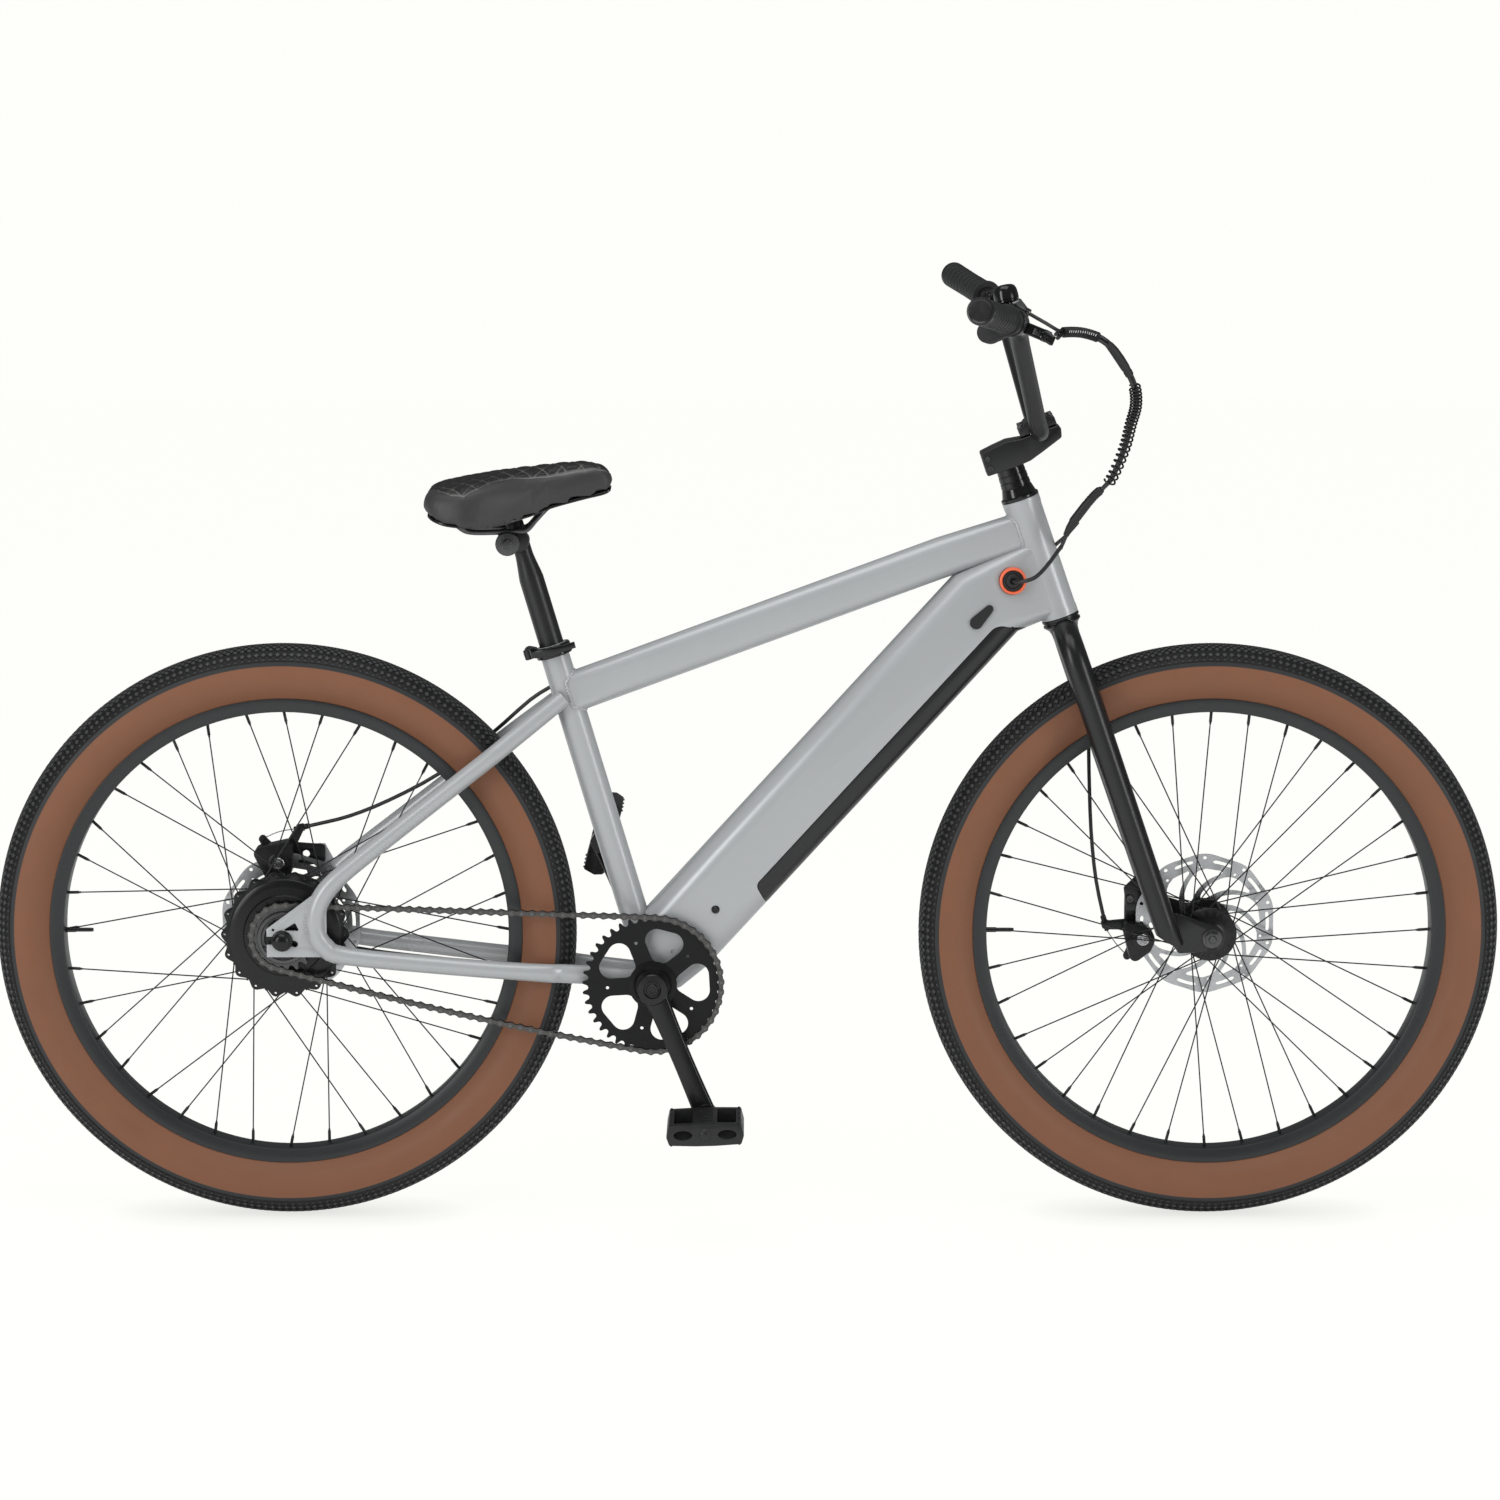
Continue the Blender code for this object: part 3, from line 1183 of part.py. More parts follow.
rear_mount = [(-0.5720, 0.4300), (-0.5320, 0.4360), (-0.5320, 0.4600), (-0.5720, 0.4600)]
rear_caliper = caliper(REAR_AXLE, REAR_PISTON, REAR_ROTOR_Y, -0.0140, 0.0600, 0.1030, 0.0270)
rear_caliper = united(rear_caliper, prism(rear_mount, 0.0590, 0.0642))
for height in (0.4410, 0.4540):
    bolt = turned((-0.5400, 0.0, height), Y, [(0.0028, 0.0600), (0.0028, 0.0708), (0.0048, 0.0708), (0.0048, 0.0742)], 6)
    rear_caliper = united(rear_caliper, bolt)
rear_caliper = named("rear_caliper", rear_caliper, SATIN_BLACK)
rear_caliper_arm = named("rear_caliper_arm", caliper_arm(REAR_PISTON, REAR_ROTOR_Y, (-0.6120, 0.4640)), SATIN_BLACK)

front_mount = [(0.4740, 0.3600), (0.4950, 0.3600), (0.4865, 0.4010), (0.4745, 0.4010)]
front_caliper = caliper(FRONT_AXLE, FRONT_PISTON, FRONT_ROTOR_Y, -0.0120, 0.0700, 0.1020, 0.0270)
front_caliper = united(front_caliper, prism(front_mount, 0.0533, 0.0590))
bolt = turned((0.4815, 0.0, 0.3920), Y, [(0.0028, 0.0560), (0.0028, 0.0477), (0.0048, 0.0477), (0.0048, 0.0445)], 6)
front_caliper = named("front_caliper", united(front_caliper, bolt), SATIN_BLACK)
front_caliper_arm = named("front_caliper_arm", caliper_arm(FRONT_PISTON, FRONT_ROTOR_Y, (0.4540, 0.3360)), SATIN_BLACK)

# Cables. The bundle in front turns with the bar, down to its lower plug.
BUNDLE = [
    (0.3665, -0.1800, 1.1155),
    (0.3750, -0.1650, 1.1190),
    (0.4020, -0.1500, 1.1170),
    (0.4290, -0.1400, 1.1050),
    (0.4510, -0.1250, 1.0770),
    (0.4650, -0.1120, 1.0510),
    (0.4680, -0.1030, 1.0270),
    (0.4630, -0.0950, 1.0040),
    (0.4560, -0.0840, 0.9720),
    (0.4405, -0.0700, 0.9320),
    (0.4210, -0.0620, 0.9120),
    (0.3960, -0.0540, 0.8780),
    (0.3820, -0.0500, 0.8465),
]
bundle = curve_through(BUNDLE, 2)
bundle_radii = []
for i in range(len(bundle)):
    plug = i in (7, 8) or 20 <= i <= 22
    bundle_radii.append(0.0058 if plug else 0.0033)
main_cable = named("main_cable", tube(bundle, bundle_radii, 6), RUBBER)

sleeve_path = curve_through(BUNDLE, 5)[5:14]
sleeve_radii = [0.0066 if i % 2 else 0.0056 for i in range(len(sleeve_path))]
spiral_sleeve = named("spiral_sleeve", pipe(sleeve_path, sleeve_radii, 0.0044, 6), RUBBER)

TURNS = 17
fine = curve_through(BUNDLE, 12)
wrapped = fine[60:110]
wrap_frames = frames_along(wrapped, Y, False)
wrap_points = []
for i in range(TURNS * 8 + 1):
    place = i / (TURNS * 8) * (len(wrapped) - 1)
    before = min(int(place), len(wrapped) - 2)
    part = place - before
    point = wrapped[before].lerp(wrapped[before + 1], part)
    first = wrap_frames[before][1].lerp(wrap_frames[before + 1][1], part).normalized()
    second = wrap_frames[before][2].lerp(wrap_frames[before + 1][2], part).normalized()
    angle = 2 * pi * i / 8
    wrap_points.append(point + (first * cos(angle) + second * sin(angle)) * 0.0066)
spiral_wrap = named("spiral_wrap", tube(wrap_points, 0.0014, 4, hint=X), GLOSS_BLACK)
least_gap = min((a - b).length for i, a in enumerate(wrap_points) for b in wrap_points[i + 6 :])
print(f"least gap of the coil to itself {(least_gap - 0.0028) * 1000:.2f} mm")

port_path = [
    (0.3814, -0.0501, 0.8450),
    (0.3660, -0.0520, 0.8260),
    (0.3520, -0.0520, 0.8120),
    (0.3380, -0.0480, 0.8065),
    (0.3285, -0.0415, 0.8051),
    (0.3260, -0.0360, 0.8050),
    (0.3260, -0.0285, 0.8050),
]
port_cable = named("port_cable", tube(port_path, 0.0026, 6), RUBBER)

front_brake_path = [
    (0.4005, -0.0500, 0.8725),
    (0.4085, -0.0420, 0.8500),
    (0.4180, -0.0270, 0.8250),
    (0.4280, 0.0000, 0.7950),
    (0.4300, 0.0300, 0.7650),
    (0.4260, 0.0600, 0.7280),
    (0.4180, 0.0780, 0.6900),
    (0.4080, 0.0790, 0.6450),
    (0.4030, 0.0740, 0.6200),
    (0.4120, 0.0680, 0.5800),
    (0.4300, 0.0640, 0.4800),
    (0.4486, 0.0640, 0.3900),
]
front_brake_cable = named("front_brake_cable", tube(front_brake_path, 0.0024, 6), RUBBER)
left_brake_path = [
    (0.3560, 0.1790, 1.1180),
    (0.3750, 0.1600, 1.1200),
    (0.4050, 0.1100, 1.1220),
    (0.4380, 0.0200, 1.1120),
    (0.4540, -0.0500, 1.0980),
    (0.4570, -0.1120, 1.0860),
]
left_brake_cable = named("left_brake_cable", tube(left_brake_path, 0.0024, 6), RUBBER)
rear_brake_path = [
    (-0.2400, 0.0200, 0.6690),
    (-0.2710, 0.0250, 0.6485),
    (-0.3220, 0.0400, 0.6020),
    (-0.3860, 0.0500, 0.5520),
    (-0.4500, 0.0550, 0.5170),
    (-0.5000, 0.0600, 0.4960),
    (-0.5400, 0.0650, 0.4850),
    (-0.5640, 0.0700, 0.4790),
]
rear_brake_cable = named("rear_brake_cable", tube(rear_brake_path, 0.0024, 6), RUBBER)
motor_path = [
    (-0.5605, 0.0790, 0.3525),
    (-0.5500, 0.0790, 0.3420),
    (-0.5300, 0.0760, 0.3290),
    (-0.4900, 0.0650, 0.3245),
    (-0.4500, 0.0625, 0.3190),
    (-0.3600, 0.0560, 0.3105),
    (-0.3000, 0.0510, 0.3050),
    (-0.2450, 0.0425, 0.3000),
    (-0.2000, 0.0330, 0.2940),
    (-0.1500, 0.0280, 0.2900),
]
motor_cable = named("motor_cable", tube(motor_path, 0.0025, 6), RUBBER)


def carry(name, place, pieces, holder=None):
    """Pieces that move together, held by an empty on their joint's axis."""
    empty = bpy.data.objects.new(name, None)
    bpy.context.collection.objects.link(empty)
    empty["place"] = tuple(place)
    start = Vector(holder["place"]) if holder else Vector((0.0, 0.0, 0.0))
    empty.parent = holder
    empty.location = Vector(place) - start
    for piece in pieces:
        piece.parent = empty
        piece.location = -Vector(place)
    return empty


steering = carry(
    "steering_axis",
    HEAD_BOTTOM,
    [
        fork,
        headset_stack,
        stem,
        stem_cap,
        handlebar,
        *grips.values(),
        *perches.values(),
        throttle_body,
        bell,
        front_axle,
        front_caliper,
        front_brake_cable,
        left_brake_cable,
        main_cable,
        spiral_sleeve,
        spiral_wrap,
        port_cable,
    ],
)
for name, hand in HANDS.items():
    carry(f"lever_axis_{name}", hand.hinge, [levers[name]], steering)
carry("paddle_axis", RIGHT.at(0.0450), [throttle_paddle], steering)
carry("striker_axis", STRIKER_HINGE, [bell_striker], steering)
carry("front_arm_axis", FRONT_PISTON + Y * FRONT_ROTOR_Y, [front_caliper_arm], steering)
carry("rear_arm_axis", REAR_PISTON + Y * REAR_ROTOR_Y, [rear_caliper_arm])
carry("front_wheel_axis", FRONT_AXLE, [tyres["front"], rims["front"], front_hub, front_rotor], steering)
carry("rear_wheel_axis", REAR_AXLE, [tyres["rear"], rims["rear"], motor_shell, rear_rotor])
carry("freewheel_axis", REAR_AXLE, [freewheel])
cranks = carry("crank_axis", CRANK_AXLE, [chainring, crank_right, crank_left])
carry("pedal_axis_right", PEDAL_RIGHT, [pedal_right], cranks)
carry("pedal_axis_left", PEDAL_LEFT, [pedal_left], cranks)
seat = carry("seat_slide", SEAT_TOP, [seatpost])
carry("saddle_axis", CLAMP, [saddle_cover, saddle_base, saddle_rails, rail_clamp], seat)
carry("qr_axis", QR_HINGE, [seat_qr_lever])
carry("battery_axis", BATTERY_HINGE, [battery_pack])
carry("charge_cover_axis", (0.2970, -0.0392, 0.7710), [charge_cover])

for label, point in (
    ("along the right grip", RIGHT.along),
    ("right lever hinge", RIGHT.hinge),
    ("right lever up", RIGHT.up),
    ("left lever hinge", HANDS["left"].hinge),
    ("left lever up", HANDS["left"].up),
    ("bell up", BELL_UP),
    ("striker hinge", STRIKER_HINGE),
    ("paddle", RIGHT.at(0.0450)),
    ("battery hinge", BATTERY_HINGE),
    ("right pedal", PEDAL_RIGHT),
    ("left pedal", PEDAL_LEFT),
    ("steering way", STEER),
    ("seat way", SEAT),
):
    print(label, " ".join(f"{value:.5f}" for value in point))
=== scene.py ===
from math import acos, atan2, cos, exp, pi, radians, sin

import bmesh
import bpy
from mathutils import Matrix, Vector


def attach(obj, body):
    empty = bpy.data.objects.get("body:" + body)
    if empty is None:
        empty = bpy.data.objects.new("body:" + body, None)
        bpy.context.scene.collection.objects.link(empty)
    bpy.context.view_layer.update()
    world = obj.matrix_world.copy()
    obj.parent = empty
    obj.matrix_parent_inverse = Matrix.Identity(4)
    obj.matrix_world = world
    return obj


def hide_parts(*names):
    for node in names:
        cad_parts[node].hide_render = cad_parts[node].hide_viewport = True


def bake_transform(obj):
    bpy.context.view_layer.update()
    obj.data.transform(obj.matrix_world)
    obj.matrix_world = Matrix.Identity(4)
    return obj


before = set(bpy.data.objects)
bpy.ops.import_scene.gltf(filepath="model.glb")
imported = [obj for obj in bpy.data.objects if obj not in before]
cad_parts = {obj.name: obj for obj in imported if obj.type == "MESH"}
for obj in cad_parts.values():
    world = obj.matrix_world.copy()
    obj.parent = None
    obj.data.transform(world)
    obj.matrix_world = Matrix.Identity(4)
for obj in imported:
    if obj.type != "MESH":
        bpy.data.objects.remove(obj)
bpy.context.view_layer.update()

# The studio: a white table that darkens a little where the tyres stand, under three wide soft lamps. The
# camera stands square to the drive side, at the height of a standing person's chest, and looks a little
# down, as in the photograph. Only the camera sees the bright white; the bike is lit by a dimmer room.
sight = bpy.data.cameras.new("camera")
sight.lens = 110.88
sight.sensor_width = 36.0
camera = bpy.data.objects.new("camera", sight)
camera.location = (0.003, -5.665, 1.507)
camera.rotation_euler = (radians(80.8), 0.0, 0.0)
bpy.context.scene.collection.objects.link(camera)
bpy.context.scene.camera = camera
bpy.context.scene.view_settings.view_transform = "Standard"


def shading(tree, kind, inputs, **settings):
    """A shader node's outputs, with each of its inputs set to a value or wired to another output."""
    step = tree.nodes.new("ShaderNode" + kind)
    for setting, value in settings.items():
        setattr(step, setting, value)
    for entry, value in inputs.items():
        if isinstance(value, bpy.types.NodeSocket):
            tree.links.new(value, step.inputs[entry])
        else:
            step.inputs[entry].default_value = value
    return step.outputs


def seen_rays(tree):
    """The rays that come from the camera, or came through something clear, and the glossy ones."""
    ray = shading(tree, "LightPath", {})
    first, second = ray["Is Camera Ray"], ray["Is Transmission Ray"]
    return shading(tree, "Math", {0: first, 1: second}, operation="MAXIMUM")[0], ray["Is Glossy Ray"]


white_sweep = bpy.data.worlds.new("white_sweep")
bpy.context.scene.world = white_sweep
white_sweep.use_nodes = True
sweep = white_sweep.node_tree
seen_white = sweep.nodes["Background"]
seen_white.inputs["Color"].default_value = (0.991, 0.991, 0.961, 1.0)
soft_fill = shading(sweep, "Background", {"Color": (0.97, 0.985, 1.0, 1.0), "Strength": 0.62})[0]
dim_room = shading(sweep, "Background", {"Color": (0.96, 0.98, 1.0, 1.0), "Strength": 0.15})[0]
seen, glossy = seen_rays(sweep)
unseen = shading(sweep, "MixShader", {0: glossy, 1: soft_fill, 2: dim_room})[0]
around = shading(sweep, "MixShader", {0: seen, 1: unseen, 2: seen_white.outputs[0]})[0]
sweep.links.new(around, sweep.nodes["World Output"].inputs["Surface"])

for name, place, across, up, power in (
    ("top_lamp", (-0.4, -1.2, 4.2), 3.6, 2.4, 62.0), ("left_lamp", (-3.4, -3.2, 1.9), 1.3, 2.6, 62.0),
    ("right_lamp", (3.6, -2.6, 1.7), 1.0, 2.4, 44.0),
):
    glow = bpy.data.lights.new(name, "AREA")
    glow.shape = "RECTANGLE"
    glow.size = across
    glow.size_y = up
    glow.energy = power
    lamp = bpy.data.objects.new(name, glow)
    lamp.location = place
    lamp.rotation_euler = (Vector((0.0, 0.0, 0.6)) - Vector(place)).to_track_quat("-Z", "Y").to_euler()
    bpy.context.scene.collection.objects.link(lamp)

bpy.ops.object.select_all(action="DESELECT")
bpy.ops.mesh.primitive_plane_add(size=24.0, location=(0.0, 0.0, -0.0006))
table = bpy.context.object
table.name = "table"
white_table = bpy.data.materials.new("white_table")
white_table.use_nodes = True
paper = white_table.node_tree
matt_paper = paper.nodes["Principled BSDF"]
matt_paper.inputs["Base Color"].default_value = (0.96, 0.96, 0.945, 1.0)
matt_paper.inputs["Roughness"].default_value = 0.9
# Painted contact shadow: ambient occlusion dims the bright white that the camera sees near the bike, down to 0.78
# of its strength where the tyres stand.
painted_contact_shadow = shading(paper, "AmbientOcclusion", {"Distance": 0.07}, samples=16)["AO"]
glow_with_painted_shadow = shading(paper, "MapRange", {"Value": painted_contact_shadow, "To Min": 0.78})[0]
bright = shading(paper, "Emission", {"Color": (1.018, 1.018, 0.986, 1.0), "Strength": glow_with_painted_shadow})[0]
share = shading(paper, "Math", {0: seen_rays(paper)[0], 1: 0.93}, operation="MULTIPLY")[0]
surface = shading(paper, "MixShader", {0: share, 1: matt_paper.outputs[0], 2: bright})[0]
paper.links.new(surface, paper.nodes["Material Output"].inputs["Surface"])
table.data.materials.append(white_table)

# Main frame: aluminium tubes, welded, ground and sprayed a satin blue-grey. The boxy down tube is open
# along its underside for the battery. Head tube, seat tube and crank shell are round.
ahead_x = Vector((1.0, 0.0, 0.0))
side_y = Vector((0.0, 1.0, 0.0))
up_z = Vector((0.0, 0.0, 1.0))


def mid(x, z):
    """A place or a way in the bike's middle plane."""
    return Vector((x, 0.0, z))


def mm(*points):
    """Points given in millimetres."""
    return [tuple(round(value / 1000, 7) for value in point) for point in points]


rear_axle_place = mid(-0.575, 0.362)
front_axle_place = mid(0.575, 0.362)
crank_place = mid(-0.1176, 0.302)
head_bottom = mid(0.386, 0.758)
head_top = mid(0.336, 0.903)
seat_top = mid(-0.2395, 0.712)
steer_way = (head_top - head_bottom).normalized()
seat_way = (seat_top - crank_place).normalized()
head_length = (head_top - head_bottom).length


def only(piece):
    """Selects this piece alone, for the next operator."""
    bpy.ops.object.select_all(action="DESELECT")
    piece.select_set(True)
    bpy.context.view_layer.objects.active = piece


def mirrored(line):
    """The other half of a line of (radius, along) points, back from its end."""
    return [(radius, -along) for radius, along in line[::-1]]


def settled():
    """Leaves edit mode: doubles merged, faces outward, and the place set into the mesh."""
    piece = bpy.context.object
    bpy.ops.mesh.select_all(action="SELECT")
    bpy.ops.mesh.remove_doubles(threshold=0.00001)
    bpy.ops.mesh.normals_make_consistent(inside=False)
    bpy.ops.object.mode_set(mode="OBJECT")
    bpy.ops.object.transform_apply(location=True, rotation=True, scale=True)
    return piece


def drawn(points):
    """A line pulled out from one point by extruding it, left selected in edit mode."""
    points = [Vector(point) for point in points]
    bpy.ops.object.select_all(action="DESELECT")
    bpy.ops.mesh.primitive_plane_add(size=0.002, location=points[0])
    bpy.ops.object.mode_set(mode="EDIT")
    bpy.ops.mesh.merge(type="CENTER")
    for before, after in zip(points, points[1:]):
        bpy.ops.mesh.extrude_region_move(TRANSFORM_OT_translate={"value": after - before})
    bpy.ops.mesh.select_all(action="SELECT")


def turned(centre, axis, profile, steps=64, ring=False):
    """A piece turned on a lathe: its line of (radius, along) points spun once round the axis."""
    axis = Vector(axis).normalized()
    out = axis.orthogonal().normalized()
    line = profile + [profile[0]] if ring else profile
    drawn([Vector(centre) + axis * along + out * radius for radius, along in line])
    bpy.ops.mesh.spin(steps=steps, angle=2 * pi, center=centre, axis=axis)
    return settled()


def plate(corners, thickness):
    """A sheet part: its outline drawn, filled and pulled out to its thickness."""
    drawn(list(corners) + [corners[0]])
    bpy.ops.mesh.remove_doubles(threshold=0.00001)
    bpy.ops.mesh.edge_face_add()
    bpy.ops.mesh.extrude_region_move(TRANSFORM_OT_translate={"value": Vector(thickness)})
    return settled()


def lofted(rings):
    """A skin pulled through rings of points: a circle, extruded and set to each ring in turn."""
    bpy.ops.object.select_all(action="DESELECT")
    bpy.ops.mesh.primitive_circle_add(vertices=len(rings[0]), radius=0.01)
    bpy.ops.object.mode_set(mode="EDIT")
    for i, ring in enumerate(rings):
        if i > 0:
            bpy.ops.mesh.extrude_region_move()
        shape = bmesh.from_edit_mesh(bpy.context.object.data)
        for vertex, point in zip([each for each in shape.verts if each.select], ring):
            vertex.co = point
        bmesh.update_edit_mesh(bpy.context.object.data)
    bpy.ops.mesh.select_all(action="SELECT")
    bpy.ops.mesh.fill_holes(sides=0)
    return settled()


def bar(start, end, radius, sides=32):
    """A plain round bar between two points."""
    way = Vector(end) - Vector(start)
    bpy.ops.object.select_all(action="DESELECT")
    bpy.ops.mesh.primitive_cylinder_add(
        vertices=sides, radius=radius, depth=way.length, location=(Vector(start) + Vector(end)) / 2,
        rotation=way.to_track_quat("Z", "Y").to_euler(),
    )
    bpy.ops.object.transform_apply(location=True, rotation=True, scale=True)
    return bpy.context.object


def tube(path, radius, sides=16, ring=False):
    """A round tube along a path, with one radius or one for each point."""
    bpy.ops.object.select_all(action="DESELECT")
    bpy.ops.curve.primitive_bezier_curve_add()
    line = bpy.context.object.data
    line.splines.clear()
    spline = line.splines.new("POLY")
    spline.points.add(len(path) - 1)
    for i, (point, place) in enumerate(zip(spline.points, path)):
        point.co = (*place, 1.0)
        point.radius = 1000.0 * (radius if isinstance(radius, float) else radius[i])
    spline.use_cyclic_u = ring
    line.dimensions = "3D"
    line.fill_mode = "FULL"
    line.bevel_depth = 0.001
    line.bevel_resolution = (sides - 4) // 2
    bpy.ops.object.convert(target="MESH")
    bpy.ops.object.mode_set(mode="EDIT")
    bpy.ops.mesh.select_all(action="SELECT")
    bpy.ops.mesh.remove_doubles(threshold=0.00001)
    bpy.ops.mesh.fill_holes(sides=0)
    return settled()


def carved(piece, *cutters, way="DIFFERENCE"):
    """The piece with each cutter taken from it, or added to it. The cutters are used up."""
    for cutter in cutters:
        only(piece)
        step = piece.modifiers.new("step", "BOOLEAN")
        step.operation = way
        step.solver = "EXACT"
        step.object = cutter
        bpy.ops.object.modifier_apply(modifier=step.name)
        bpy.data.objects.remove(cutter, do_unlink=True)
    return piece


def eased(piece, width, segments=2, angle=32.0):
    """The piece with its sharp edges rounded."""
    only(piece)
    edge = piece.modifiers.new("edge", "BEVEL")
    edge.width = width
    edge.segments = segments
    edge.limit_method = "ANGLE"
    edge.angle_limit = radians(angle)
    bpy.ops.object.modifier_apply(modifier=edge.name)
    return piece


def joined(piece, *others):
    """Several shapes made one piece."""
    only(piece)
    for other in others:
        other.select_set(True)
    bpy.ops.object.join()
    return piece


def smooth_line(points, steps):
    """A smooth line through the given points, with this many steps between each two."""
    points = [Vector(point) for point in points]
    ends = [points[0] * 2 - points[1], *points, points[-1] * 2 - points[-2]]
    path = []
    for i in range(1, len(ends) - 2):
        before, start, end, after = ends[i - 1 : i + 3]
        for step in range(steps):
            t = step / steps
            slope = (end - before) * t
            bend = (before * 2 - start * 5 + end * 4 - after) * t**2
            twist = (after - before + (start - end) * 3) * t**3
            path.append((start * 2 + slope + bend + twist) / 2)
    path.append(points[-1])
    return path


def rounded(half_u, half_v, corner, steps=8):
    """A rectangle with round corners, as (u, v) points."""
    points = []
    for quarter, (along_u, along_v) in enumerate(((1, 1), (-1, 1), (-1, -1), (1, -1))):
        for step in range(steps + 1):
            angle = (quarter + step / steps) * pi / 2
            u = along_u * (half_u - corner) + corner * cos(angle)
            v = along_v * (half_v - corner) + corner * sin(angle)
            points.append((u, v))
    return points


def in_plane(outline, y):
    """(x, z) points set in the plane at this y."""
    return [Vector((x, y, z)) for x, z in outline]


def sheet(outline, y, thickness):
    """A plate parallel to the bike's middle plane, from its (x, z) outline."""
    return plate(in_plane(outline, y), side_y * thickness)


def cross_bar(middle, near, far, radius, sides=32):
    """A bar straight across the bike, from one distance beside a point to another."""
    return bar(middle + side_y * near, middle + side_y * far, radius, sides)


def coat(name, colour, other, roughness, metallic=0.0, scale=30.0, spread=0.06, grain=900.0, bump=0.05, shine=0.5):
    """A finish: two close colours clouded together, uneven gloss and a fine grain."""
    made = bpy.data.materials.new(name)
    made.use_nodes = True
    tree = made.node_tree
    place = shading(tree, "TexCoord", {})["Object"]
    cloud = shading(tree, "TexNoise", {"Vector": place, "Scale": scale, "Detail": 5.0})["Fac"]
    specks = shading(tree, "TexNoise", {"Vector": place, "Scale": grain, "Detail": 2.0})["Fac"]
    blend = shading(tree, "Mix", {0: cloud, 6: (*colour, 1.0), 7: (*other, 1.0)}, data_type="RGBA")
    level = {"From Min": 0.3, "From Max": 0.7, "To Min": roughness - spread, "To Max": roughness + spread}
    gloss = shading(tree, "MapRange", {"Value": cloud, **level})
    relief = shading(tree, "Bump", {"Height": specks, "Strength": bump, "Distance": 0.0005})
    shader = tree.nodes["Principled BSDF"]
    shader.inputs["Metallic"].default_value = metallic
    shader.inputs["Specular IOR Level"].default_value = shine
    for entry, output in (("Base Color", blend[2]), ("Roughness", gloss[0]), ("Normal", relief[0])):
        tree.links.new(output, shader.inputs[entry])
    return made


def fitted(piece, name, body, finish, slot, *stands_for, smooth=35.0):
    """The finished piece, coated and hung on its body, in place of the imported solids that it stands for."""
    piece.name = name
    piece.data.materials.clear()
    piece.data.materials.append(finish)
    for face in piece.data.polygons:
        face.material_index = 0
    only(piece)
    bpy.ops.object.shade_smooth_by_angle(angle=radians(smooth))
    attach(piece, body)
    if stands_for:
        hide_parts(*stands_for)
    return piece


frame_grey = coat("frame_grey", (0.382, 0.394, 0.4), (0.41, 0.422, 0.428), 0.3, 0.18, 6.0, 0.03, 2600.0, 0.04)
satin_black = coat(
    "satin_black", (0.008, 0.0082, 0.0088), (0.0115, 0.0116, 0.012), 0.36, 0.0, 14.0, 0.04, 1500.0, 0.05,
)
gloss_black = coat(
    "gloss_black", (0.0045, 0.0046, 0.005), (0.0065, 0.0065, 0.007), 0.16, 0.0, 25.0, 0.05, 700.0, 0.02,
)

down_start = mid(-0.0785, 0.365)
down_way = mid(0.673, 0.7396).normalized()
down_below = mid(down_way.z, -down_way.x)


def by_down_tube(s, n):
    """A point s along the down tube and n below its middle."""
    return down_start + down_way * s + down_below * n


def ring_between(low, high, half_width, corner):
    """A rounded rectangle that stands between two points of the middle plane."""
    middle = (low + high) / 2
    rise = (high - low) / 2
    section = rounded(half_width, rise.length, corner)
    return [middle + side_y * u + rise.normalized() * v for u, v in section]


def down_tube():
    """The down tube's outer skin."""
    stations = [
        (by_down_tube(-0.075, 0.036), by_down_tube(-0.075, -0.012), 0.025, 0.008),
        (by_down_tube(-0.056, 0.045), by_down_tube(-0.056, -0.03), 0.031, 0.014),
        (by_down_tube(-0.015, 0.052), by_down_tube(-0.015, -0.052), 0.037, 0.026),
        (by_down_tube(0.1, 0.052), by_down_tube(0.1, -0.052), 0.0375, 0.026),
        (by_down_tube(0.555, 0.052), by_down_tube(0.555, -0.052), 0.0375, 0.026),
        (mid(0.3847, 0.7618), mid(0.3534, 0.8525), 0.02, 0.01),
    ]
    return lofted([ring_between(*station) for station in stations])


top_stations = [
    (mid(-0.216, 0.6361), mid(-0.2334, 0.6829), 0.0168, 0.012),
    (mid(-0.16, 0.6566), mid(-0.1774, 0.7034), 0.0185, 0.015),
    (mid(0.25, 0.8076), mid(0.2326, 0.8544), 0.019, 0.016), (mid(0.356, 0.845), mid(0.341, 0.888), 0.0175, 0.012),
]
top_tube = lofted([ring_between(*station) for station in top_stations])
seat_tube = turned(seat_top, seat_way, mm((0, -418), (17.8, -418), (17.8, 10.4), (0, 10.4)))
head_line = [
    (0.0, 0.0), (0.0235, 0.0), (0.0235, 0.008), (0.0229, 0.012), (0.0229, head_length - 0.012),
    (0.0235, head_length - 0.008), (0.0235, head_length), (0.0, head_length),
]
head_tube = turned(head_bottom, steer_way, head_line, 80)
crank_shell = turned(
    crank_place, side_y, mm((0, -34.5), (21.8, -34.5), (22.5, -33.8), (22.5, 33.8), (21.8, 34.5), (0, 34.5)),
)


def welded(ring, way, target):
    """A row of weld ripples where a tube's outline, cast along the tube, meets another tube."""
    hits = []
    for point in ring:
        found, place, normal, face = target.ray_cast(Vector(point) - way * 0.12, way, distance=0.5)
        if found:
            hits.append(place)
    path = []
    for before, after in zip(hits, hits[1:] + hits[:1]):
        count = max(1, round((after - before).length / 0.0009))
        path += [before.lerp(after, step / count) for step in range(count)]
    radii = [0.0021 * (1.0 + 0.13 * cos(2 * pi * i / 4.0)) for i in range(len(path))]
    return tube(path, radii, 10, ring=True)


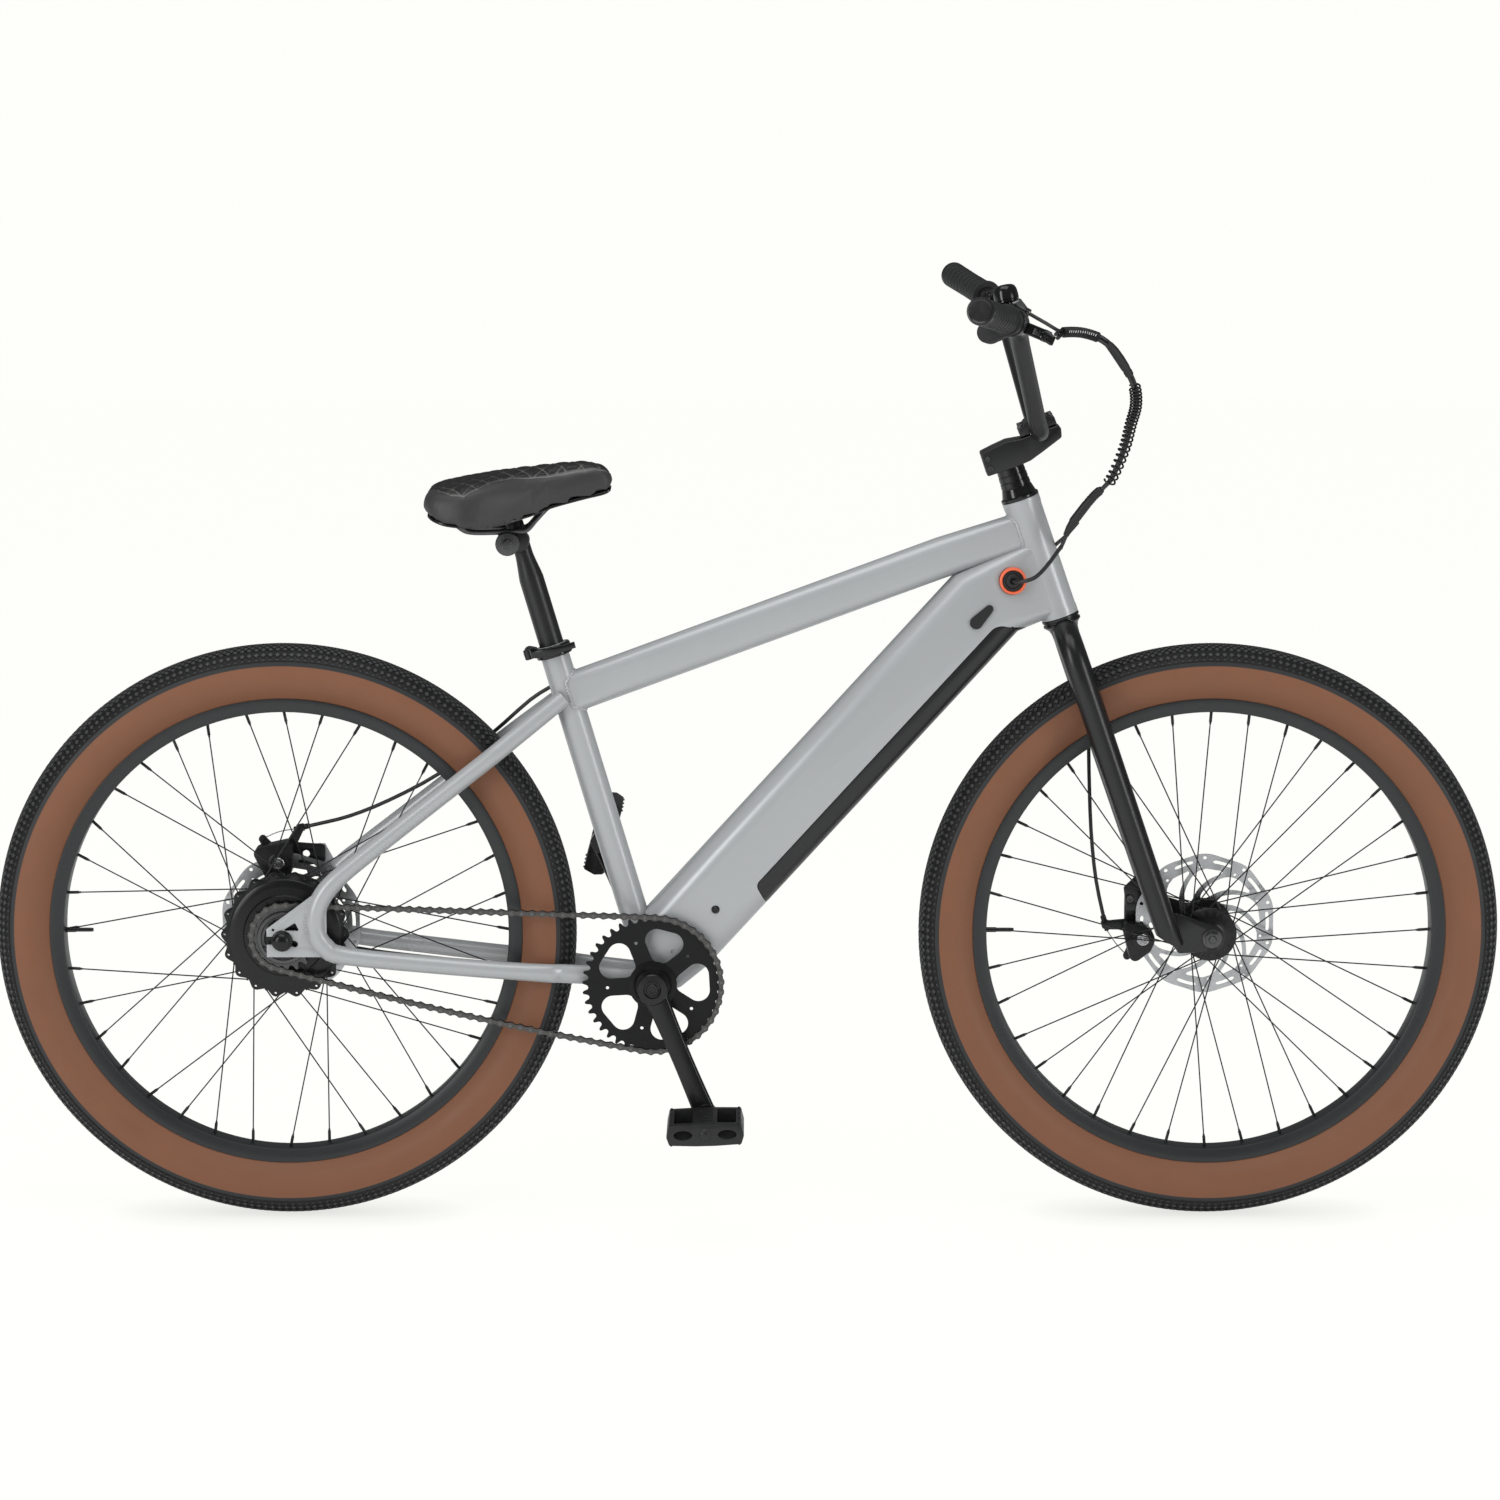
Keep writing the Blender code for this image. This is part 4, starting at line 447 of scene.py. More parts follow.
bpy.context.view_layer.update()
top_run = (top_stations[3][0] - top_stations[2][0]).normalized()
beads = [welded(ring_between(*top_stations[3]), top_run, head_tube)]
top_foot = ring_between(*top_stations[1])
beads.append(welded(top_foot, (top_stations[0][0] - top_stations[1][0]).normalized(), seat_tube))
main_frame = carved(down_tube(), top_tube, seat_tube, head_tube, crank_shell, way="UNION")
port_place = mid(0.326, 0.805)
port_boss = turned(port_place, side_y, mm((0, -10), (16.7, -10), (16.7, -27.4), (0, -27.4)), 48)
pocket_outline = mm((101, -36), (556, -36), (556, 70), (91.2, 70), (108, 24.5))
pocket_corners = [by_down_tube(s, n) - side_y * 0.033 for s, n in pocket_outline]
battery_pocket = plate(pocket_corners, side_y * 0.066)
seam = 0.0245


def battery_window(inset):
    """A block with the side outline of the battery's cover, drawn in by this much."""
    corner = []
    for step in range(7):
        angle = pi / 2 * step / 6
        along = 0.535 - inset + 0.012 * sin(angle)
        corner.append((along + 0.012 * (1.0 - cos(angle)) * 0.35, seam + inset + 0.012 * (1.0 - cos(angle))))
    start, top, foot = 0.1045 + inset, seam + inset, 0.0881 + inset
    outline = []
    for step in range(7):
        t = step / 6
        outline.append((start + 0.007 * (1 - t) ** 2 - 0.0024 * t**2, top + 0.0066 * t**2))
    outline += [(foot, 0.07), (0.5764 - inset * 1.5, 0.07)]
    outline += corner[::-1]
    return plate([by_down_tube(s, n) - side_y * 0.06 for s, n in outline], side_y * 0.12)


main_frame = carved(main_frame, port_boss, way="UNION")
main_frame = carved(
    main_frame, battery_pocket, battery_window(0.0),
    bar(head_bottom - steer_way * 0.02, head_bottom + steer_way * 0.18, 0.0183, 48),
    bar(seat_top - seat_way * 0.285, seat_top + seat_way * 0.03, 0.0155, 48),
    cross_bar(crank_place, -0.05, 0.05, 0.0175, 48), cross_bar(port_place, -0.0274, -0.06, 0.0176, 48),
    bar((-0.0931, -0.05, 0.3412), (-0.0931, -0.033, 0.3412), 0.0028, 20),
)
main_frame = eased(main_frame, 0.0005, 1, 50.0)
main_frame = joined(main_frame, *beads)
fitted(main_frame, "frame_tubes", "frame", frame_grey, "frame_paint", "main_frame", smooth=30.0)
bolt_line = mm(
    (0, -36.8), (5, -37), (5.2, -37.8), (4.6, -38.4), (3.8, -38.5), (3.7, -39.8), (3, -40.4), (2.1, -40.4),
    (1.9, -38.6), (0, -38.6),
)
tube_bolt = turned(mid(-0.0398, 0.395), side_y, bolt_line, 30)
fitted(tube_bolt, "down_tube_bolt", "frame", gloss_black, "dark_steel")

# Rear triangle: on each side one bent tube from the seat tube round to the crank shell, flattened where
# it passes the tyre, with a plate dropout welded inside the bend. Sprayed with the frame.
stay_path = mm(
    (-228, 19, 657), (-250.6, 27.5, 639.5), (-300, 43.5, 600.8), (-325, 48.7, 581.2), (-429.1, 55.5, 500),
    (-490, 61.5, 452.2), (-512, 64, 433), (-526.2, 65.8, 414.5), (-533.5, 67, 393.5), (-533, 67.2, 372),
    (-522, 67.2, 353.5), (-495, 65.5, 341.5), (-360, 56, 326.2), (-255, 46.8, 316.5), (-232, 40, 314.4),
    (-195, 31.5, 310.9), (-125, 25, 304),
)
dropout = mm((-594, 376.5), (-533.5, 421.5), (-520, 400), (-520, 352), (-517.5, 341.5), (-594, 341.5))


def frames_along(path, hint, fixed=False):
    """For each point of a path, the point and two directions square to the path."""
    side = Vector(hint)
    found = []
    for i, point in enumerate(path):
        along = (path[min(i + 1, len(path) - 1)] - path[max(i - 1, 0)]).normalized()
        start = Vector(hint) if fixed else side
        side = (start - along * start.dot(along)).normalized()
        found.append((point, side, along.cross(side)))
    return found


def swept(path, sections, hint, fixed=False):
    """A solid along a path, with one (u, v) section throughout or one for each point."""
    rings = []
    for i, (point, first, second) in enumerate(frames_along(path, hint, fixed)):
        section = sections if isinstance(sections[0], tuple) else sections[i]
        rings.append([point + first * u + second * v for u, v in section])
    return lofted(rings)


def oval(half_u, half_v, sides=24):
    """An ellipse, as (u, v) points."""
    return [(half_u * cos(2 * pi * i / sides), half_v * sin(2 * pi * i / sides)) for i in range(sides)]


def dots(u, v, radius, count=32):
    """Points round a circle."""
    return [(u + radius * cos(2 * pi * i / count), v + radius * sin(2 * pi * i / count)) for i in range(count)]


def hull(points):
    """The convex outline round these points."""
    ordered = sorted(set((round(u, 7), round(v, 7)) for u, v in points))
    outline = []
    for run in (ordered, ordered[::-1]):
        line = []
        for u, v in run:
            while len(line) > 1:
                (au, av), (bu, bv) = line[-2:]
                if (bu - au) * (v - av) - (bv - av) * (u - au) > 1e-12:
                    break
                line.pop()
            line.append((u, v))
        outline += line[:-1]
    return outline


def strap(*circles):
    """The outline of a strap pulled tight round circles of (u, v, radius) and perhaps a number of corners."""
    return hull([point for circle in circles for point in dots(*circle)])


for side, hand in ((-1, "right"), (1, "left")):
    path = smooth_line([(x, y * side, z) for x, y, z in stay_path], 4)
    sections = []
    for point in path:
        squeeze = min(1.0, max(0.0, (point.x + 0.285) / 0.05)) if point.z < 0.33 else 0.0
        bend = min(1.0, max(0.0, (-0.49 - point.x) / 0.03))
        across = 0.011 - 0.0028 * squeeze + 0.0012 * bend
        high = 0.011 + 0.001 * squeeze + 0.0012 * bend
        sections.append(oval(across, high))
    stay = swept(path, sections, side_y, fixed=True)
    near, far = sorted((0.0645 * side, 0.0705 * side))
    leaf = sheet(dropout, near, 0.006)
    if side > 0:
        tab = mm((-519, 433), (-533, 459), (-548, 459), (-548, 434), (-528, 415))
        leaf = carved(leaf, sheet(tab, near, 0.006), way="UNION")
        for height in (0.441, 0.454):
            leaf = carved(leaf, bar((-0.54, 0.05, height), (-0.54, 0.09, height), 0.0031))
    slot = hull(dots(-0.575, 0.362, 0.0053, 24) + [(-0.62, 0.3567), (-0.62, 0.3673)])
    eye = strap((-0.5705, 0.3757, 0.0014, 12), (-0.5592, 0.3828, 0.0014, 12), (-0.5556, 0.3757, 0.0014, 12))
    second = strap((-0.57, 0.3605, 0.0042, 16), (-0.5595, 0.3578, 0.0042, 16))
    leaf = carved(
        leaf, sheet(slot, near - 0.01, 0.026), sheet(eye, near - 0.01, 0.026), sheet(second, near - 0.01, 0.026),
        bar((-0.5858, near - 0.01, 0.3757), (-0.5858, far + 0.01, 0.3757), 0.0018, 16),
    )
    leaf = eased(leaf, 0.0009)
    stay = carved(
        stay, bar(seat_top - seat_way * 0.2, seat_top + seat_way * 0.1, 0.0181, 48),
        cross_bar(crank_place, -0.06, 0.06, 0.0228, 48),
    )
    seam_path = [point + ahead_x * -0.0118 for point in path if point.x < -0.515]
    seam_path = [Vector((point.x, 0.07 * side, point.z)) for point in seam_path if 0.35 < point.z < 0.422]
    ripples = []
    for before, after in zip(seam_path, seam_path[1:]):
        ripples += [before.lerp(after, step / 8) for step in range(8)]
    ripple_radii = [0.0017 + 0.0005 * cos(2 * pi * i / 6) for i in range(len(ripples))]
    stay = joined(stay, leaf, tube(ripples, ripple_radii, 12))
    fitted(stay, f"stay_{hand}_tube", "frame", frame_grey, "frame_paint", f"stay_{hand}", smooth=40.0)

# Wheels: tan-walled fat tyres on black box rims. The tread is a belt of small black diamonds cut by
# criss-cross grooves, with painted shade in the grooves; the casing under it is brown up to a smooth black
# shoulder.
tyre_wall = coat("tyre_wall", (0.178, 0.071, 0.034), (0.208, 0.085, 0.042), 0.55, 0.0, 22.0, 0.06, 500.0, 0.12, 0.4)


def wall_finish(name, centre):
    """Joins up the casing's finish: where the radius is outside the brown band, the rubber is black."""
    made = tyre_wall.copy()
    made.name = name
    tree = made.node_tree
    base = tree.nodes["Principled BSDF"].inputs["Base Color"]
    place = [each for each in tree.nodes if each.type == "TEX_COORD"][0].outputs["Object"]
    middle = {"Vector": place, "Location": (-centre.x, 0.0, -centre.z), "Scale": (1.0, 0.0, 1.0)}
    flat_place = shading(tree, "Mapping", middle)["Vector"]
    reach = shading(tree, "VectorMath", {0: flat_place}, operation="LENGTH")["Value"]
    height = shading(tree, "MapRange", {"Value": reach, "From Min": 0.29, "From Max": 0.3625})[0]
    bands = tree.nodes.new("ShaderNodeValToRGB")
    for position, level in ((0.03, 1.0), (0.045, 1.0), (0.055, 0.0), (0.644, 0.0), (0.652, 1.0)):
        bands.color_ramp.elements.new(position).color = (level, level, level, 1.0)
    tree.links.new(height, bands.inputs["Fac"])
    rubber = {0: bands.outputs["Color"], 6: base.links[0].from_socket, 7: (0.024, 0.025, 0.026, 1.0)}
    tree.links.new(shading(tree, "Mix", rubber, data_type="RGBA")[2], base)
    return made


casing_half = mm(
    (293.5, 16.6), (297, 19.5), (304, 25.8), (312, 30.3), (319, 32.4), (326, 32.9), (333, 32.2), (336.5, 31.5),
    (337.8, 31.6), (342, 30), (347, 26.3), (352, 20.8), (356, 14), (358.2, 7),
)
casing_line = [(0.29, 0.013)] + casing_half + [(0.3588, 0.0)]
casing_line += mirrored(casing_half) + [(0.29, -0.013)]
casing = turned(front_axle_place, side_y, casing_line, 220, ring=True)

belt_half = mm((342.8, 30.3), (347.9, 26.6), (352.9, 21), (357, 14.1), (359.2, 7), (359.8, 0))
belt_line = belt_half + mirrored(belt_half[:-1])
belt_steps = [0.0]
for before, after in zip(belt_line, belt_line[1:]):
    belt_steps.append(belt_steps[-1] + ((after[0] - before[0]) ** 2 + (after[1] - before[1]) ** 2) ** 0.5)


def on_belt(share):
    """The (radius, along) point this share of the way across the tread."""
    want = share * belt_steps[-1]
    for i in range(len(belt_line) - 1):
        if want <= belt_steps[i + 1] + 1e-9:
            part = (want - belt_steps[i]) / (belt_steps[i + 1] - belt_steps[i])
            radius = belt_line[i][0] + (belt_line[i + 1][0] - belt_line[i][0]) * part
            return radius, belt_line[i][1] + (belt_line[i + 1][1] - belt_line[i][1]) * part
    return belt_line[-1]


def on_circle(centre, radius, angle):
    """A point on a circle that stands in the bike's plane."""
    return centre + ahead_x * (radius * cos(angle)) + up_z * (radius * sin(angle))


bpy.ops.object.select_all(action="DESELECT")
bpy.ops.mesh.primitive_grid_add(x_subdivisions=252, y_subdivisions=8, size=2.0)
belt = bpy.context.object
lattice = len(belt.data.vertices)
bpy.ops.object.mode_set(mode="EDIT")
bpy.ops.mesh.select_all(action="SELECT")
bpy.ops.mesh.poke()
bpy.ops.mesh.select_mode(type="EDGE")
bpy.ops.mesh.select_all(action="DESELECT")
shape = bmesh.from_edit_mesh(belt.data)
for edge in shape.edges:
    if not edge.is_boundary and all(vertex.index < lattice for vertex in edge.verts):
        edge.select = True
bmesh.update_edit_mesh(belt.data)
bpy.ops.mesh.dissolve_edges(use_verts=False)
bpy.ops.mesh.select_mode(type="VERT")
shape = bmesh.from_edit_mesh(belt.data)
for vertex in shape.verts:
    radius, along = on_belt((vertex.co.y + 1.0) / 2.0)
    vertex.co = on_circle(front_axle_place + side_y * along, radius, pi * vertex.co.x)
bmesh.update_edit_mesh(belt.data)
settled()
only(belt)
bpy.ops.object.mode_set(mode="EDIT")
bpy.ops.mesh.select_all(action="SELECT")
shape = bmesh.from_edit_mesh(belt.data)
shape.faces.ensure_lookup_table()
outward = shape.faces[0].calc_center_median() - front_axle_place
outward.y = 0.0
if shape.faces[0].normal.dot(outward) < 0.0:
    bpy.ops.mesh.flip_normals()
bpy.ops.object.mode_set(mode="OBJECT")
wall = belt.modifiers.new("wall", "SOLIDIFY")
wall.thickness = 0.0014
wall.offset = -1.0
bpy.ops.object.modifier_apply(modifier="wall")
bpy.ops.object.mode_set(mode="EDIT")
bpy.ops.mesh.select_mode(type="FACE")
bpy.ops.mesh.select_all(action="DESELECT")
shape = bmesh.from_edit_mesh(belt.data)
for face in shape.faces:
    away = face.calc_center_median() - front_axle_place
    reach = (away.x**2 + away.z**2) ** 0.5
    share = min(range(41), key=lambda i: abs(on_belt(i / 40)[1] - away.y)) / 40
    face.select = len(face.verts) > 2 and reach > on_belt(share)[0] - 0.0006 and abs(away.y) < 0.03
bmesh.update_edit_mesh(belt.data)
bpy.ops.mesh.inset(use_individual=True, thickness=0.001, depth=0.0018)
bpy.ops.object.mode_set(mode="OBJECT")
belt.data.update()
# Marks the raised knob tops; every other face of the tread takes painted shade.
unshaded_knob_tops = belt.data.attributes.new("top", "FLOAT", "FACE")
for face in belt.data.polygons:
    unshaded_knob_tops.data[face.index].value = 1.0 if face.select else 0.0
bpy.ops.object.mode_set(mode="EDIT")
bpy.ops.mesh.select_mode(type="VERT")
bpy.ops.object.mode_set(mode="OBJECT")


def marked(finish, attribute, colour, under=False):
    """Lets a painted attribute of the piece change a finish: towards this colour, or up from it."""
    tree = finish.node_tree
    base = tree.nodes["Principled BSDF"].inputs["Base Color"]
    share = shading(tree, "Attribute", {}, attribute_name=attribute)["Fac"]
    own, added = (7, 6) if under else (6, 7)
    mixed = {0: share, own: base.links[0].from_socket, added: (*colour, 1.0)}
    tree.links.new(shading(tree, "Mix", mixed, data_type="RGBA")[2], base)
    return finish


tread_painted_groove_shade = coat(
    "tread_painted_groove_shade", (0.034, 0.035, 0.036), (0.05, 0.051, 0.053), 0.58, 0.0, 60.0, 0.06, 1200.0, 0.2, 0.45,
)
# Painted shade: every tread face but the raised knob tops, so the grooves and the knobs' sides, is painted a far
# darker black than the tops.
marked(tread_painted_groove_shade, "top", (0.0045, 0.0045, 0.0046), under=True)
rim_black = coat("rim_black", (0.014, 0.0155, 0.0165), (0.019, 0.0205, 0.0215), 0.42, 0.0, 9.0, 0.03, 1800.0, 0.05)
rim_half = mm(
    (277, 13), (277.6, 15.5), (279, 16.6), (288, 18.2), (293, 18.8), (294.4, 18.4), (294.4, 17.2), (290, 16.6),
    (289, 12),
)
rim = turned(front_axle_place, side_y, rim_half + mirrored(rim_half), 180, ring=True)
nozzle = turned(
    front_axle_place + mid(-0.2765, 0.0), ahead_x,
    mm((0, 34), (2.2, 34), (2.6, 30), (2.6, 12), (3.2, 12), (3.2, -2), (0, -2)), 20,
)


def copied(piece, shift=(0.0, 0.0, 0.0), turn=0.0, centre=(0.0, 0.0, 0.0)):
    """A copy with its own mesh, turned about a cross axle through a centre and then moved."""
    only(piece)
    bpy.ops.object.duplicate()
    twin = bpy.context.object
    bpy.ops.object.mode_set(mode="EDIT")
    bpy.ops.mesh.select_all(action="SELECT")
    if turn:
        bpy.ops.transform.rotate(value=turn, orient_axis="Y", orient_type="GLOBAL", center_override=centre)
    bpy.ops.transform.translate(value=shift)
    bpy.ops.object.mode_set(mode="OBJECT")
    return twin


def ringed(piece, count, centre):
    """The piece and its copies, spaced evenly round a centre and made one."""
    return joined(piece, *[copied(piece, turn=2 * pi * i / count, centre=centre) for i in range(1, count)])


to_rear = rear_axle_place - front_axle_place
for end, centre, tyre, tread, hoop, valve in (
    ("front", front_axle_place, casing, belt, rim, nozzle),
    ("rear", rear_axle_place, *[copied(piece, to_rear) for piece in (casing, belt, rim, nozzle)]),
):
    wheel = f"{end}_wheel"
    fitted(tyre, f"{end}_casing", wheel, wall_finish(f"{end}_wall", centre), "tyre_rubber", f"{end}_tyre")
    fitted(tread, f"{end}_tread", wheel, tread_painted_groove_shade, "tyre_rubber", f"{end}_tyre", smooth=20.0)
    fitted(hoop, f"{end}_rim_hoop", wheel, rim_black, "black_paint", f"{end}_rim")
    fitted(valve, f"{end}_valve", wheel, gloss_black, "black_rubber")

# Spokes: 36 black wires a wheel, 18 to a side, hooked in the hub's flanges, crossed, and screwed into
# the rim with short black nipples.
wire_black = coat("wire_black", (0.02, 0.02, 0.021), (0.028, 0.028, 0.029), 0.35, 0.6, 40.0, 0.05, 900.0, 0.02)


def spoke_set(axle, hub_radii, flange_y, lean):
    """One wire leaning each way, with its nipple, copied round the hub on both sides."""
    wires = []
    for side in (-1, 1):
        for way in (-1, 1):
            start = radians((10 if side > 0 else 0) + (20 if way > 0 else 0))
            end = start + radians(lean) * way
            reach = hub_radii[0] if side < 0 else hub_radii[1]
            foot = axle + Vector((reach * sin(start), flange_y * side + 0.0012 * way, -reach * cos(start)))
            tip = axle + Vector((0.2772 * sin(end), 0.004 * side, -0.2772 * cos(end)))
            back = (foot - tip).normalized()
            wire = joined(
                bar(foot, tip, 0.00085, 8), bar(tip, tip + back * 0.014, 0.0019, 10),
                bar(tip + back * 0.014, tip + back * 0.0165, 0.0013, 10),
                bar(foot - side_y * (0.003 * way), foot + side_y * (0.0022 * way), 0.0012, 8),
            )
            wires.append(wire)
            for i in range(1, 9):
                wires.append(copied(wire, turn=2 * pi * i / 9, centre=axle))
    return joined(*wires)


front_wires = spoke_set(front_axle_place, (0.027, 0.027), 0.029, 60)
rear_wires = spoke_set(rear_axle_place, (0.0745, 0.0595), 0.0285, 40)
fitted(front_wires, "front_spokes", "front_wheel", wire_black, "bare_steel", "front_hub")
fitted(rear_wires, "rear_spokes", "rear_wheel", wire_black, "bare_steel", "motor_shell")

# Front hub: a black alloy shell turned from bar, with a drilled flange on each side for the spokes and a
# six-bolt seat on the left for the brake disc. It spins on the fixed axle.
hub_black = coat("hub_black", (0.006, 0.0062, 0.0066), (0.01, 0.01, 0.0105), 0.28, 0.3, 35.0, 0.05, 900.0, 0.03)
hub_line = mm(
    (6.2, -44), (12, -44), (13.5, -43), (13.5, -40), (16.5, -38.5), (16.5, -34.5), (23, -32), (32.5, -31.5),
    (33.3, -30.6), (33.3, -27.6), (32.5, -26.8), (23, -26.2), (16.5, -20), (15, -10), (15, 10), (16.5, 20),
    (23, 26.2), (32.5, 26.8), (33.3, 27.6), (33.3, 30.6), (32.5, 31.5), (24, 32.2), (22.5, 35), (22.5, 40),
    (14, 40), (12, 44), (6.2, 44),
)
hub = turned(front_axle_place, side_y, hub_line, 72, ring=True)
drill = cross_bar(front_axle_place - up_z * 0.027, -0.05, 0.034, 0.0015, 10)
hub = carved(hub, ringed(drill, 18, front_axle_place))
fitted(hub, "front_hub_shell", "front_wheel", hub_black, "gloss_black_paint", "front_hub")

# Brake discs: stamped from stainless steel sheet, with a wavy edge, swept arms and drilled slots. Six small
# steel bolts screw each one to its hub.
disc_steel = coat("disc_steel", (0.46, 0.47, 0.48), (0.56, 0.57, 0.58), 0.3, 1.0, 18.0, 0.05, 1500.0, 0.06)


def brake_disc(centre):
    """A blank with a wavy rim, its openings punched out."""
    outline = []
    for i in range(360):
        angle = 2 * pi * i / 360
        reach = 0.0876 + 0.0012 * cos(10 * (angle - radians(18.4)))
        outline.append(on_circle(centre, reach, angle) - side_y * 0.0009)
    blank = plate(outline, side_y * 0.0018)
    punches = []
    inner = []
    outer = []
    for i in range(17):
        share = i / 16
        reach = 0.0325 + 0.0375 * share
        middle = 18 - 48 * share
        half = (11.0 + 4.0 * share) * (1 - 0.45 * abs(2 * share - 1) ** 9)
        inner.append((reach, radians(middle - half)))
        outer.append((reach, radians(middle + half)))
    window = [(r * cos(a), r * sin(a)) for r, a in inner + outer[::-1]]
    long_slot = []
    for way in (1, -1):
        for i in range(11):
            angle = radians((i - 5) * 1.75 * way)
            reach = 0.0792 + 0.0021 * way * (1.0 if 0 < i < 10 else 0.5)
            long_slot.append((reach * cos(angle), reach * sin(angle)))
    for shape_line, first in ((window, 2.6), (long_slot, 2.0)):
        for i in range(10):
            turn = radians(first + 36 * i)
            corners = []
            for u, v in shape_line:
                corners.append(
                    centre + ahead_x * (u * cos(turn) - v * sin(turn)) + up_z * (u * sin(turn) + v * cos(turn)),
                )
            punches.append(plate([corner - side_y * 0.004 for corner in corners], side_y * 0.008))
    for reach, first, size in ((0.0836, 18.4, 0.0023), (0.0722, 22.9, 0.0018)):
        for i in range(10):
            spot = on_circle(centre, reach, radians(first + 36 * i))
            punches.append(cross_bar(spot, -0.004, 0.004, size, 12))
    for i in range(6):
        punches.append(cross_bar(on_circle(centre, 0.0218, 2 * pi * i / 6), -0.004, 0.004, 0.0026, 14))
    punches.append(cross_bar(centre, -0.004, 0.004, 0.0165, 48))
    return carved(blank, joined(*punches))


front_disc = brake_disc(front_axle_place + side_y * 0.0412)
rear_disc = copied(front_disc, to_rear + side_y * 0.007)
disc_bolt = turned(
    front_axle_place + Vector((0.0218, 0.0421, 0.0)), side_y,
    mm((0, -1), (2.5, -1), (3.6, 0), (3.6, 1.4), (2.6, 2.2), (1.3, 2.2), (1.2, 1), (0, 1)), 18,
)
disc_bolts = ringed(disc_bolt, 6, front_axle_place)
rear_disc_bolts = copied(disc_bolts, to_rear + side_y * 0.007)
bolt_steel = coat("bolt_steel", (0.36, 0.36, 0.37), (0.5, 0.5, 0.51), 0.25, 1.0, 80.0, 0.06, 900.0, 0.04)
dark_steel = coat("dark_steel", (0.075, 0.075, 0.077), (0.135, 0.135, 0.137), 0.34, 0.9, 70.0, 0.08, 900.0, 0.06)
for end, disc, bolts in (("front", front_disc, disc_bolts), ("rear", rear_disc, rear_disc_bolts)):
    fitted(disc, f"{end}_brake_disc", f"{end}_wheel", disc_steel, "bare_steel", f"{end}_rotor")
    fitted(bolts, f"{end}_disc_bolts", f"{end}_wheel", dark_steel, "dark_steel")

# Hub motor: a black cast alloy drum between two scalloped flanges that carry the spokes, with a stepped and
# ribbed cover at each end. It turns on the fixed rear axle.
drum_line = mm(
    (7.8, -56), (22.2, -56), (23, -55.2), (23, -40), (33, -39.8), (50, -38.5), (51.2, -37.2), (52, -35.2),
    (60, -34.5), (68, -33.8), (70, -32.2), (71.5, -27), (71.5, 8), (69, 13), (63, 18), (60.5, 25), (59, 30),
    (56, 31.8), (52, 33), (50.5, 34.8), (45, 35.6), (33, 36), (24.8, 36.2), (24, 37), (24, 47), (7.8, 47),
)
drum = turned(rear_axle_place, side_y, drum_line, 120, ring=True)
flanges = []
for low, inward in ((-0.032, 0.0), (0.0252, 0.015)):
    lobes = []
    for i in range(216):
        angle = 2 * pi * i / 216
        reach = 0.0768 - inward + 0.0032 * sin(18 * angle + (pi / 2))
        lobes.append(on_circle(rear_axle_place, reach, angle) + side_y * low)
    flange = plate(lobes, side_y * 0.0048)
    flange = eased(flange, 0.0009, 2, 60.0)
    drill = cross_bar(rear_axle_place + ahead_x * (0.0755 - inward), low - 0.01, low + 0.01, 0.0016, 10)
    flanges.append(carved(flange, ringed(drill, 18, rear_axle_place)))
fin_outline = mm((26, -1.2), (48.5, -1.6), (48.5, 1.6), (26, 1.2))
fin = plate([rear_axle_place + Vector((x, -0.0389, z)) for x, z in fin_outline], side_y * -0.0013)
drum = joined(drum, *flanges, ringed(fin, 18, rear_axle_place))
fitted(drum, "motor_drum", "rear_wheel", hub_black, "black_paint", "motor_shell")

# Fork: black painted steel, welded. Two straight legs are cut off slantwise over flat dropouts, under a
# turned crown and a straight steerer that runs up through the head tube.
leg_stations = mm((10, 16), (26, 21), (43, 33), (53, 52), (57, 78), (57, 430))
legs = []
for side in (-1, 1):
    path = [head_bottom - steer_way * t + side_y * (y * side) for y, t in leg_stations]
    bend = smooth_line(path[:5], 6)
    run = [path[4].lerp(path[5], step / 12) for step in range(1, 13)]
    radii = [0.015 + 0.0008 * min(1.0, i / 8) for i in range(len(bend))]
    radii += [0.0158 - 0.0012 * step / 12 for step in range(1, 13)]
    leg = tube(bend + run, radii, 32)
    foot = mm((480, 381.5), (600, 313.5), (600, 250), (480, 250))
    leg = carved(leg, sheet(foot, -0.1, 0.2))
    leg = eased(leg, 0.0008, 2, 50.0)
    near, far = sorted((0.05 * side, 0.056 * side))
    outline = strap(
        (0.575, 0.362, 0.016), (0.53, 0.389, 0.004, 12), (0.524, 0.365, 0.004, 12), (0.536, 0.347, 0.004, 12),
    )
    leaf = sheet(outline, near, 0.006)
    slot = hull(dots(0.575, 0.362, 0.0052, 20) + [(0.5698, 0.33), (0.5802, 0.33)])
    leaf = eased(carved(leaf, sheet(slot, near - 0.01, 0.026)), 0.0008)
    legs += [leg, leaf]
crown_line = mm(
    (0, -10), (17.8, -10), (17.8, 0.4), (22.8, 0.4), (23.6, 1.4), (23.6, 3.6), (22.2, 4.6), (22.2, 6), (23.6, 7),
    (23.6, 9.4), (22.2, 10.6), (19, 14), (17.2, 19), (16.3, 30), (15, 34.5), (0, 36),
)
crown = turned(head_bottom, -steer_way, crown_line, 64)
steerer = bar(head_bottom, head_bottom + steer_way * (head_length + 0.068), 0.0142, 48)
caliper_tab = strap(
    (0.505, 0.379, 0.003, 12), (0.4895, 0.418, 0.003, 12), (0.4765, 0.405, 0.003, 12), (0.48, 0.379, 0.003, 12),
)
caliper_tab = sheet(caliper_tab, 0.048, 0.005)
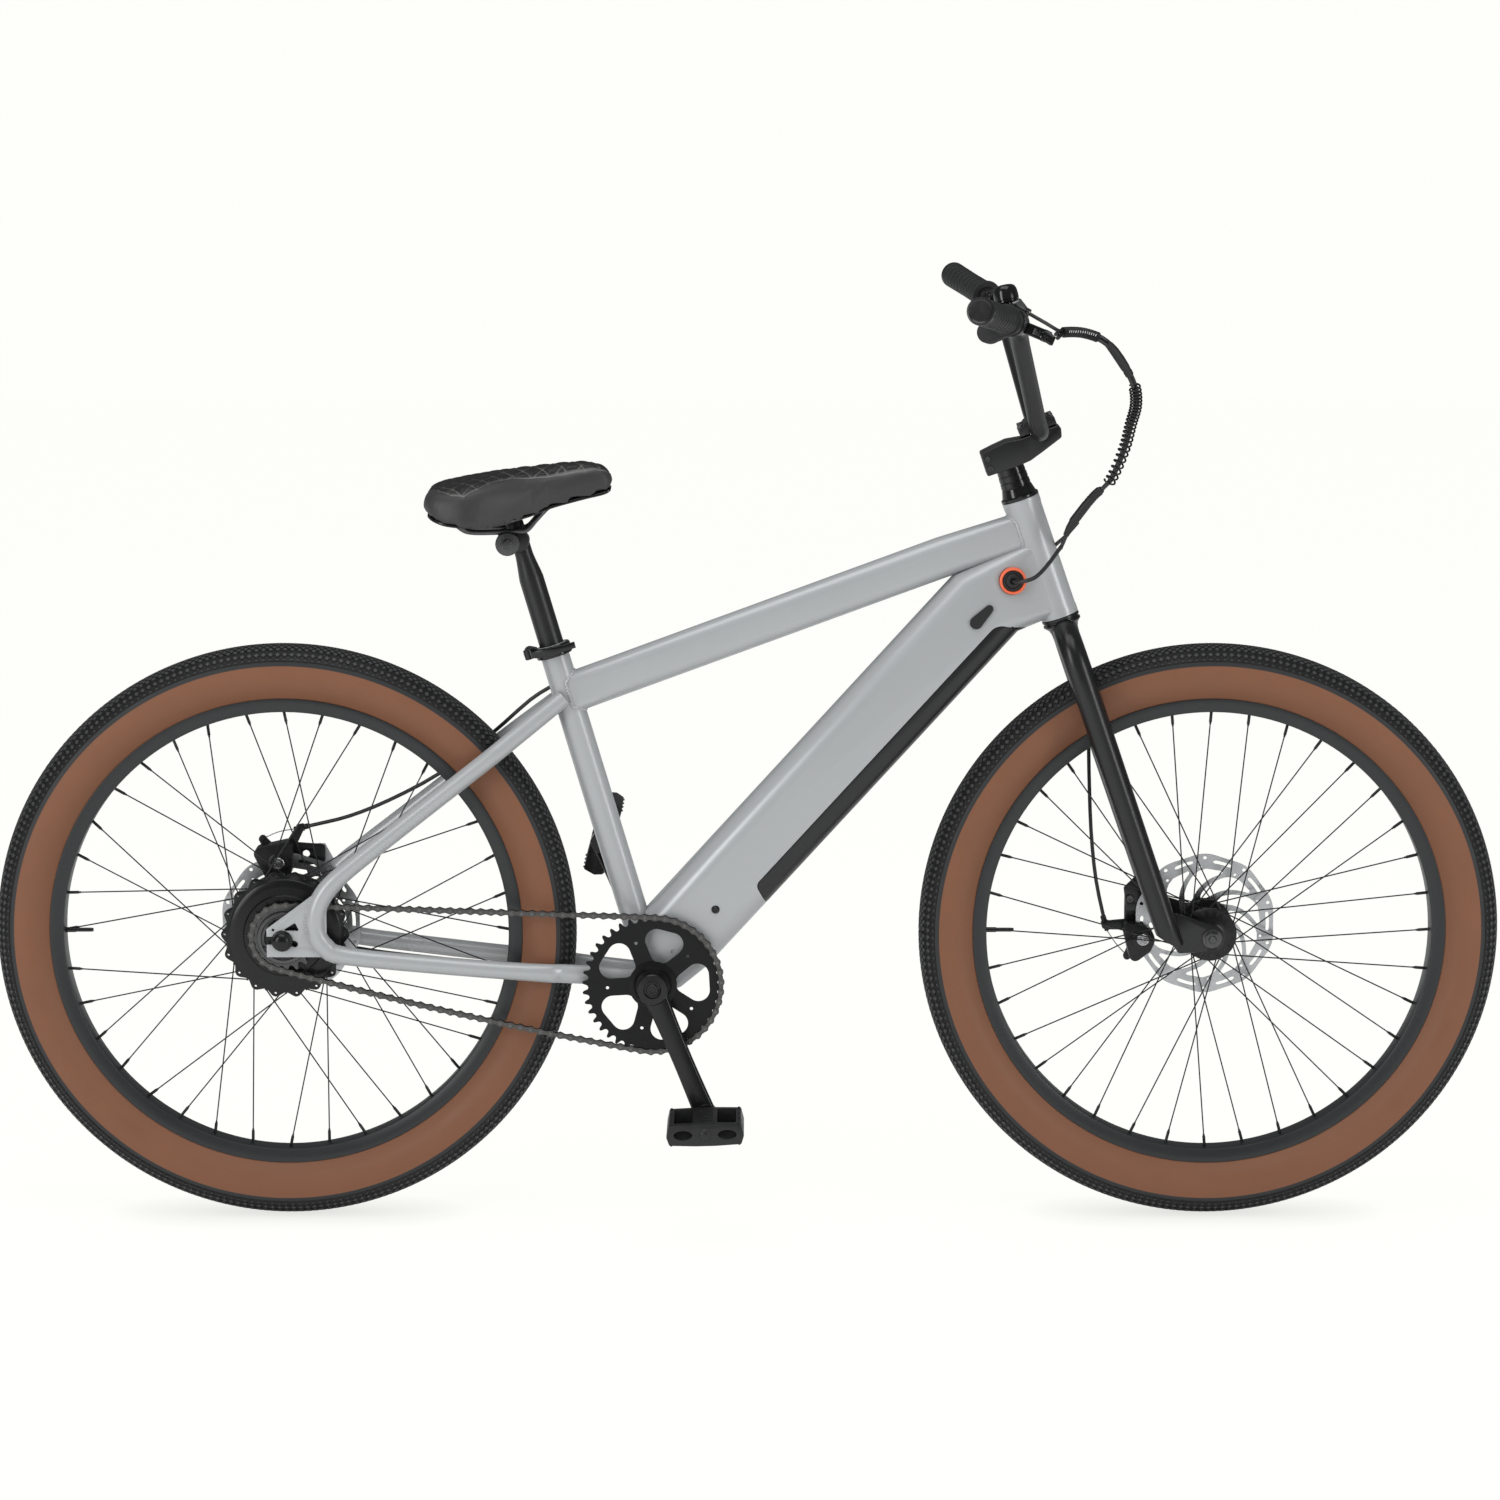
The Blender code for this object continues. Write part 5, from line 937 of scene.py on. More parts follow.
caliper_tab = carved(caliper_tab, bar((0.4815, 0.03, 0.392), (0.4815, 0.07, 0.392), 0.0031))
fork_black = coat(
    "fork_black", (0.0062, 0.0064, 0.0068), (0.0085, 0.0086, 0.009), 0.3, 0.0, 8.0, 0.03, 1800.0, 0.01,
)
fork_piece = joined(*legs, crown, steerer, eased(caliper_tab, 0.0006))
fitted(fork_piece, "fork_assembly", "steering", fork_black, "gloss_black_paint", "fork")

# Front axle: a steel spindle with a cone inside each dropout and a washer and a hexagon nut outside it,
# which clamp the wheel in the fork.
spindle_line = mm((0, -66.5), (4, -66.5), (4.5, -66), (4.5, 66), (4, 66.5), (0, 66.5))
front_spindle = [turned(front_axle_place, side_y, spindle_line, 32)]
for side in (-1, 1):
    washer, nut, cone = (
        turned(front_axle_place, side_y * side, line, steps, ring=True)
        for line, steps in (
            (mm((4.7, 56.3), (11.8, 56.3), (11.8, 57.6), (10.8, 58), (4.7, 58)), 48),
            (mm((4.7, 58.2), (9.8, 58.2), (9.8, 63), (8.8, 63.8), (4.7, 63.8)), 6),
            (mm((4.6, 44.3), (8.5, 46), (8.5, 49.7), (4.6, 49.7)), 32),
        )
    )
    front_spindle += [washer, eased(nut, 0.0005), cone]
fitted(joined(*front_spindle), "front_axle_set", "steering", dark_steel, "bare_steel", "front_axle")

# Headset and spacers: glossy black alloy rings stacked on the steerer, flared where they meet the head tube
# and held down by the stem.
stack_line = mm(
    (14.5, -10), (17.8, -10), (17.8, 0.3), (23.4, 0.3), (23.7, 1), (23.6, 4), (22.2, 5.2), (21.4, 5.8),
    (19.6, 12.5), (18.8, 15.5), (18, 16), (18, 16.8), (18.7, 17.3), (18.2, 23.5), (17.4, 24), (17.4, 24.8),
    (18.1, 25.3), (17.8, 31.8), (17, 32.3), (17, 33.1), (17.6, 33.6), (17.2, 40.5), (14.5, 40.5),
)
fitted(
    turned(head_top, steer_way, stack_line, 72, ring=True), "headset_rings", "steering", gloss_black,
    "gloss_black_paint", "headset_stack",
)

# Stem: a forged black alloy block, slit at the rear and pinched round the steerer by two bolts, with a cap
# that holds the bar from above by four.
stem_outline = mm(
    (285.3, 960), (294.5, 932), (329, 943.7), (347.3, 951.9), (363.6, 964), (384.9, 980.5), (383.9, 992),
    (379.3, 995.6), (335.3, 978.9), (316.8, 975.5), (300.6, 968),
)
bar_place = mid(0.357, 0.988)
stem = sheet(stem_outline, -0.021, 0.042)
stem = carved(
    eased(stem, 0.0022, 3, 25.0), bar(head_top + steer_way * 0.02, head_top + steer_way * 0.0686, 0.0146, 48),
    cross_bar(bar_place, -0.05, 0.05, 0.0115, 48),
    sheet(mm((270, 920), (315, 920), (296, 985), (270, 985)), -0.001, 0.002),
)
pinch = []
for s in (0.008, 0.0205):
    middle = mid(0.2945, 0.932).lerp(mid(0.2853, 0.96), s / 0.0295) + mid(0.006, 0.0022)
    for side in (-1, 1):
        socket = mm((0, 19.5), (3.4, 19.5), (3.4, 22.2), (3, 22.8), (1.7, 22.8), (1.6, 21.2), (0, 21.2))
        pinch.append(turned(middle, side_y * side, socket, 20))
cap_ahead = mid(0.935, 0.355).normalized()
cap_up = mid(-cap_ahead.z, cap_ahead.x)
cap_outline = mm(
    (-23.5, 0.8), (23.5, 0.8), (23.5, 10.5), (18.5, 12.5), (13, 17.2), (6, 18.5), (-6, 18.5), (-13, 17.2),
    (-18.5, 12.5), (-23.5, 10.5),
)
bar_cap = plate([bar_place + cap_ahead * u + cap_up * v - side_y * 0.02 for u, v in cap_outline], side_y * 0.04)
bar_cap = carved(eased(bar_cap, 0.0015, 3, 25.0), cross_bar(bar_place, -0.05, 0.05, 0.0115, 48))
cap_bolts = []
for along in (-0.019, 0.019):
    for y in (-0.012, 0.012):
        foot = bar_place + cap_ahead * along + side_y * y
        head = mm((0, 9), (3.7, 9), (3.7, 14.8), (3.2, 15.5), (1.7, 15.5), (1.6, 13), (0, 13))
        cap_bolts.append(turned(foot, cap_up, head, 20))
fitted(stem, "stem_block", "steering", satin_black, "black_paint", "stem", smooth=40.0)
fitted(bar_cap, "bar_clamp_cap", "steering", satin_black, "black_paint", "stem_cap", smooth=40.0)
fitted(joined(*pinch, *cap_bolts), "stem_bolts", "steering", dark_steel, "dark_steel")

# Handlebar: one black steel tube, bent to a wide, high, swept-back BMX shape and clamped in the stem at
# its middle.
bar_half = mm(
    (357, 0, 988), (357, 34, 988), (356.5, 45.5, 991.5), (353, 55.5, 1001), (350, 64, 1011.5), (326.5, 136.5, 1102),
    (324.3, 145.5, 1112.8), (323.2, 154.5, 1121), (322.2, 165, 1126.2), (319.5, 178, 1130), (268.3, 355.5, 1156.3),
)
bar_right = [Vector((x, y, z)) for x, y, z in bar_half]
bar_run = smooth_line(bar_right[:5], 6)[:-1] + [bar_right[4].lerp(bar_right[5], i / 8) for i in range(8)]
bar_run += smooth_line(bar_right[5:10], 6)[:-1] + [bar_right[9].lerp(bar_right[10], i / 10) for i in range(11)]
bar_path = bar_run[::-1] + [Vector((x, -y, z)) for x, y, z in bar_run[1:]]
fitted(tube(bar_path, 0.0111, 32), "handlebar_tube", "steering", satin_black, "black_paint", "handlebar")

# Grips: black rubber sleeves pushed over the ends of the bar, with thumb flanges and raised rings, each
# closed by a moulded cap.
class Hand:
    """One end of the bar: where its fittings start, the way along it and the brake lever's way."""

    def __init__(self, side):
        self.start = Vector((0.3195, 0.178 * side, 1.13))
        end = Vector((0.267, 0.36 * side, 1.157))
        self.along = (end - self.start).normalized()
        ahead = mid(0.85, -0.35)
        self.ahead = (ahead - self.along * ahead.dot(self.along)).normalized()
        self.up = self.along.cross(self.ahead) * -side
        self.hinge = self.at(0.013, 0.04)

    def at(self, along, ahead=0.0, up=0.0):
        """A point beside the start of the fittings."""
        return self.start + self.along * along + self.ahead * ahead + self.up * up

    def flat(self, outline, low, high):
        """A plate from (ahead, along) points, between two heights."""
        return plate([self.at(along, ahead, low) for ahead, along in outline], self.up * (high - low))


hands = {"right": Hand(-1), "left": Hand(1)}
grip_rubber = coat(
    "grip_rubber", (0.0145, 0.0148, 0.0155), (0.0215, 0.0218, 0.0225), 0.55, 0.0, 90.0, 0.08, 2400.0, 0.25, 0.35,
)
cap_plastic = coat(
    "cap_plastic", (0.009, 0.009, 0.0095), (0.013, 0.013, 0.0135), 0.3, 0.0, 60.0, 0.06, 1400.0, 0.05,
)
for side, hand in hands.items():
    line = mm((11.5, 55.5), (18.2, 55.5), (19, 56.2), (19, 57.8), (18.2, 58.8), (16, 59.4))
    for i in range(9):
        start = 0.061 + 0.013 * i
        low = 0.0149 + 0.0004 * abs(i - 4) / 4
        line += [(low, start), (low, start + 0.0028), (low + 0.0008, start + 0.0036), (low + 0.0012, start + 0.006)]
        line += [(low + 0.0012, start + 0.0095), (low + 0.0008, start + 0.012)]
    line += mm((15, 178.5), (16.2, 180), (16.6, 181.2), (16.6, 184.6), (11.5, 184.8))
    sleeve = turned(hand.start, hand.along, line, 72, ring=True)
    cap_line = mm(
        (0, 183), (16.3, 185), (16.6, 185.8), (16.6, 190), (15.8, 191.6), (14, 192.1), (12.8, 191.4), (12, 190.8),
        (0, 190.8),
    )
    end_cap = turned(hand.start, hand.along, cap_line, 72)
    fitted(sleeve, f"grip_{side}_sleeve", "steering", grip_rubber, "grip_rubber", f"grip_{side}")
    fitted(end_cap, f"grip_{side}_cap", "steering", cap_plastic, "black_plastic")

# Brake levers: black alloy blades on pins in perches clamped round the bar, each pulling a cable through a
# barrel adjuster.
lever_black = coat(
    "lever_black", (0.0075, 0.0076, 0.008), (0.0105, 0.0105, 0.011), 0.22, 0.2, 50.0, 0.05, 1200.0, 0.03,
)
for side, hand in hands.items():
    ring_line = mm((11.5, 4.5), (15.8, 4.5), (16.5, 5.2), (16.5, 20.8), (15.8, 21.5), (11.5, 21.5))
    collar = turned(hand.start, hand.along, ring_line, 56, ring=True)
    back_lug = hand.flat(mm((-14, 6.5), (-22.5, 7.5), (-22.5, 18.5), (-14, 19.5)), -0.0062, 0.0062)
    back_lug = carved(eased(back_lug, 0.0012), hand.flat(mm((-30, 0), (0, 0), (0, 30), (-30, 30)), -0.0006, 0.0006))
    clamp_bolt = bar(hand.at(0.013, -0.0182, -0.0072), hand.at(0.013, -0.0182, 0.0078), 0.0024, 16)
    cheek = mm((12, 6.2), (30, 5.2), (42.5, 7), (46.8, 11), (47.4, 16.5), (44, 19.8), (15, 19.8))
    cheeks = eased(hand.flat(cheek, -0.007, 0.007), 0.001)
    cheeks = carved(cheeks, hand.flat(mm((26.5, -10), (60, -10), (60, 30), (26.5, 30)), -0.0036, 0.0036))
    pivot = turned(
        hand.hinge - hand.up * 0.0074, hand.up,
        mm(
            (0, 0), (2.8, 0), (3.4, 0.6), (3.4, 1.2), (2.7, 1.4), (2.7, 13.4), (3.4, 13.6), (3.4, 14.2),
            (2.8, 14.8), (0, 14.8),
        ),
        20,
    )
    nose_way = (hand.at(-0.012, 0.029) - hand.at(0.008, 0.021)).normalized()
    nose_line = mm((0, -1), (4.6, 0), (4.6, 7.5), (5, 8))
    for i in range(4):
        nose_line += [(0.005, 0.0085 + 0.002 * i), (0.0045, 0.0092 + 0.002 * i), (0.0045, 0.0098 + 0.002 * i)]
    nose_line += mm((5, 16.8), (3.6, 17.5), (3.4, 21), (0, 21.2))
    nose = turned(hand.at(0.008, 0.021), nose_way, nose_line, 24)
    perch = joined(collar, back_lug, clamp_bolt, cheeks, pivot, nose)
    fitted(perch, f"perch_{side}", "steering", lever_black, "black_paint", f"lever_perch_{side}")
    points = mm((41.5, 18), (44, 27), (47.5, 36.5), (60.5, 78), (72, 118), (79, 140), (80, 145.5))
    path = smooth_line([hand.at(along, ahead) for ahead, along in points], 6)
    sections = []
    for i in range(len(path)):
        share = i / (len(path) - 1)
        wide = 0.0062 + 0.0006 * min(1.0, share * 4) - 0.001 * share
        thick = 0.0034 + 0.0011 * sin(pi * min(1.0, share * 2.2)) - 0.0006 * share
        if i > len(path) - 4:
            wide *= 0.9 - 0.12 * (i - len(path) + 3)
        sections.append(rounded(wide, thick, min(wide, thick) * 0.75, 4))
    blade = swept(path, sections, hand.up)
    eye = hand.flat(hull(dots(0.04, 0.013, 0.0062, 24) + [(0.0372, 0.024), (0.0452, 0.024)]), -0.003, 0.003)
    eye = carved(eased(eye, 0.0006), bar(hand.hinge - hand.up * 0.02, hand.hinge + hand.up * 0.02, 0.0031, 20))
    body = f"{side}_lever"
    fitted(joined(blade, eye), f"lever_{side}_blade", body, lever_black, "gloss_black_paint", f"brake_lever_{side}")

# Throttle and bell: on the right, a thumb paddle of black rubber turns round the bar beside a plastic ring
# that carries its wires and a small domed bell with a spring striker.
right = hands["right"]
housing_line = mm(
    (11.5, 22.5), (17.2, 22.5), (18, 23.3), (18, 27.8), (17.6, 28.2), (17.6, 28.8), (18, 29.2), (18, 33.7),
    (17.2, 34.5), (11.5, 34.5),
)
housing = turned(right.start, right.along, housing_line, 64, ring=True)
fitted(housing, "throttle_housing", "steering", satin_black, "black_plastic", "throttle_body")
paddle_way = mid(-0.0235, -0.0132)
paddle_way = (paddle_way - right.along * paddle_way.dot(right.along)).normalized()
paddle_side = right.along.cross(paddle_way)
paddle_outline = strap((0.0, 0.0, 0.0165, 48), (0.027, 0.0, 0.013, 48))
paddle = plate(
    [right.at(0.035) + paddle_way * u + paddle_side * v for u, v in paddle_outline], right.along * 0.0195,
)
paddle = eased(carved(paddle, bar(right.at(0.02), right.at(0.07), 0.0115, 48)), 0.0016, 3)
fitted(paddle, "throttle_lever", "throttle", grip_rubber, "black_rubber", "throttle_paddle")
bell_up = mid(-0.263, 0.965)
bell_up = (bell_up - right.along * bell_up.dot(right.along)).normalized()
bell_place = right.at(0.0285)
dome_line = mm(
    (0, 18.4), (6, 18.4), (6, 22.2), (13, 22.5), (14, 23.2), (14, 24.6), (13.4, 25), (13.4, 25.6), (14.6, 26.2),
    (14.7, 31), (14.5, 36), (13.8, 39.3), (12.4, 42.2), (10, 43.8), (7.2, 44.5), (5.2, 44.7), (4.8, 44.4),
    (4.4, 44.7), (0, 44.9),
)
fitted(
    turned(bell_place, bell_up, dome_line, 64), "bell_dome", "steering", gloss_black, "gloss_black_paint", "bell",
)
striker_way = -(ahead_x - bell_up * bell_up.x).normalized()
striker_hinge = bell_place + bell_up * 0.0245 + striker_way * 0.0178
striker_path = [striker_hinge + striker_way * step for step in (-0.003, 0.0, 0.006, 0.012, 0.017, 0.019)]
striker_sections = [rounded(0.0013, half, 0.0006, 3) for half in (0.0022, 0.0028, 0.0024, 0.0028, 0.003, 0.0018)]
striker = swept(striker_path, striker_sections, bell_up)
fitted(eased(striker, 0.0003), "bell_striker_tongue", "bell_hammer", gloss_black, "bare_steel", "bell_striker")

# Battery: a long black extruded case with end caps that fills the open underside of the down tube. It hangs
# from its upper end and swings out below.
battery_black = coat(
    "battery_black", (0.0105, 0.0107, 0.0112), (0.015, 0.0152, 0.0158), 0.33, 0.1, 12.0, 0.03, 2600.0, 0.06,
)
battery = carved(down_tube(), battery_window(0.0007), way="INTERSECT")
battery = eased(battery, 0.0009, 2, 40.0)
fitted(battery, "battery_cover", "battery", battery_black, "black_paint", "battery_pack", smooth=30.0)

# Ports: an orange plastic ring screwed round the harness plug behind the head tube, and a rubber flap held
# by one screw over the charging socket.
ring_line = mm(
    (13.2, -27.7), (16.5, -27.7), (16.7, -28.4), (16.7, -34.2), (16.2, -35.4), (15, -36), (13.8, -35.8),
    (13.2, -35),
)
orange = coat("orange_plastic", (0.76, 0.12, 0.045), (0.84, 0.15, 0.06), 0.38, 0.0, 80.0, 0.05, 1500.0, 0.06)
orange_ring = turned(port_place, side_y, ring_line, 72, ring=True)
fitted(orange_ring, "port_collar", "frame", orange, "orange_plastic", "port_ring")
plug_line = mm(
    (3, -27.7), (12.8, -27.7), (12.8, -34), (12.2, -34.8), (10, -35), (9.2, -34.4), (8.6, -35), (7.2, -36.6),
    (6, -37), (4.2, -37), (3, -36),
)
plug = turned(port_place, side_y, plug_line, 56, ring=True)
black_rubber = coat(
    "black_rubber", (0.012, 0.0122, 0.0126), (0.018, 0.0182, 0.0186), 0.5, 0.0, 70.0, 0.07, 1600.0, 0.12, 0.4,
)
fitted(plug, "port_plug", "frame", black_rubber, "black_rubber", "port_grommet")
flap_outline = strap((0.281, 0.754, 0.008, 40), (0.297, 0.771, 0.005, 40))
flap = eased(sheet(flap_outline, -0.0405, 0.0027), 0.0008, 3)
flap_screw = mm((0, -40.3), (2.1, -40.3), (2.1, -40.7), (1.2, -40.7), (1, -40.4), (0, -40.4))
flap_screw = turned(mid(0.297, 0.771), side_y, flap_screw, 20)
dimples = []
for row in range(4):
    for column in range(3):
        u = 0.2755 + 0.0042 * column + 0.001 * row
        v = 0.749 + 0.0042 * row + 0.001 * column
        dimples.append(bar((u, -0.0412, v), (u, -0.0402, v), 0.0009, 8))
flap = carved(flap, joined(*dimples))
fitted(joined(flap, flap_screw), "charge_flap", "port_cover", black_rubber, "black_rubber", "charge_cover")

# Crank set: a steel spindle in threaded cups with notches for a tool, and forged black arms bolted to its
# ends, each with an eye that takes a pedal's pin.
cup_line = mm((8.5, 38.5), (20, 38.5), (21.2, 37.8), (21.2, 35.6), (20, 35), (17.2, 34.8), (17.2, 0), (8.5, 0))
cups = []
for side in (-1, 1):
    cup = turned(crank_place, side_y * side, cup_line, 64, ring=True)
    notches = []
    for i in range(12):
        spot = on_circle(crank_place, 0.0216, 2 * pi * i / 12)
        notches.append(cross_bar(spot, side * 0.034, side * 0.04, 0.0017, 10))
    cups.append(carved(cup, joined(*notches)))
fitted(joined(*cups), "crank_cups", "frame", dark_steel, "bare_steel", "bottom_bracket")

arm_way = mid(0.3875, -0.9219).normalized()
crank_black = coat(
    "crank_black", (0.0058, 0.006, 0.0064), (0.0082, 0.0082, 0.0088), 0.22, 0.2, 30.0, 0.05, 1500.0, 0.03,
)
for side, hand in ((-1, "right"), (1, "left")):
    pedal_place = crank_place - arm_way * (0.17 * side)
    start = crank_place + side_y * (0.0735 * side)
    end = pedal_place + side_y * (0.0845 * side)
    path = []
    sections = []
    for i in range(17):
        share = i / 16
        path.append(start.lerp(end, share))
        half = 0.015 - 0.002 * sin(pi * share) - 0.0012 * share
        section = rounded(0.007 - 0.0008 * sin(pi * share), half, 0.003, 5)
        sections.append([(u * (1.12 - 0.55 * (v / half) ** 2), v) for u, v in section])
    arm = swept(path, sections, side_y)
    boss_line = mm(
        (0, 66.2), (18.5, 66.2), (19.5, 67.2), (19.5, 80), (18.3, 81.4), (11, 82), (10.4, 81.2), (10, 79), (0, 79),
    )
    boss = turned(crank_place, side_y * side, boss_line, 64)
    eye_line = mm((0, 77), (13.8, 77), (14.5, 77.8), (14.5, 90.8), (13.6, 92), (8, 92), (7.4, 91.4), (0, 91.4))
    eye = turned(pedal_place, side_y * side, eye_line, 56)
    bolt_line = mm((0, 78), (7.5, 78.5), (7.5, 80.6), (6.8, 81.2), (4.2, 81.2), (4, 79.6), (0, 79.6))
    bolt = turned(crank_place, side_y * side, bolt_line, 32)
    pin_line = mm((0, 90), (7.2, 90.5), (7.2, 94), (6.2, 95), (5.8, 174), (0, 175))
    pin = turned(pedal_place, side_y * side, pin_line, 32)
    pieces = [arm, boss, eye, bolt, pin]
    if side < 0:
        pieces.append(cross_bar(crank_place, -0.072, 0.077, 0.0074, 40))
    fitted(
        joined(*pieces), f"crank_arm_{hand}", "crankset", crank_black, "gloss_black_paint", f"crank_{hand}",
        smooth=40.0,
    )

# Chainring and freewheel: stamped and machined steel toothed wheels, 42 and 20 teeth, for a half-inch chain.
# The chain's way round them is worked out first, so that each of its rollers falls between two teeth.
chain_pitch = 0.0127
chain_links = 104
ring_teeth = 42
sprocket_teeth = 20
chain_y = -0.0485
sprocket_pitch_radius = chain_pitch / (2 * sin(pi / sprocket_teeth))
ring_pitch_radius = chain_pitch / (2 * sin(pi / ring_teeth))
between = crank_place - rear_axle_place
drive_angle = atan2(between.z, between.x)
wrap = acos((sprocket_pitch_radius - ring_pitch_radius) / between.length)
upper_run = (between.length**2 - (ring_pitch_radius - sprocket_pitch_radius) ** 2) ** 0.5


def lower_run(droop):
    """Points on the slack run, which leaves and meets the toothed wheels this much off the taut line."""
    start_angle = drive_angle - wrap + droop
    end_angle = drive_angle - wrap - droop
    start = on_circle(crank_place, ring_pitch_radius, start_angle)
    end = on_circle(rear_axle_place, sprocket_pitch_radius, end_angle)
    reach = (end - start).length
    leave = (ahead_x * sin(start_angle) - up_z * cos(start_angle)) * reach
    arrive = (ahead_x * sin(end_angle) - up_z * cos(end_angle)) * reach
    points = []
    for i in range(401):
        s = i / 400
        point = start * (2 * s**3 - 3 * s**2 + 1) + end * (3 * s**2 - 2 * s**3)
        points.append(point + leave * (s**3 - 2 * s**2 + s) + arrive * (s**3 - s**2))
    return points


def chain_pitches(droop):
    """Pitches on the chainring, the lower run, the sprocket and the upper run."""
    run = lower_run(droop)
    return [
        (2 * wrap - droop) * ring_teeth / (2 * pi),
        sum((after - before).length for before, after in zip(run, run[1:])) / chain_pitch,
        (2 * pi - 2 * wrap - droop) * sprocket_teeth / (2 * pi), upper_run / chain_pitch,
    ]


least, most = 0.0, 0.3
for step in range(40):
    droop = (least + most) / 2
    if sum(chain_pitches(droop)) < chain_links:
        least = droop
    else:
        most = droop
shares = chain_pitches(droop)
slack = lower_run(droop)


def pin_place(count):
    """Where the chain is, this many pitches on from the top of the chainring."""
    if count < shares[0]:
        return on_circle(crank_place, ring_pitch_radius, drive_angle + wrap - count * 2 * pi / ring_teeth)
    count -= shares[0]
    if count < shares[1]:
        left = count * chain_pitch
        for before, after in zip(slack, slack[1:]):
            step = (after - before).length
            if left <= step:
                return before + (after - before) * (left / step)
            left -= step
        return slack[-1]
    count -= shares[1]
    if count < shares[2]:
        return on_circle(
            rear_axle_place, sprocket_pitch_radius, drive_angle - wrap - droop - count * 2 * pi / sprocket_teeth,
        )
    start = on_circle(rear_axle_place, sprocket_pitch_radius, drive_angle + wrap)
    end = on_circle(crank_place, ring_pitch_radius, drive_angle + wrap)
    return start.lerp(end, (count - shares[2]) / shares[3])


def tooth_line(centre, teeth, first_angle, pitch_radius):
    """The outline of a toothed wheel: round seats for the rollers between narrow rounded teeth."""
    outline = []
    for i in range(teeth):
        middle = first_angle - i * 2 * pi / teeth
        half = pi / teeth
        for turn, reach in (
            (half * 0.98, pitch_radius + 0.0028), (half * 0.78, pitch_radius + 0.0021),
            (half * 0.62, pitch_radius - 0.0002), (half * 0.48, pitch_radius - 0.0028),
            (half * 0.26, pitch_radius - 0.0042), (0.0, pitch_radius - 0.0046),
            (half * -0.26, pitch_radius - 0.0042), (half * -0.48, pitch_radius - 0.0028),
            (half * -0.62, pitch_radius - 0.0002), (half * -0.78, pitch_radius + 0.0021),
            (half * -0.98, pitch_radius + 0.0028),
        ):
            outline.append(on_circle(centre, reach, middle + turn))
    return outline


ring_outline = tooth_line(crank_place, ring_teeth, drive_angle + wrap, ring_pitch_radius)
chainring = plate([point + side_y * (chain_y - 0.00115) for point in ring_outline], side_y * 0.0023)
windows = []
for i in range(5):
    angle = radians(75.2 - 72 * i)
    corners = []
    for radius, across in ((0.056, 0.0098), (0.056, -0.0098), (0.0425, 0.0)):
        u = crank_place.x + radius * cos(angle) - across * sin(angle)
        v = crank_place.z + radius * sin(angle) + across * cos(angle)
        corners += dots(u, v, 0.0142, 28)
    windows.append(sheet(hull(corners), chain_y - 0.01, 0.02))
    spot = on_circle(crank_place, 0.0565, radians(111.8 - 72 * i))
    windows.append(cross_bar(spot, -0.06, -0.03, 0.0021, 16))
chainring = carved(chainring, *windows)
spider_line = mm((8, -64), (19, -65.5), (20.6, -64.8), (21.5, -56), (24, -52), (30, -50.6), (30, -49), (8, -47))
spider = turned(crank_place, side_y, spider_line, 64, ring=True)
ring_black = coat(
    "ring_black", (0.0055, 0.0056, 0.006), (0.0085, 0.0086, 0.009), 0.3, 0.0, 25.0, 0.05, 1400.0, 0.04, 0.22,
)
fitted(joined(chainring, spider), "chainring_disc", "crankset", ring_black, "black_paint", "chainring")

sprocket_first = drive_angle - wrap - droop + (shares[0] + shares[1]) * 2 * pi / sprocket_teeth
wheel_outline = tooth_line(rear_axle_place, sprocket_teeth, sprocket_first, sprocket_pitch_radius)
freewheel = plate([point + side_y * (chain_y - 0.0012) for point in wheel_outline], side_y * 0.0024)
freewheel = carved(freewheel, cross_bar(rear_axle_place, -0.07, -0.03, 0.0234, 48))
free_line = mm(
    (23.4, -56.2), (26.2, -56.6), (27, -56), (27.8, -56.6), (31.8, -56.2), (32.6, -55.2), (33, -50), (33, -44.6),
    (32.2, -44), (23.4, -44),
)
free_body = turned(rear_axle_place, side_y, free_line, 80, ring=True)
notches = []
for i in range(4):
    spot = on_circle(rear_axle_place, 0.0245, pi / 2 * i + 0.4)
    notches.append(cross_bar(spot, -0.058, -0.053, 0.0022, 12))
free_body = carved(free_body, joined(*notches))
fitted(joined(freewheel, free_body), "freewheel_cog", "sprocket", dark_steel, "dark_steel", "freewheel")

# Chain: 104 half-inch steel links, plates inside and outside by turns, with small rollers in the inner ones
# and a rivet through each joint. It is laid pin by pin round both toothed wheels.
chain_steel = coat("chain_steel", (0.07, 0.068, 0.066), (0.145, 0.142, 0.138), 0.33, 0.9, 260.0, 0.08, 1200.0, 0.08)


def chain_link(low, high):
    """A pair of waisted plates from one pin to the next, with the rollers if they are inner plates."""
    outline = []
    for end, start in ((chain_pitch, -75), (0.0, 105)):
        for i in range(6):
            angle = radians(start + 30 * i)
            outline.append((end + 0.0042 * cos(angle), 0.0042 * sin(angle)))
        outline.append((chain_pitch / 2, 0.0021 if end else -0.0021))
    pieces = []
    for side in (-1, 1):
        flat = sorted((low * side, high * side))
        pieces.append(sheet(outline, chain_y + flat[0], flat[1] - flat[0]))
    if low < 0.0029:
        for u in (0.0, chain_pitch):
            pieces.append(bar((u, chain_y - 0.0017, 0.0), (u, chain_y + 0.0017, 0.0), 0.0036, 8))
    return joined(*pieces)


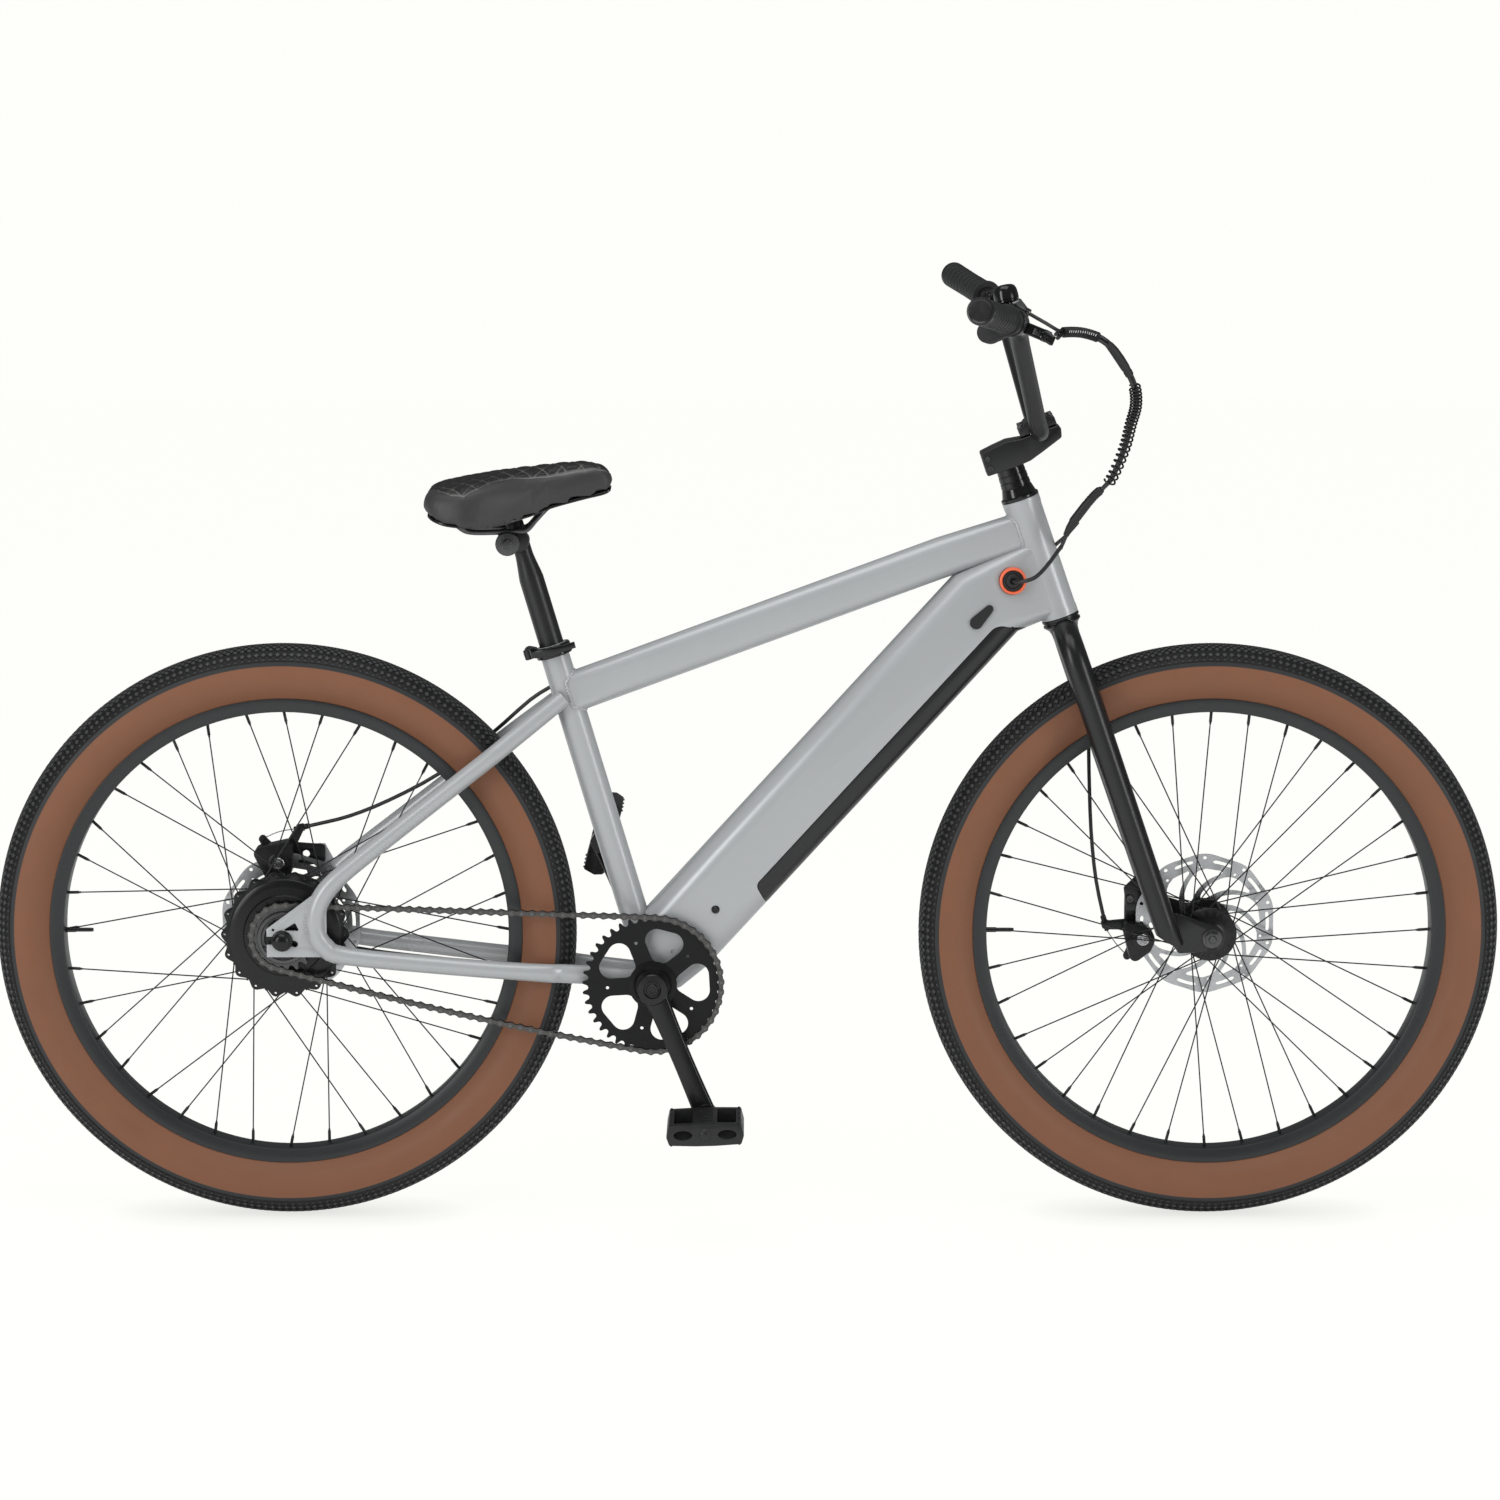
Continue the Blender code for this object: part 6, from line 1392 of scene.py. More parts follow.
outer_link = chain_link(0.0029, 0.0039)
inner_link = chain_link(0.0018, 0.0028)
links = []
rivets = []
for i in range(chain_links):
    here = pin_place(i)
    rivets.append(cross_bar(here, chain_y - 0.0044, chain_y + 0.0044, 0.0019, 10))
    way = pin_place((i + 1) % chain_links) - here
    only(inner_link if i % 2 == 0 else outer_link)
    bpy.ops.object.duplicate()
    link = bpy.context.object
    link.data.transform(Matrix.Translation(here) @ Matrix.Rotation(-atan2(way.z, way.x), 4, "Y"))
    links.append(link)
for pattern in (outer_link, inner_link):
    bpy.data.objects.remove(pattern, do_unlink=True)
fitted(joined(*links), "roller_chain", "frame", chain_steel, "dark_steel", "chain")
rivet_steel = coat("rivet_steel", (0.13, 0.128, 0.125), (0.2, 0.197, 0.193), 0.33, 1.0, 200.0, 0.06, 1000.0, 0.05)
fitted(joined(*rivets), "chain_rivets", "frame", rivet_steel, "bare_steel", "chain")

# Pedals: black moulded cages on steel pins, with deep pockets in the top, windows in the ends, a ribbed
# barrel between them and short studs for the shoe.
pedal_plastic = coat(
    "pedal_plastic", (0.012, 0.0122, 0.0128), (0.018, 0.0182, 0.019), 0.42, 0.0, 60.0, 0.07, 1500.0, 0.12, 0.4,
)
for side, hand, place, tilt in (
    (-1, "right", crank_place + arm_way * 0.17, radians(1.5)),
    (1, "left", crank_place - arm_way * 0.17, radians(73.4)),
):
    ahead = ahead_x * cos(tilt) + up_z * sin(tilt)
    up = up_z * cos(tilt) - ahead_x * sin(tilt)
    near, far = sorted((0.1 * side, 0.19 * side))

    def on_pedal(u, y, v):
        """A point beside the pedal's middle: ahead, across the bike and up."""
        return place + ahead * u + side_y * y + up * v

    profile = mm(
        (-47.5, -2), (-44, -12.5), (-12, -14), (12, -14), (44, -12.5), (47.5, -2), (44, 12.5), (12, 13.5),
        (-12, 13.5), (-44, 12.5),
    )
    cage = plate([on_pedal(u, near, v) for u, v in profile], side_y * (far - near))
    cage = eased(cage, 0.0012, 2, 20.0)
    cutters = []
    for way in (-1, 1):
        u_low, u_high = sorted((way * 0.015, way * 0.038))
        window = rounded((u_high - u_low) / 2, 0.035, 0.003, 3)
        middle_u = (u_low + u_high) / 2
        middle_y = (near + far) / 2
        corners = [on_pedal(middle_u + u, middle_y + y, -0.0095) for u, y in window]
        cutters.append(plate(corners, up * 0.04))
        oval_end = [on_pedal(way * 0.027 + u * 1.9, 0.178 * side, v) for u, v in dots(0.0, 0.0, 0.006, 24)]
        cutters.append(plate(oval_end, side_y * (0.02 * side)))
    cage = carved(cage, *cutters, cross_bar(place, 0.09 * side, 0.179 * side, 0.0078, 32))
    cap_line = mm((0, 193.2), (4, 192.6), (6.8, 190.8), (7.6, 189.6), (8.4, 189.2), (8.4, 188), (0, 186))
    studs = []
    for way in (-1, 1):
        for step in range(4):
            y = side * (0.1045 + 0.027 * step)
            for level in (-1, 1):
                foot = on_pedal(way * 0.0415, y, level * 0.012)
                studs.append(bar(foot, foot + up * (level * 0.002), 0.0013, 10))
    barrel_ribs = []
    for step in range(9):
        y = side * (0.113 + 0.008 * step)
        for level, rise in ((-1, 0.014), (1, 0.0135)):
            rib = plate(
                [on_pedal(u, y - 0.0012, level * (rise - 0.0006)) for u in (-0.01, 0.01)]
                + [on_pedal(u, y + 0.0012, level * (rise - 0.0006)) for u in (0.01, -0.01)],
                up * (level * 0.0012),
            )
            barrel_ribs.append(rib)
    end_cap = turned(place, side_y * side, cap_line, 32)
    cage = joined(cage, *studs, *barrel_ribs, end_cap)
    fitted(cage, f"pedal_{hand}_cage", f"{hand}_pedal", pedal_plastic, "black_rubber", f"pedal_{hand}", smooth=30.0)

# Rear axle: a thick steel spindle fixed in the dropouts, its nuts covered by domed black caps over wide
# washers.
axle_line = mm(
    (0, -84.5), (6, -84.3), (10, -81.5), (11.6, -79), (11.8, -74), (11.8, -73), (12.8, -72.6), (13.2, -72.2),
    (13.2, -71), (7, -70.8), (4.7, -70), (4.7, -64.5), (7.4, -64.3), (7.5, -60),
)
axle_line += mirrored(axle_line)
fitted(
    turned(rear_axle_place, side_y, axle_line, 48), "rear_axle_set", "frame", hub_black, "dark_steel", "rear_axle",
)

# Seat clamp and quick-release lever: a glossy black alloy collar round the top of the seat tube, slit at the
# rear and drawn tight by a cam lever on a cross bolt.
collar_line = mm((18.1, -4), (21.6, -4), (22.5, -3.2), (22.5, 8.4), (21.4, 10), (18.1, 10))
collar = turned(seat_top, seat_way, collar_line, 72, ring=True)
ears = hull(dots(-0.27, 0.712, 0.007, 24) + [(-0.259, 0.7065), (-0.261, 0.7175)])
collar = carved(collar, sheet(ears, -0.0085, 0.017), way="UNION")
collar = carved(collar, sheet(mm((-300, 690), (-255, 690), (-255, 740), (-300, 740)), -0.001, 0.002))
collar = eased(collar, 0.0005, 2, 40.0)
cross_bolt = turned(
    mid(-0.27, 0.712), side_y,
    mm((0, -12.8), (2.8, -12.8), (2.8, 8.6), (5.8, 8.8), (5.8, 11.8), (5, 12.6), (0, 12.6)), 28,
)
fitted(joined(collar, cross_bolt), "seat_collar", "frame", gloss_black, "gloss_black_paint", "seat_clamp")
lever_path = mm(
    (-270, -19.2, 712), (-260, -25.5, 712.8), (-245, -29, 715.8), (-230, -27, 720), (-213, -21.5, 724.5),
)
lever_path = smooth_line(lever_path, 5)
lever_sections = []
for i in range(len(lever_path)):
    share = i / (len(lever_path) - 1)
    lever_sections.append(rounded(0.004 + 0.0016 * sin(pi * share) ** 2, 0.0022 - 0.0006 * share, 0.0012, 3))
cam_line = mm((0, -6.2), (5, -6.2), (5.8, -5.4), (5.8, 5.4), (5, 6.2), (0, 6.2))
cam = turned(Vector((-0.27, -0.0192, 0.712)), seat_way, cam_line, 32)
quick_lever = joined(swept(lever_path, lever_sections, seat_way), cam)
fitted(quick_lever, "seat_cam_lever", "seat_lever", gloss_black, "gloss_black_paint", "seat_qr_lever")

# Seatpost: a black alloy tube that slides in the seat tube and narrows to a drilled lug for the clamp of
# the saddle's rails.
post_line = mm(
    (0, -190), (14.6, -190), (15.2, -189.4), (15.2, 96), (14.6, 101), (11.8, 120), (11.1, 127), (11, 168),
    (10, 169.5), (0, 170),
)
post = turned(seat_top, seat_way, post_line, 56)
clamp_place = mid(-0.295, 0.85)
lug = strap((clamp_place.x, clamp_place.z, 0.0115, 40), (-0.2815, 0.851, 0.0125, 40))
lug = eased(sheet(lug, -0.013, 0.026), 0.0012)
lug = carved(lug, cross_bar(clamp_place, -0.03, 0.03, 0.0043))
fitted(joined(post, lug), "seat_post_tube", "seat_mast", satin_black, "black_paint", "seatpost")

# Rails and clamp: one bent steel wire under the saddle, gripped between toothed discs that a cross bolt
# draws against the lug of the seatpost.
rail_half = mm(
    (-362, 33, 883.5), (-352, 29, 870), (-335, 24, 864), (-285, 22, 865.2), (-271.5, 21, 866.8), (-260, 17, 879),
    (-249, 11, 890.5), (-244, 4, 894),
)
rail_path = [Vector((x, y, z)) for x, y, z in rail_half] + [Vector((x, -y, z)) for x, y, z in rail_half[::-1]]
rails = tube(smooth_line(rail_path, 6), 0.0035, 16)
fitted(rails, "rail_wire", "saddle", dark_steel, "dark_steel", "saddle_rails")
jaw_line = mm(
    (0, 36.5), (5, 36.2), (6.2, 35.2), (6.2, 31.8), (13.5, 31), (14.6, 30), (14.6, 26.2), (13.8, 25.6), (14.6, 25),
    (14.6, 19), (13.8, 18.4), (14.6, 17.8), (14.6, 14.5), (13.8, 13.6), (4, 13.6),
)
jaw_line += mirrored(jaw_line)
jaw = turned(clamp_place, side_y, jaw_line, 48)
fitted(jaw, "rail_jaws", "saddle", dark_steel, "dark_steel", "rail_clamp")

# Saddle: foam on a thin glossy plastic shell under black vinyl, the top panel quilted in diamonds with grey thread
# and darkened with painted shade, the skirt drawn smooth round the sides and turned in underneath.
saddle_rings = [
    ((-0.398, 0.048, 0.9), (-0.393, 0.0, 0.89)), ((-0.391, 0.065, 0.919), (-0.384, 0.0, 0.884)),
    ((-0.366, 0.075, 0.926), (-0.366, 0.0, 0.878)), ((-0.334, 0.079, 0.932), (-0.34, 0.0, 0.8735)),
    ((-0.305, 0.066, 0.9365), (-0.31, 0.0, 0.8725)), ((-0.2726, 0.042, 0.941), (-0.2725, 0.0, 0.883)),
    ((-0.25, 0.033, 0.9445), (-0.252, 0.0, 0.8905)), ((-0.232, 0.0285, 0.948), (-0.236, 0.0, 0.8965)),
    ((-0.199, 0.024, 0.951), (-0.201, 0.0, 0.906)), ((-0.177, 0.0205, 0.945), (-0.175, 0.0, 0.9125)),
    ((-0.1656, 0.013, 0.933), (-0.166, 0.0, 0.919)),
]
crests = smooth_line([crest for crest, edge in saddle_rings], 4)
edges = smooth_line([edge for crest, edge in saddle_rings], 4)
across_line = [
    (1.0, 0.0), (1.0, 0.22), (0.985, 0.45), (0.95, 0.66), (0.88, 0.82), (0.76, 0.92), (0.6, 0.965), (0.4, 0.985),
    (0.2, 0.997), (0.0, 1.0),
]
across_line += [(-across, lift) for across, lift in across_line[-2::-1]]


def under_saddle(crest, edge, across, drop):
    """A point of the hollowed underside, at this share of the half width."""
    rise = 0.2 * crest.y * min(1.0, 2 * (1 - abs(across)))
    return Vector((edge.x, crest.y * across, edge.z + rise - drop))


pad_rings = []
for crest, edge in zip(crests, edges):
    ring = []
    for across, lift in across_line:
        lift_z = edge.z - 0.0012 + (crest.z - 0.0012 - edge.z) * lift
        ring.append(Vector((edge.x + (crest.x - edge.x) * lift, (crest.y - 0.0022) * across, lift_z)))
    for across in (-0.75, -0.5, -0.25, 0.0, 0.25, 0.5, 0.75):
        ring.append(under_saddle(crest, edge, across, -0.001))
    pad_rings.append(ring)
pad = lofted(pad_rings)
only(pad)
bpy.ops.object.modifier_add(type="REMESH")
pad.modifiers[-1].mode = "VOXEL"
pad.modifiers[-1].voxel_size = 0.004
bpy.ops.object.modifier_apply(modifier=pad.modifiers[-1].name)
bpy.ops.object.modifier_add(type="SMOOTH")
pad.modifiers[-1].iterations = 5
bpy.ops.object.modifier_apply(modifier=pad.modifiers[-1].name)
held = pad.vertex_groups.new(name="held")
held.add([vertex.index for vertex in pad.data.vertices if vertex.normal.z < -0.35], 1.0, "REPLACE")
before = [vertex.co.copy() for vertex in pad.data.vertices]
bpy.ops.object.modifier_add(type="CLOTH")
cloth = pad.modifiers[-1]
cloth.settings.use_pressure = True
cloth.settings.uniform_pressure_force = 4.0
cloth.settings.effector_weights.gravity = 0.0
cloth.settings.vertex_group_mass = "held"
cloth.point_cache.frame_start = 1
cloth.point_cache.frame_end = 20
for frame_number in range(1, 21):
    bpy.context.scene.frame_set(frame_number)
bpy.ops.object.modifier_apply(modifier=cloth.name)
bpy.context.scene.frame_set(1)
for vertex, place in zip(pad.data.vertices, before):
    moved = vertex.co - place
    if moved.length > 0.005:
        vertex.co = place + moved * (0.005 / moved.length)
for times in range(2):
    bpy.ops.object.modifier_add(type="SUBSURF")
    pad.modifiers[-1].levels = 1
    bpy.ops.object.modifier_apply(modifier=pad.modifiers[-1].name)
panel_edge = mm(
    (-393, 0), (-388, 30), (-378, 50), (-362, 65), (-345, 70), (-328, 62), (-310, 45), (-288, 33), (-260, 26),
    (-232, 22), (-200, 18.5), (-180, 14), (-169, 6), (-164, 0),
)
for attribute in ("thread", "panel_painted_shade"):
    pad.data.attributes.new(attribute, "FLOAT", "POINT")
thread, panel_painted_shade = pad.data.attributes["thread"], pad.data.attributes["panel_painted_shade"]
outward_ways = [vertex.normal.copy() for vertex in pad.data.vertices]
for vertex, outward_way in zip(pad.data.vertices, outward_ways):
    x, y, z = vertex.co
    if outward_way.z < 0.05 or not panel_edge[0][0] < x < panel_edge[-1][0]:
        continue
    for (x_low, y_low), (x_high, y_high) in zip(panel_edge, panel_edge[1:]):
        if x_low <= x <= x_high:
            limit = y_low + (y_high - y_low) * (x - x_low) / (x_high - x_low)
    inside = limit - abs(y)
    border = exp(-((inside / 0.0013) ** 2))
    seam = border
    puff = 0.0
    if inside > 0.0:
        first = (x / 0.024 + y / 0.028) % 1.0
        second = (x / 0.024 - y / 0.028) % 1.0
        nearest = min(first, 1 - first, second, 1 - second) * 0.0182
        seam = max(border, exp(-((nearest / 0.0011) ** 2)))
        puff = min(1.0, nearest / 0.006) * min(1.0, inside / 0.004)
    vertex.co += outward_way * (0.0014 * puff - 0.0022 * seam)
    thread.data[vertex.index].value = max(0.0, seam * 1.35 - 0.35)
    panel_painted_shade.data[vertex.index].value = min(1.0, max(0.0, inside / 0.002))
vinyl_painted_panel_shade = coat(
    "saddle_vinyl", (0.03, 0.0298, 0.0296), (0.04, 0.0397, 0.0394), 0.46, 0.0, 35.0, 0.05, 1500.0, 0.22, 0.42,
)
# Painted shade: the quilted top panel is painted a much darker black than the vinyl of the skirt round the sides.
marked(vinyl_painted_panel_shade, "panel_painted_shade", (0.0125, 0.0124, 0.0123))
marked(vinyl_painted_panel_shade, "thread", (0.15, 0.148, 0.144))
fitted(pad, "saddle_pad", "saddle", vinyl_painted_panel_shade, "saddle_vinyl", "saddle_cover", smooth=80.0)
shell_rings = []
for crest, edge in list(zip(crests, edges))[1:-1]:
    widest = 0.95 - 0.13 * min(1.0, max(0.0, (edge.x + 0.37) / 0.05))
    shares = [widest * share for share in (-1.0, -0.77, -0.5, 0.0, 0.5, 0.77, 1.0)]
    ring = [under_saddle(crest, edge, across, 0.0008) for across in shares]
    ring += [under_saddle(crest, edge, across, 0.0044) for across in shares[::-1]]
    shell_rings.append(ring)
shell = eased(lofted(shell_rings), 0.0009, 2, 50.0)
fitted(shell, "saddle_shell", "saddle", gloss_black, "gloss_black_paint", "saddle_base")

# Brake calipers: black cast bodies that straddle the discs, each with a silver pad adjuster on the wheel
# side and, outside, a steel arm that a bare wire pulls towards the end of its housing.
caliper_black = coat(
    "caliper_black", (0.007, 0.0072, 0.0076), (0.011, 0.011, 0.0115), 0.34, 0.2, 90.0, 0.08, 1600.0, 0.1,
)
for name, axle, piston, disc_y, inner, near, tip, stop, stop_way, body, arm_body in (
    (
        "rear", rear_axle_place, mid(-0.591, 0.4355), 0.0482, 0.014, 0.06, (-0.612, 0.464),
        Vector((-0.564, 0.07, 0.479)), Vector((-0.024, 0.005, -0.006)), "frame", "rear_brake_arm",
    ),
    (
        "front", front_axle_place, mid(0.497, 0.343), 0.0412, 0.012, 0.07, (0.48, 0.315),
        Vector((0.452, 0.064, 0.356)), mid(0.026, -0.09), "steering", "front_brake_arm",
    ),
):
    outward = (piston - axle).normalized()
    across = outward.cross(side_y)
    far = 0.103 if name == "rear" else 0.102
    outline = []
    rim = [(axle + outward * (far - 0.008) + across * shift, 0.0078) for shift in (-0.017, 0.017)]
    rim += [(axle + outward * (near + 0.008) + across * shift, 0.006) for shift in (-0.012, 0.012)]
    for spot, radius in [(piston, 0.015), *rim]:
        outline += dots(spot.x, spot.z, radius)
    outline = in_plane(hull(outline), disc_y - inner)
    block = plate(outline, side_y * (inner + 0.018))
    way_in = cross_bar(axle, disc_y - 0.0021, disc_y + 0.0021, 0.0925, 96)
    block = carved(block, way_in)
    for shift in (-0.017, 0.017):
        spot = axle + outward * (far - 0.008) + across * shift
        block = carved(block, cross_bar(spot, disc_y + 0.012, disc_y + 0.03, 0.0036, 16))
    block = eased(block, 0.0012, 2, 40.0)
    boss_line = mm(
        (0, 14), (15, 14), (15, 20.6), (13.8, 22), (10, 22.1), (9.5, 21.6), (5, 21.6), (4, 21.8), (4, 26.9),
        (6.2, 27), (6.6, 27.4), (6.6, 29.4), (5.8, 30), (0, 30),
    )
    boss = turned(piston + side_y * disc_y, side_y, boss_line, 48)
    cup_line = [
        (0.0, -inner + 0.001), (0.0128, -inner + 0.001), (0.0128, -inner - 0.0006), (0.0118, -inner - 0.0012),
        (0.0086, -inner - 0.0012), (0.0082, -inner + 0.0004), (0.0, -inner + 0.0004),
    ]
    fixed_pad = piston + (outward * 0.004 + ahead_x * 0.003) if name == "rear" else piston
    cup = turned(fixed_pad + side_y * disc_y, side_y, cup_line, 40)
    feet = [axle + outward * (far - 0.012) + across * shift for shift in (-0.017, 0.017)]
    foot = min(feet, key=lambda place: (place - mid(stop.x, stop.z)).length)
    lug_outline = strap((foot.x, foot.z, 0.007, 20), (stop.x, stop.z, 0.0052, 20))
    lug = eased(sheet(lug_outline, disc_y + 0.015, stop.y - disc_y - 0.015), 0.0008)
    stop_way = stop_way.normalized()
    stop_line = mm(
        (0, -12), (3, -11.8), (3.6, -10.5), (3.6, -5), (5, -4.6), (5, 3.6), (4, 4), (3, 4.6), (3, 8), (2, 8.6),
        (0, 8.6),
    )
    stop_barrel = turned(stop, stop_way, stop_line, 24)
    body_piece = joined(block, boss, cup, lug, stop_barrel)
    if name == "rear":
        bracket = strap(
            (-0.568, 0.436, 0.006, 16), (-0.537, 0.441, 0.005, 16), (-0.537, 0.4545, 0.005, 16),
            (-0.568, 0.456, 0.006, 16),
        )
        bracket = sheet(bracket, 0.0592, 0.005)
        bracket = carved(bracket, bar((-0.556, 0.05, 0.4475), (-0.556, 0.07, 0.4475), 0.0045, 24))
        bolt_places = [(-0.54, 0.0, 0.441), (-0.54, 0.0, 0.454)]
        bolt_line = mm(
            (0, 60), (2.8, 60), (2.8, 70), (4.6, 70.2), (4.8, 70.8), (4.8, 73.8), (4.2, 74.2), (2.4, 74.2),
            (2.2, 72), (0, 72),
        )
    else:
        bracket = strap(
            (0.479, 0.364, 0.004, 16), (0.4925, 0.364, 0.0025, 16), (0.4845, 0.398, 0.0025, 16),
            (0.4775, 0.398, 0.0025, 16),
        )
        bracket = sheet(bracket, 0.0535, 0.0055)
        bolt_places = [(0.4815, 0.0, 0.392)]
        bolt_line = mm(
            (0, 56), (2.8, 56), (2.8, 48), (4.6, 47.8), (4.8, 47.2), (4.8, 45), (4.2, 44.5), (2.4, 44.5),
            (2.2, 46.5), (0, 46.5),
        )
    bolts = [turned(place, side_y, bolt_line, 24) for place in bolt_places]
    body_piece = joined(body_piece, eased(bracket, 0.0007))
    fitted(body_piece, f"{name}_caliper_body", body, caliper_black, "black_paint", f"{name}_caliper")
    fitted(joined(*bolts), f"{name}_caliper_bolts", body, dark_steel, "dark_steel")
    knob_line = [
        (0.0, -inner + 0.0006), (0.0074, -inner + 0.0006), (0.0078, -inner - 0.0008), (0.0078, -inner - 0.0016),
        (0.007, -inner - 0.0022), (0.0056, -inner - 0.0022), (0.005, -inner - 0.0016), (0.0036, -inner - 0.0016),
        (0.003, -inner - 0.0022), (0.0026, -inner - 0.0022), (0.0024, -inner - 0.0006), (0.0, -inner - 0.0006),
    ]
    knob = turned(fixed_pad + side_y * disc_y, side_y, knob_line, 36)
    fitted(knob, f"{name}_pad_adjuster", body, bolt_steel, "bare_steel")
    arm_outline = strap((piston.x, piston.z, 0.0098, 40), (*tip, 0.0048, 20))
    lever_arm = sheet(arm_outline, disc_y + 0.0225, 0.004)
    middle = piston.lerp(mid(tip[0], tip[1]), 0.55)
    lever_arm = carved(
        lever_arm, cross_bar(piston, 0.02, 0.1, 0.0043, 24), cross_bar(middle, 0.02, 0.1, 0.0032, 20),
    )
    lever_arm = eased(lever_arm, 0.0006)
    pinch = turned(
        (tip[0], disc_y, tip[1]), side_y,
        mm((0, 21.5), (3.2, 21.5), (3.2, 26.8), (4.8, 27), (4.8, 28.4), (3.6, 28.8), (3, 30), (0, 30)), 20,
    )
    fitted(
        joined(lever_arm, pinch), f"{name}_pull_arm", arm_body, caliper_black, "black_paint", f"{name}_caliper_arm",
    )
    wire_end = Vector((tip[0], disc_y + 0.0275, tip[1]))
    wire_start = stop + stop_way * 0.008
    bow = stop_way * 0.008 + outward * (0.004 if name == "rear" else 0.0)
    wire_path = smooth_line([wire_start, wire_start.lerp(wire_end, 0.4) + bow * 0.5, wire_end], 8)
    wire = tube(wire_path, 0.0007, 8)
    wire.name = f"{name}_pull_wire"
    wire.data.materials.append(bolt_steel)
    only(wire)
    bpy.ops.object.shade_smooth()
    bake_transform(wire)

# Wiring in front of the bar: two round leads side by side from the right hand, through a ribbed sleeve
# and a spiral wrap, with a moulded joint above it and a plug below.
bundle_points = mm(
    (366.5, -180, 1115.5), (375, -165, 1119), (402, -150, 1117), (429, -140, 1105), (451, -125, 1077),
    (465, -112, 1051), (468, -103, 1027), (463, -95, 1004), (456, -84, 972), (440.5, -70, 932), (421, -62, 912),
    (396, -54, 878), (382, -50, 846.5),
)
bundle = smooth_line(bundle_points, 12)
bundle_frames = frames_along(bundle, side_y)


def along_bundle(place, radius, angle):
    """A point this far along the bundle, counted in twelfths of a span, and off its middle."""
    before = min(int(place), len(bundle) - 2)
    part = place - before
    point = bundle[before].lerp(bundle[before + 1], part)
    first = bundle_frames[before][1].lerp(bundle_frames[before + 1][1], part).normalized()
    second = bundle_frames[before][2].lerp(bundle_frames[before + 1][2], part).normalized()
    return point + (first * cos(angle) + second * sin(angle)) * radius


def moulded(line):
    """A round moulding on the bundle, from (place, radius) points."""
    middles = [along_bundle(place, 0.0, 0.0) for place, radius in line]
    return tube(middles, [radius for place, radius in line], 24)


def lead_beside(angle, last):
    """The way of one lead, on this side of the bundle, closer in below the upper wrap."""
    turn = radians(angle)
    upper = [along_bundle(place, 0.0025, turn) for place in range(0, 109, 3)]
    return upper + [along_bundle(place, 0.0012, turn) for place in range(114, last, 3)]


hose_black = coat(
    "hose_black", (0.0105, 0.0107, 0.011), (0.015, 0.0152, 0.0156), 0.34, 0.0, 60.0, 0.06, 1200.0, 0.05,
)
wrap_turns = 24
wrap_path = []
for i in range(wrap_turns * 20 + 1):
    wrap_path.append(along_bundle(60 + 49 * i / (wrap_turns * 20), 0.0066, 2 * pi * i / 20))
spiral = fitted(
    tube(wrap_path, 0.00125, 10), "spiral_cable_wrap", "steering", gloss_black, "gloss_black_paint", "spiral_wrap",
    smooth=60.0,
)
sleeve_path = [along_bundle(12 + 19.2 * i / 60, 0.0, 0.0) for i in range(61)]
sleeve_radii = [0.0065 if i % 2 else 0.0057 for i in range(61)]
sleeve = tube(sleeve_path, sleeve_radii, 16)
sleeve = fitted(sleeve, "ribbed_sleeve", "steering", black_rubber, "black_rubber", "spiral_sleeve", smooth=30.0)
slits = []
for i in range(13):
    place = 14.5 + 1.18 * i
    start = along_bundle(place, 0.006, radians(205))
    end = along_bundle(place + 0.25, 0.0063, radians(180))
    slits.append(bar(start, end, 0.00055, 8))
slit_pale = coat("slit_pale", (0.52, 0.52, 0.51), (0.66, 0.66, 0.65), 0.45, 0.0, 200.0, 0.08, 1500.0, 0.05)
slits = fitted(joined(*slits), "sleeve_slits", "steering", slit_pale, "bare_steel")
upper_line = [
    (36, 0.0042), (38, 0.005), (41, 0.0057), (45, 0.0059), (49, 0.0057), (51, 0.005), (51.4, 0.0054),
    (53.6, 0.0052), (54, 0.0036),
]
upper_plug = eased(moulded(upper_line), 0.0004, 2, 30.0)
upper_plug = fitted(upper_plug, "upper_cable_joint", "steering", black_rubber, "black_rubber", "main_cable")
lower_line = [(114.0, 0.004), (115.5, 0.0052)]
for i in range(7):
    lower_line += [(116.0 + i * 1.1, 0.0058), (116.5 + i * 1.1, 0.0054)]
lower_line += [(124.0, 0.0058), (131.0, 0.0058), (131.5, 0.005), (134.0, 0.0046), (137.5, 0.0036)]
lower_plug = moulded(lower_line)
lower_plug = fitted(
    lower_plug, "lower_cable_plug", "steering", black_rubber, "black_rubber", "main_cable", smooth=25.0,
)
lead_a = lead_beside(90, 145)
lead_b = lead_beside(270, 127)
first_lead = fitted(
    tube(lead_a, 0.0024, 14), "throttle_lead", "steering", hose_black, "black_rubber", "main_cable", smooth=60.0,
)
second_lead = fitted(
    tube(lead_b, 0.0024, 14), "brake_switch_lead", "steering", hose_black, "black_rubber", "main_cable",
    smooth=60.0,
)

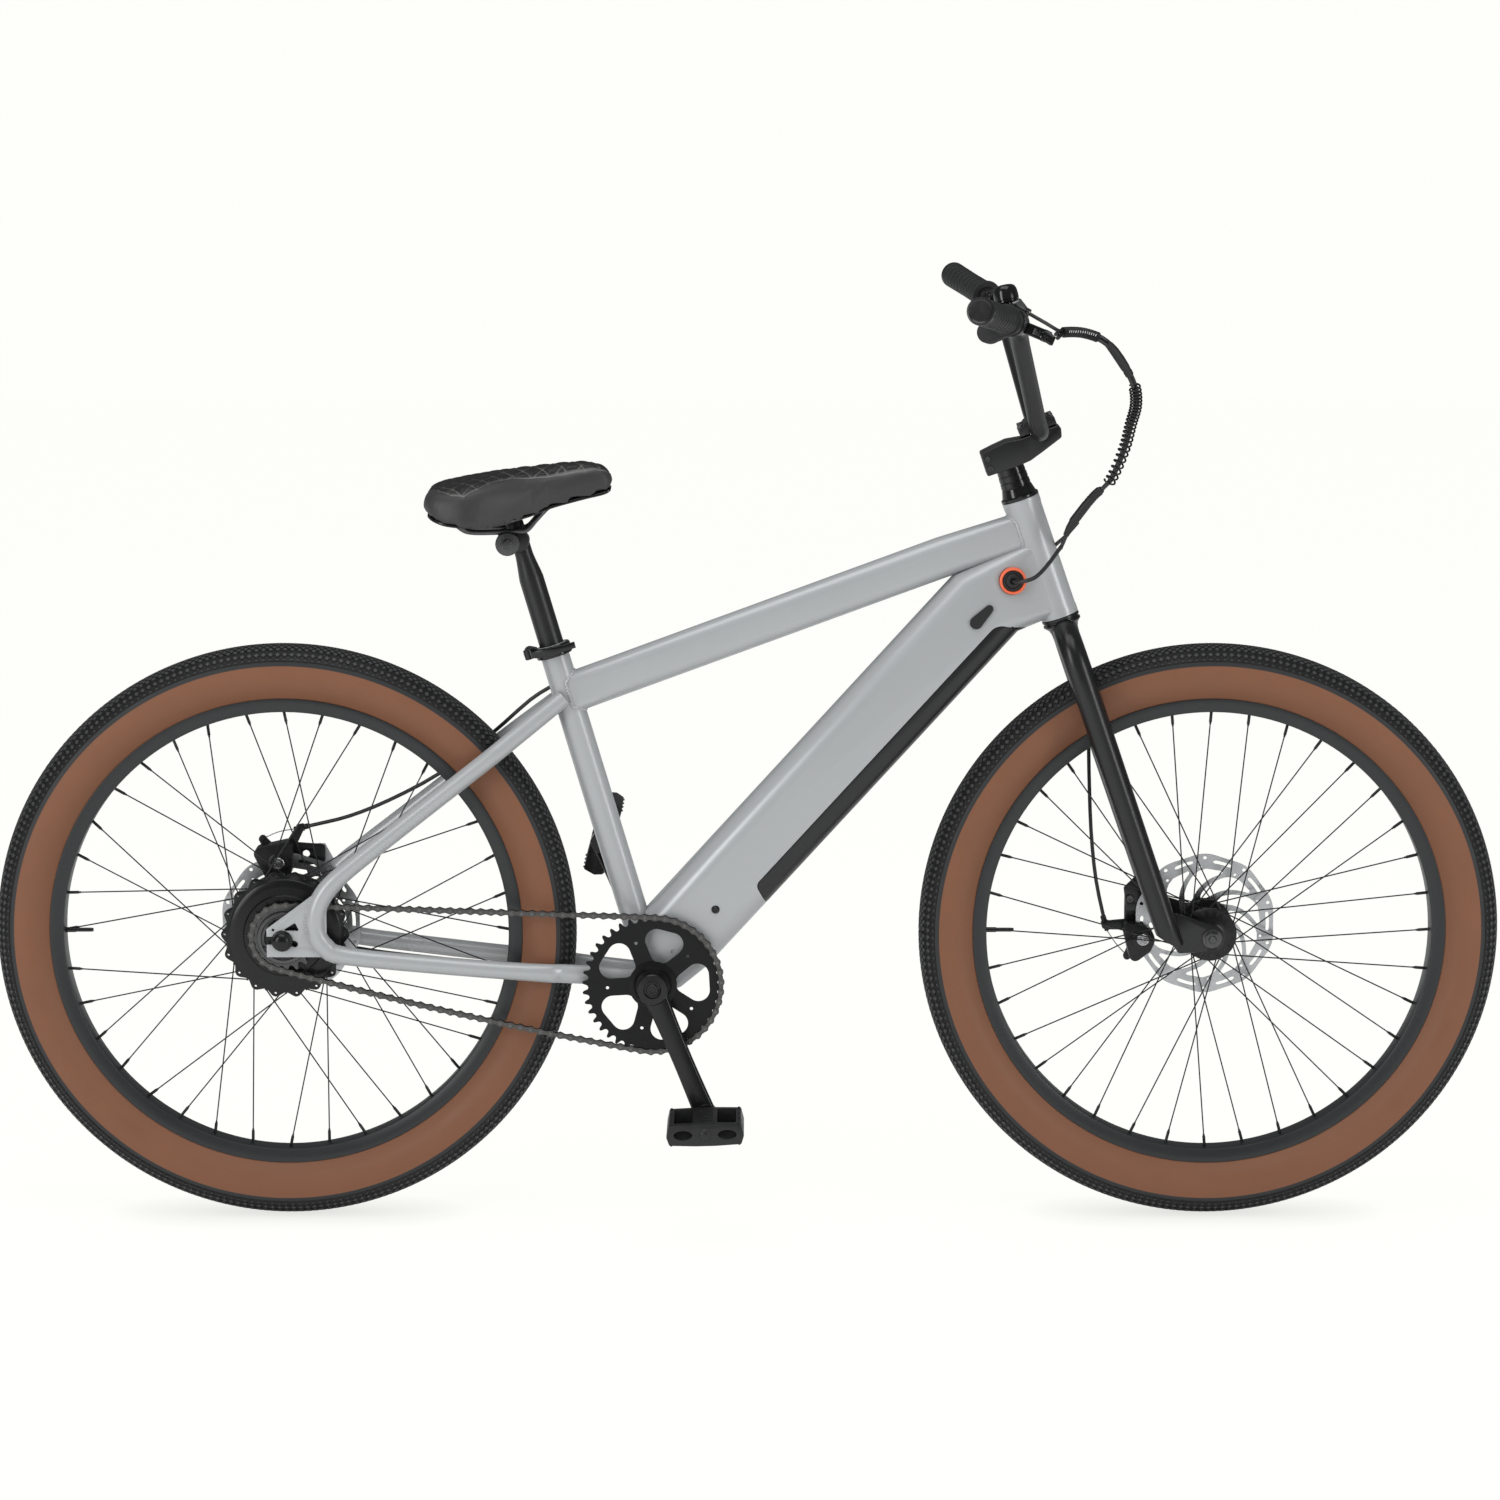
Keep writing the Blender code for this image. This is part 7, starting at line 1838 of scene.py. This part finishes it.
# Port lead: a black rubber cable from the end of the bar's lead into the orange ring, with enough slack to
# let the bar turn.
port_points = mm(
    (383.8, -50.3, 850), (366, -52, 826), (352, -52, 812), (338, -48, 806.5), (328.5, -41.5, 805.1),
    (326, -36, 805), (326, -28.5, 805),
)
port_path = smooth_line(port_points, 5)
port_lead = tube(port_path, 0.0026, 16)
port_lead.name = "port_lead"
port_lead.data.materials.append(hose_black)
only(port_lead)
bpy.ops.object.shade_smooth_by_angle(angle=radians(60.0))
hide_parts("port_cable")
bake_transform(port_lead)

# Brake hoses and the motor lead: black plastic over wound steel or wires. Each brake hose ends in the stop
# of its caliper; the motor's lead leaves its axle in a small loop and runs under the left chain stay.
for name, body, points, radius, node, lay in (
    (
        "front_brake_hose", "steering",
        mm(
            (403, -51, 879), (390, -30, 860), (380, 5, 845), (377, 32, 834), (388, 45, 785), (400, 68, 740),
            (410.8, 78, 704), (422, 78.5, 650), (428.2, 78, 615), (430, 76, 551.6), (433, 70, 476),
            (439.8, 66, 412.5), (452, 64, 356),
        ),
        0.0024, "front_brake_cable", "hanging",
    ),
    (
        "left_brake_hose", "steering",
        mm(
            (356, 179, 1118), (376, 169, 1107), (396.3, 150, 1096.8), (419.4, 90, 1100), (439.8, 0, 1094.8),
            (445.8, -60, 1087.5), (451.5, -115, 1076.5),
        ),
        0.0024, "left_brake_cable", "hanging",
    ),
    (
        "rear_brake_hose", "frame",
        mm(
            (-240, 20, 669), (-271, 25, 648.5), (-322, 40, 602), (-386, 50, 552), (-450, 55, 517), (-500, 60, 496),
            (-540, 65, 485), (-564, 70, 479),
        ),
        0.0024, "rear_brake_cable", "taut",
    ),
    (
        "motor_lead", "frame",
        mm(
            (-560.5, 79, 352.5), (-550, 79, 342), (-530, 76, 329), (-490, 65, 324.5), (-450, 62.5, 319),
            (-360, 56, 310.5), (-300, 51, 305), (-245, 42.5, 300), (-200, 33, 294), (-150, 28, 290),
        ),
        0.0025, "motor_cable", "taut",
    ),
):
    route = smooth_line(points, 3)
    hose = fitted(tube(route, radius, 16), name, body, hose_black, "black_rubber", node, smooth=60.0)
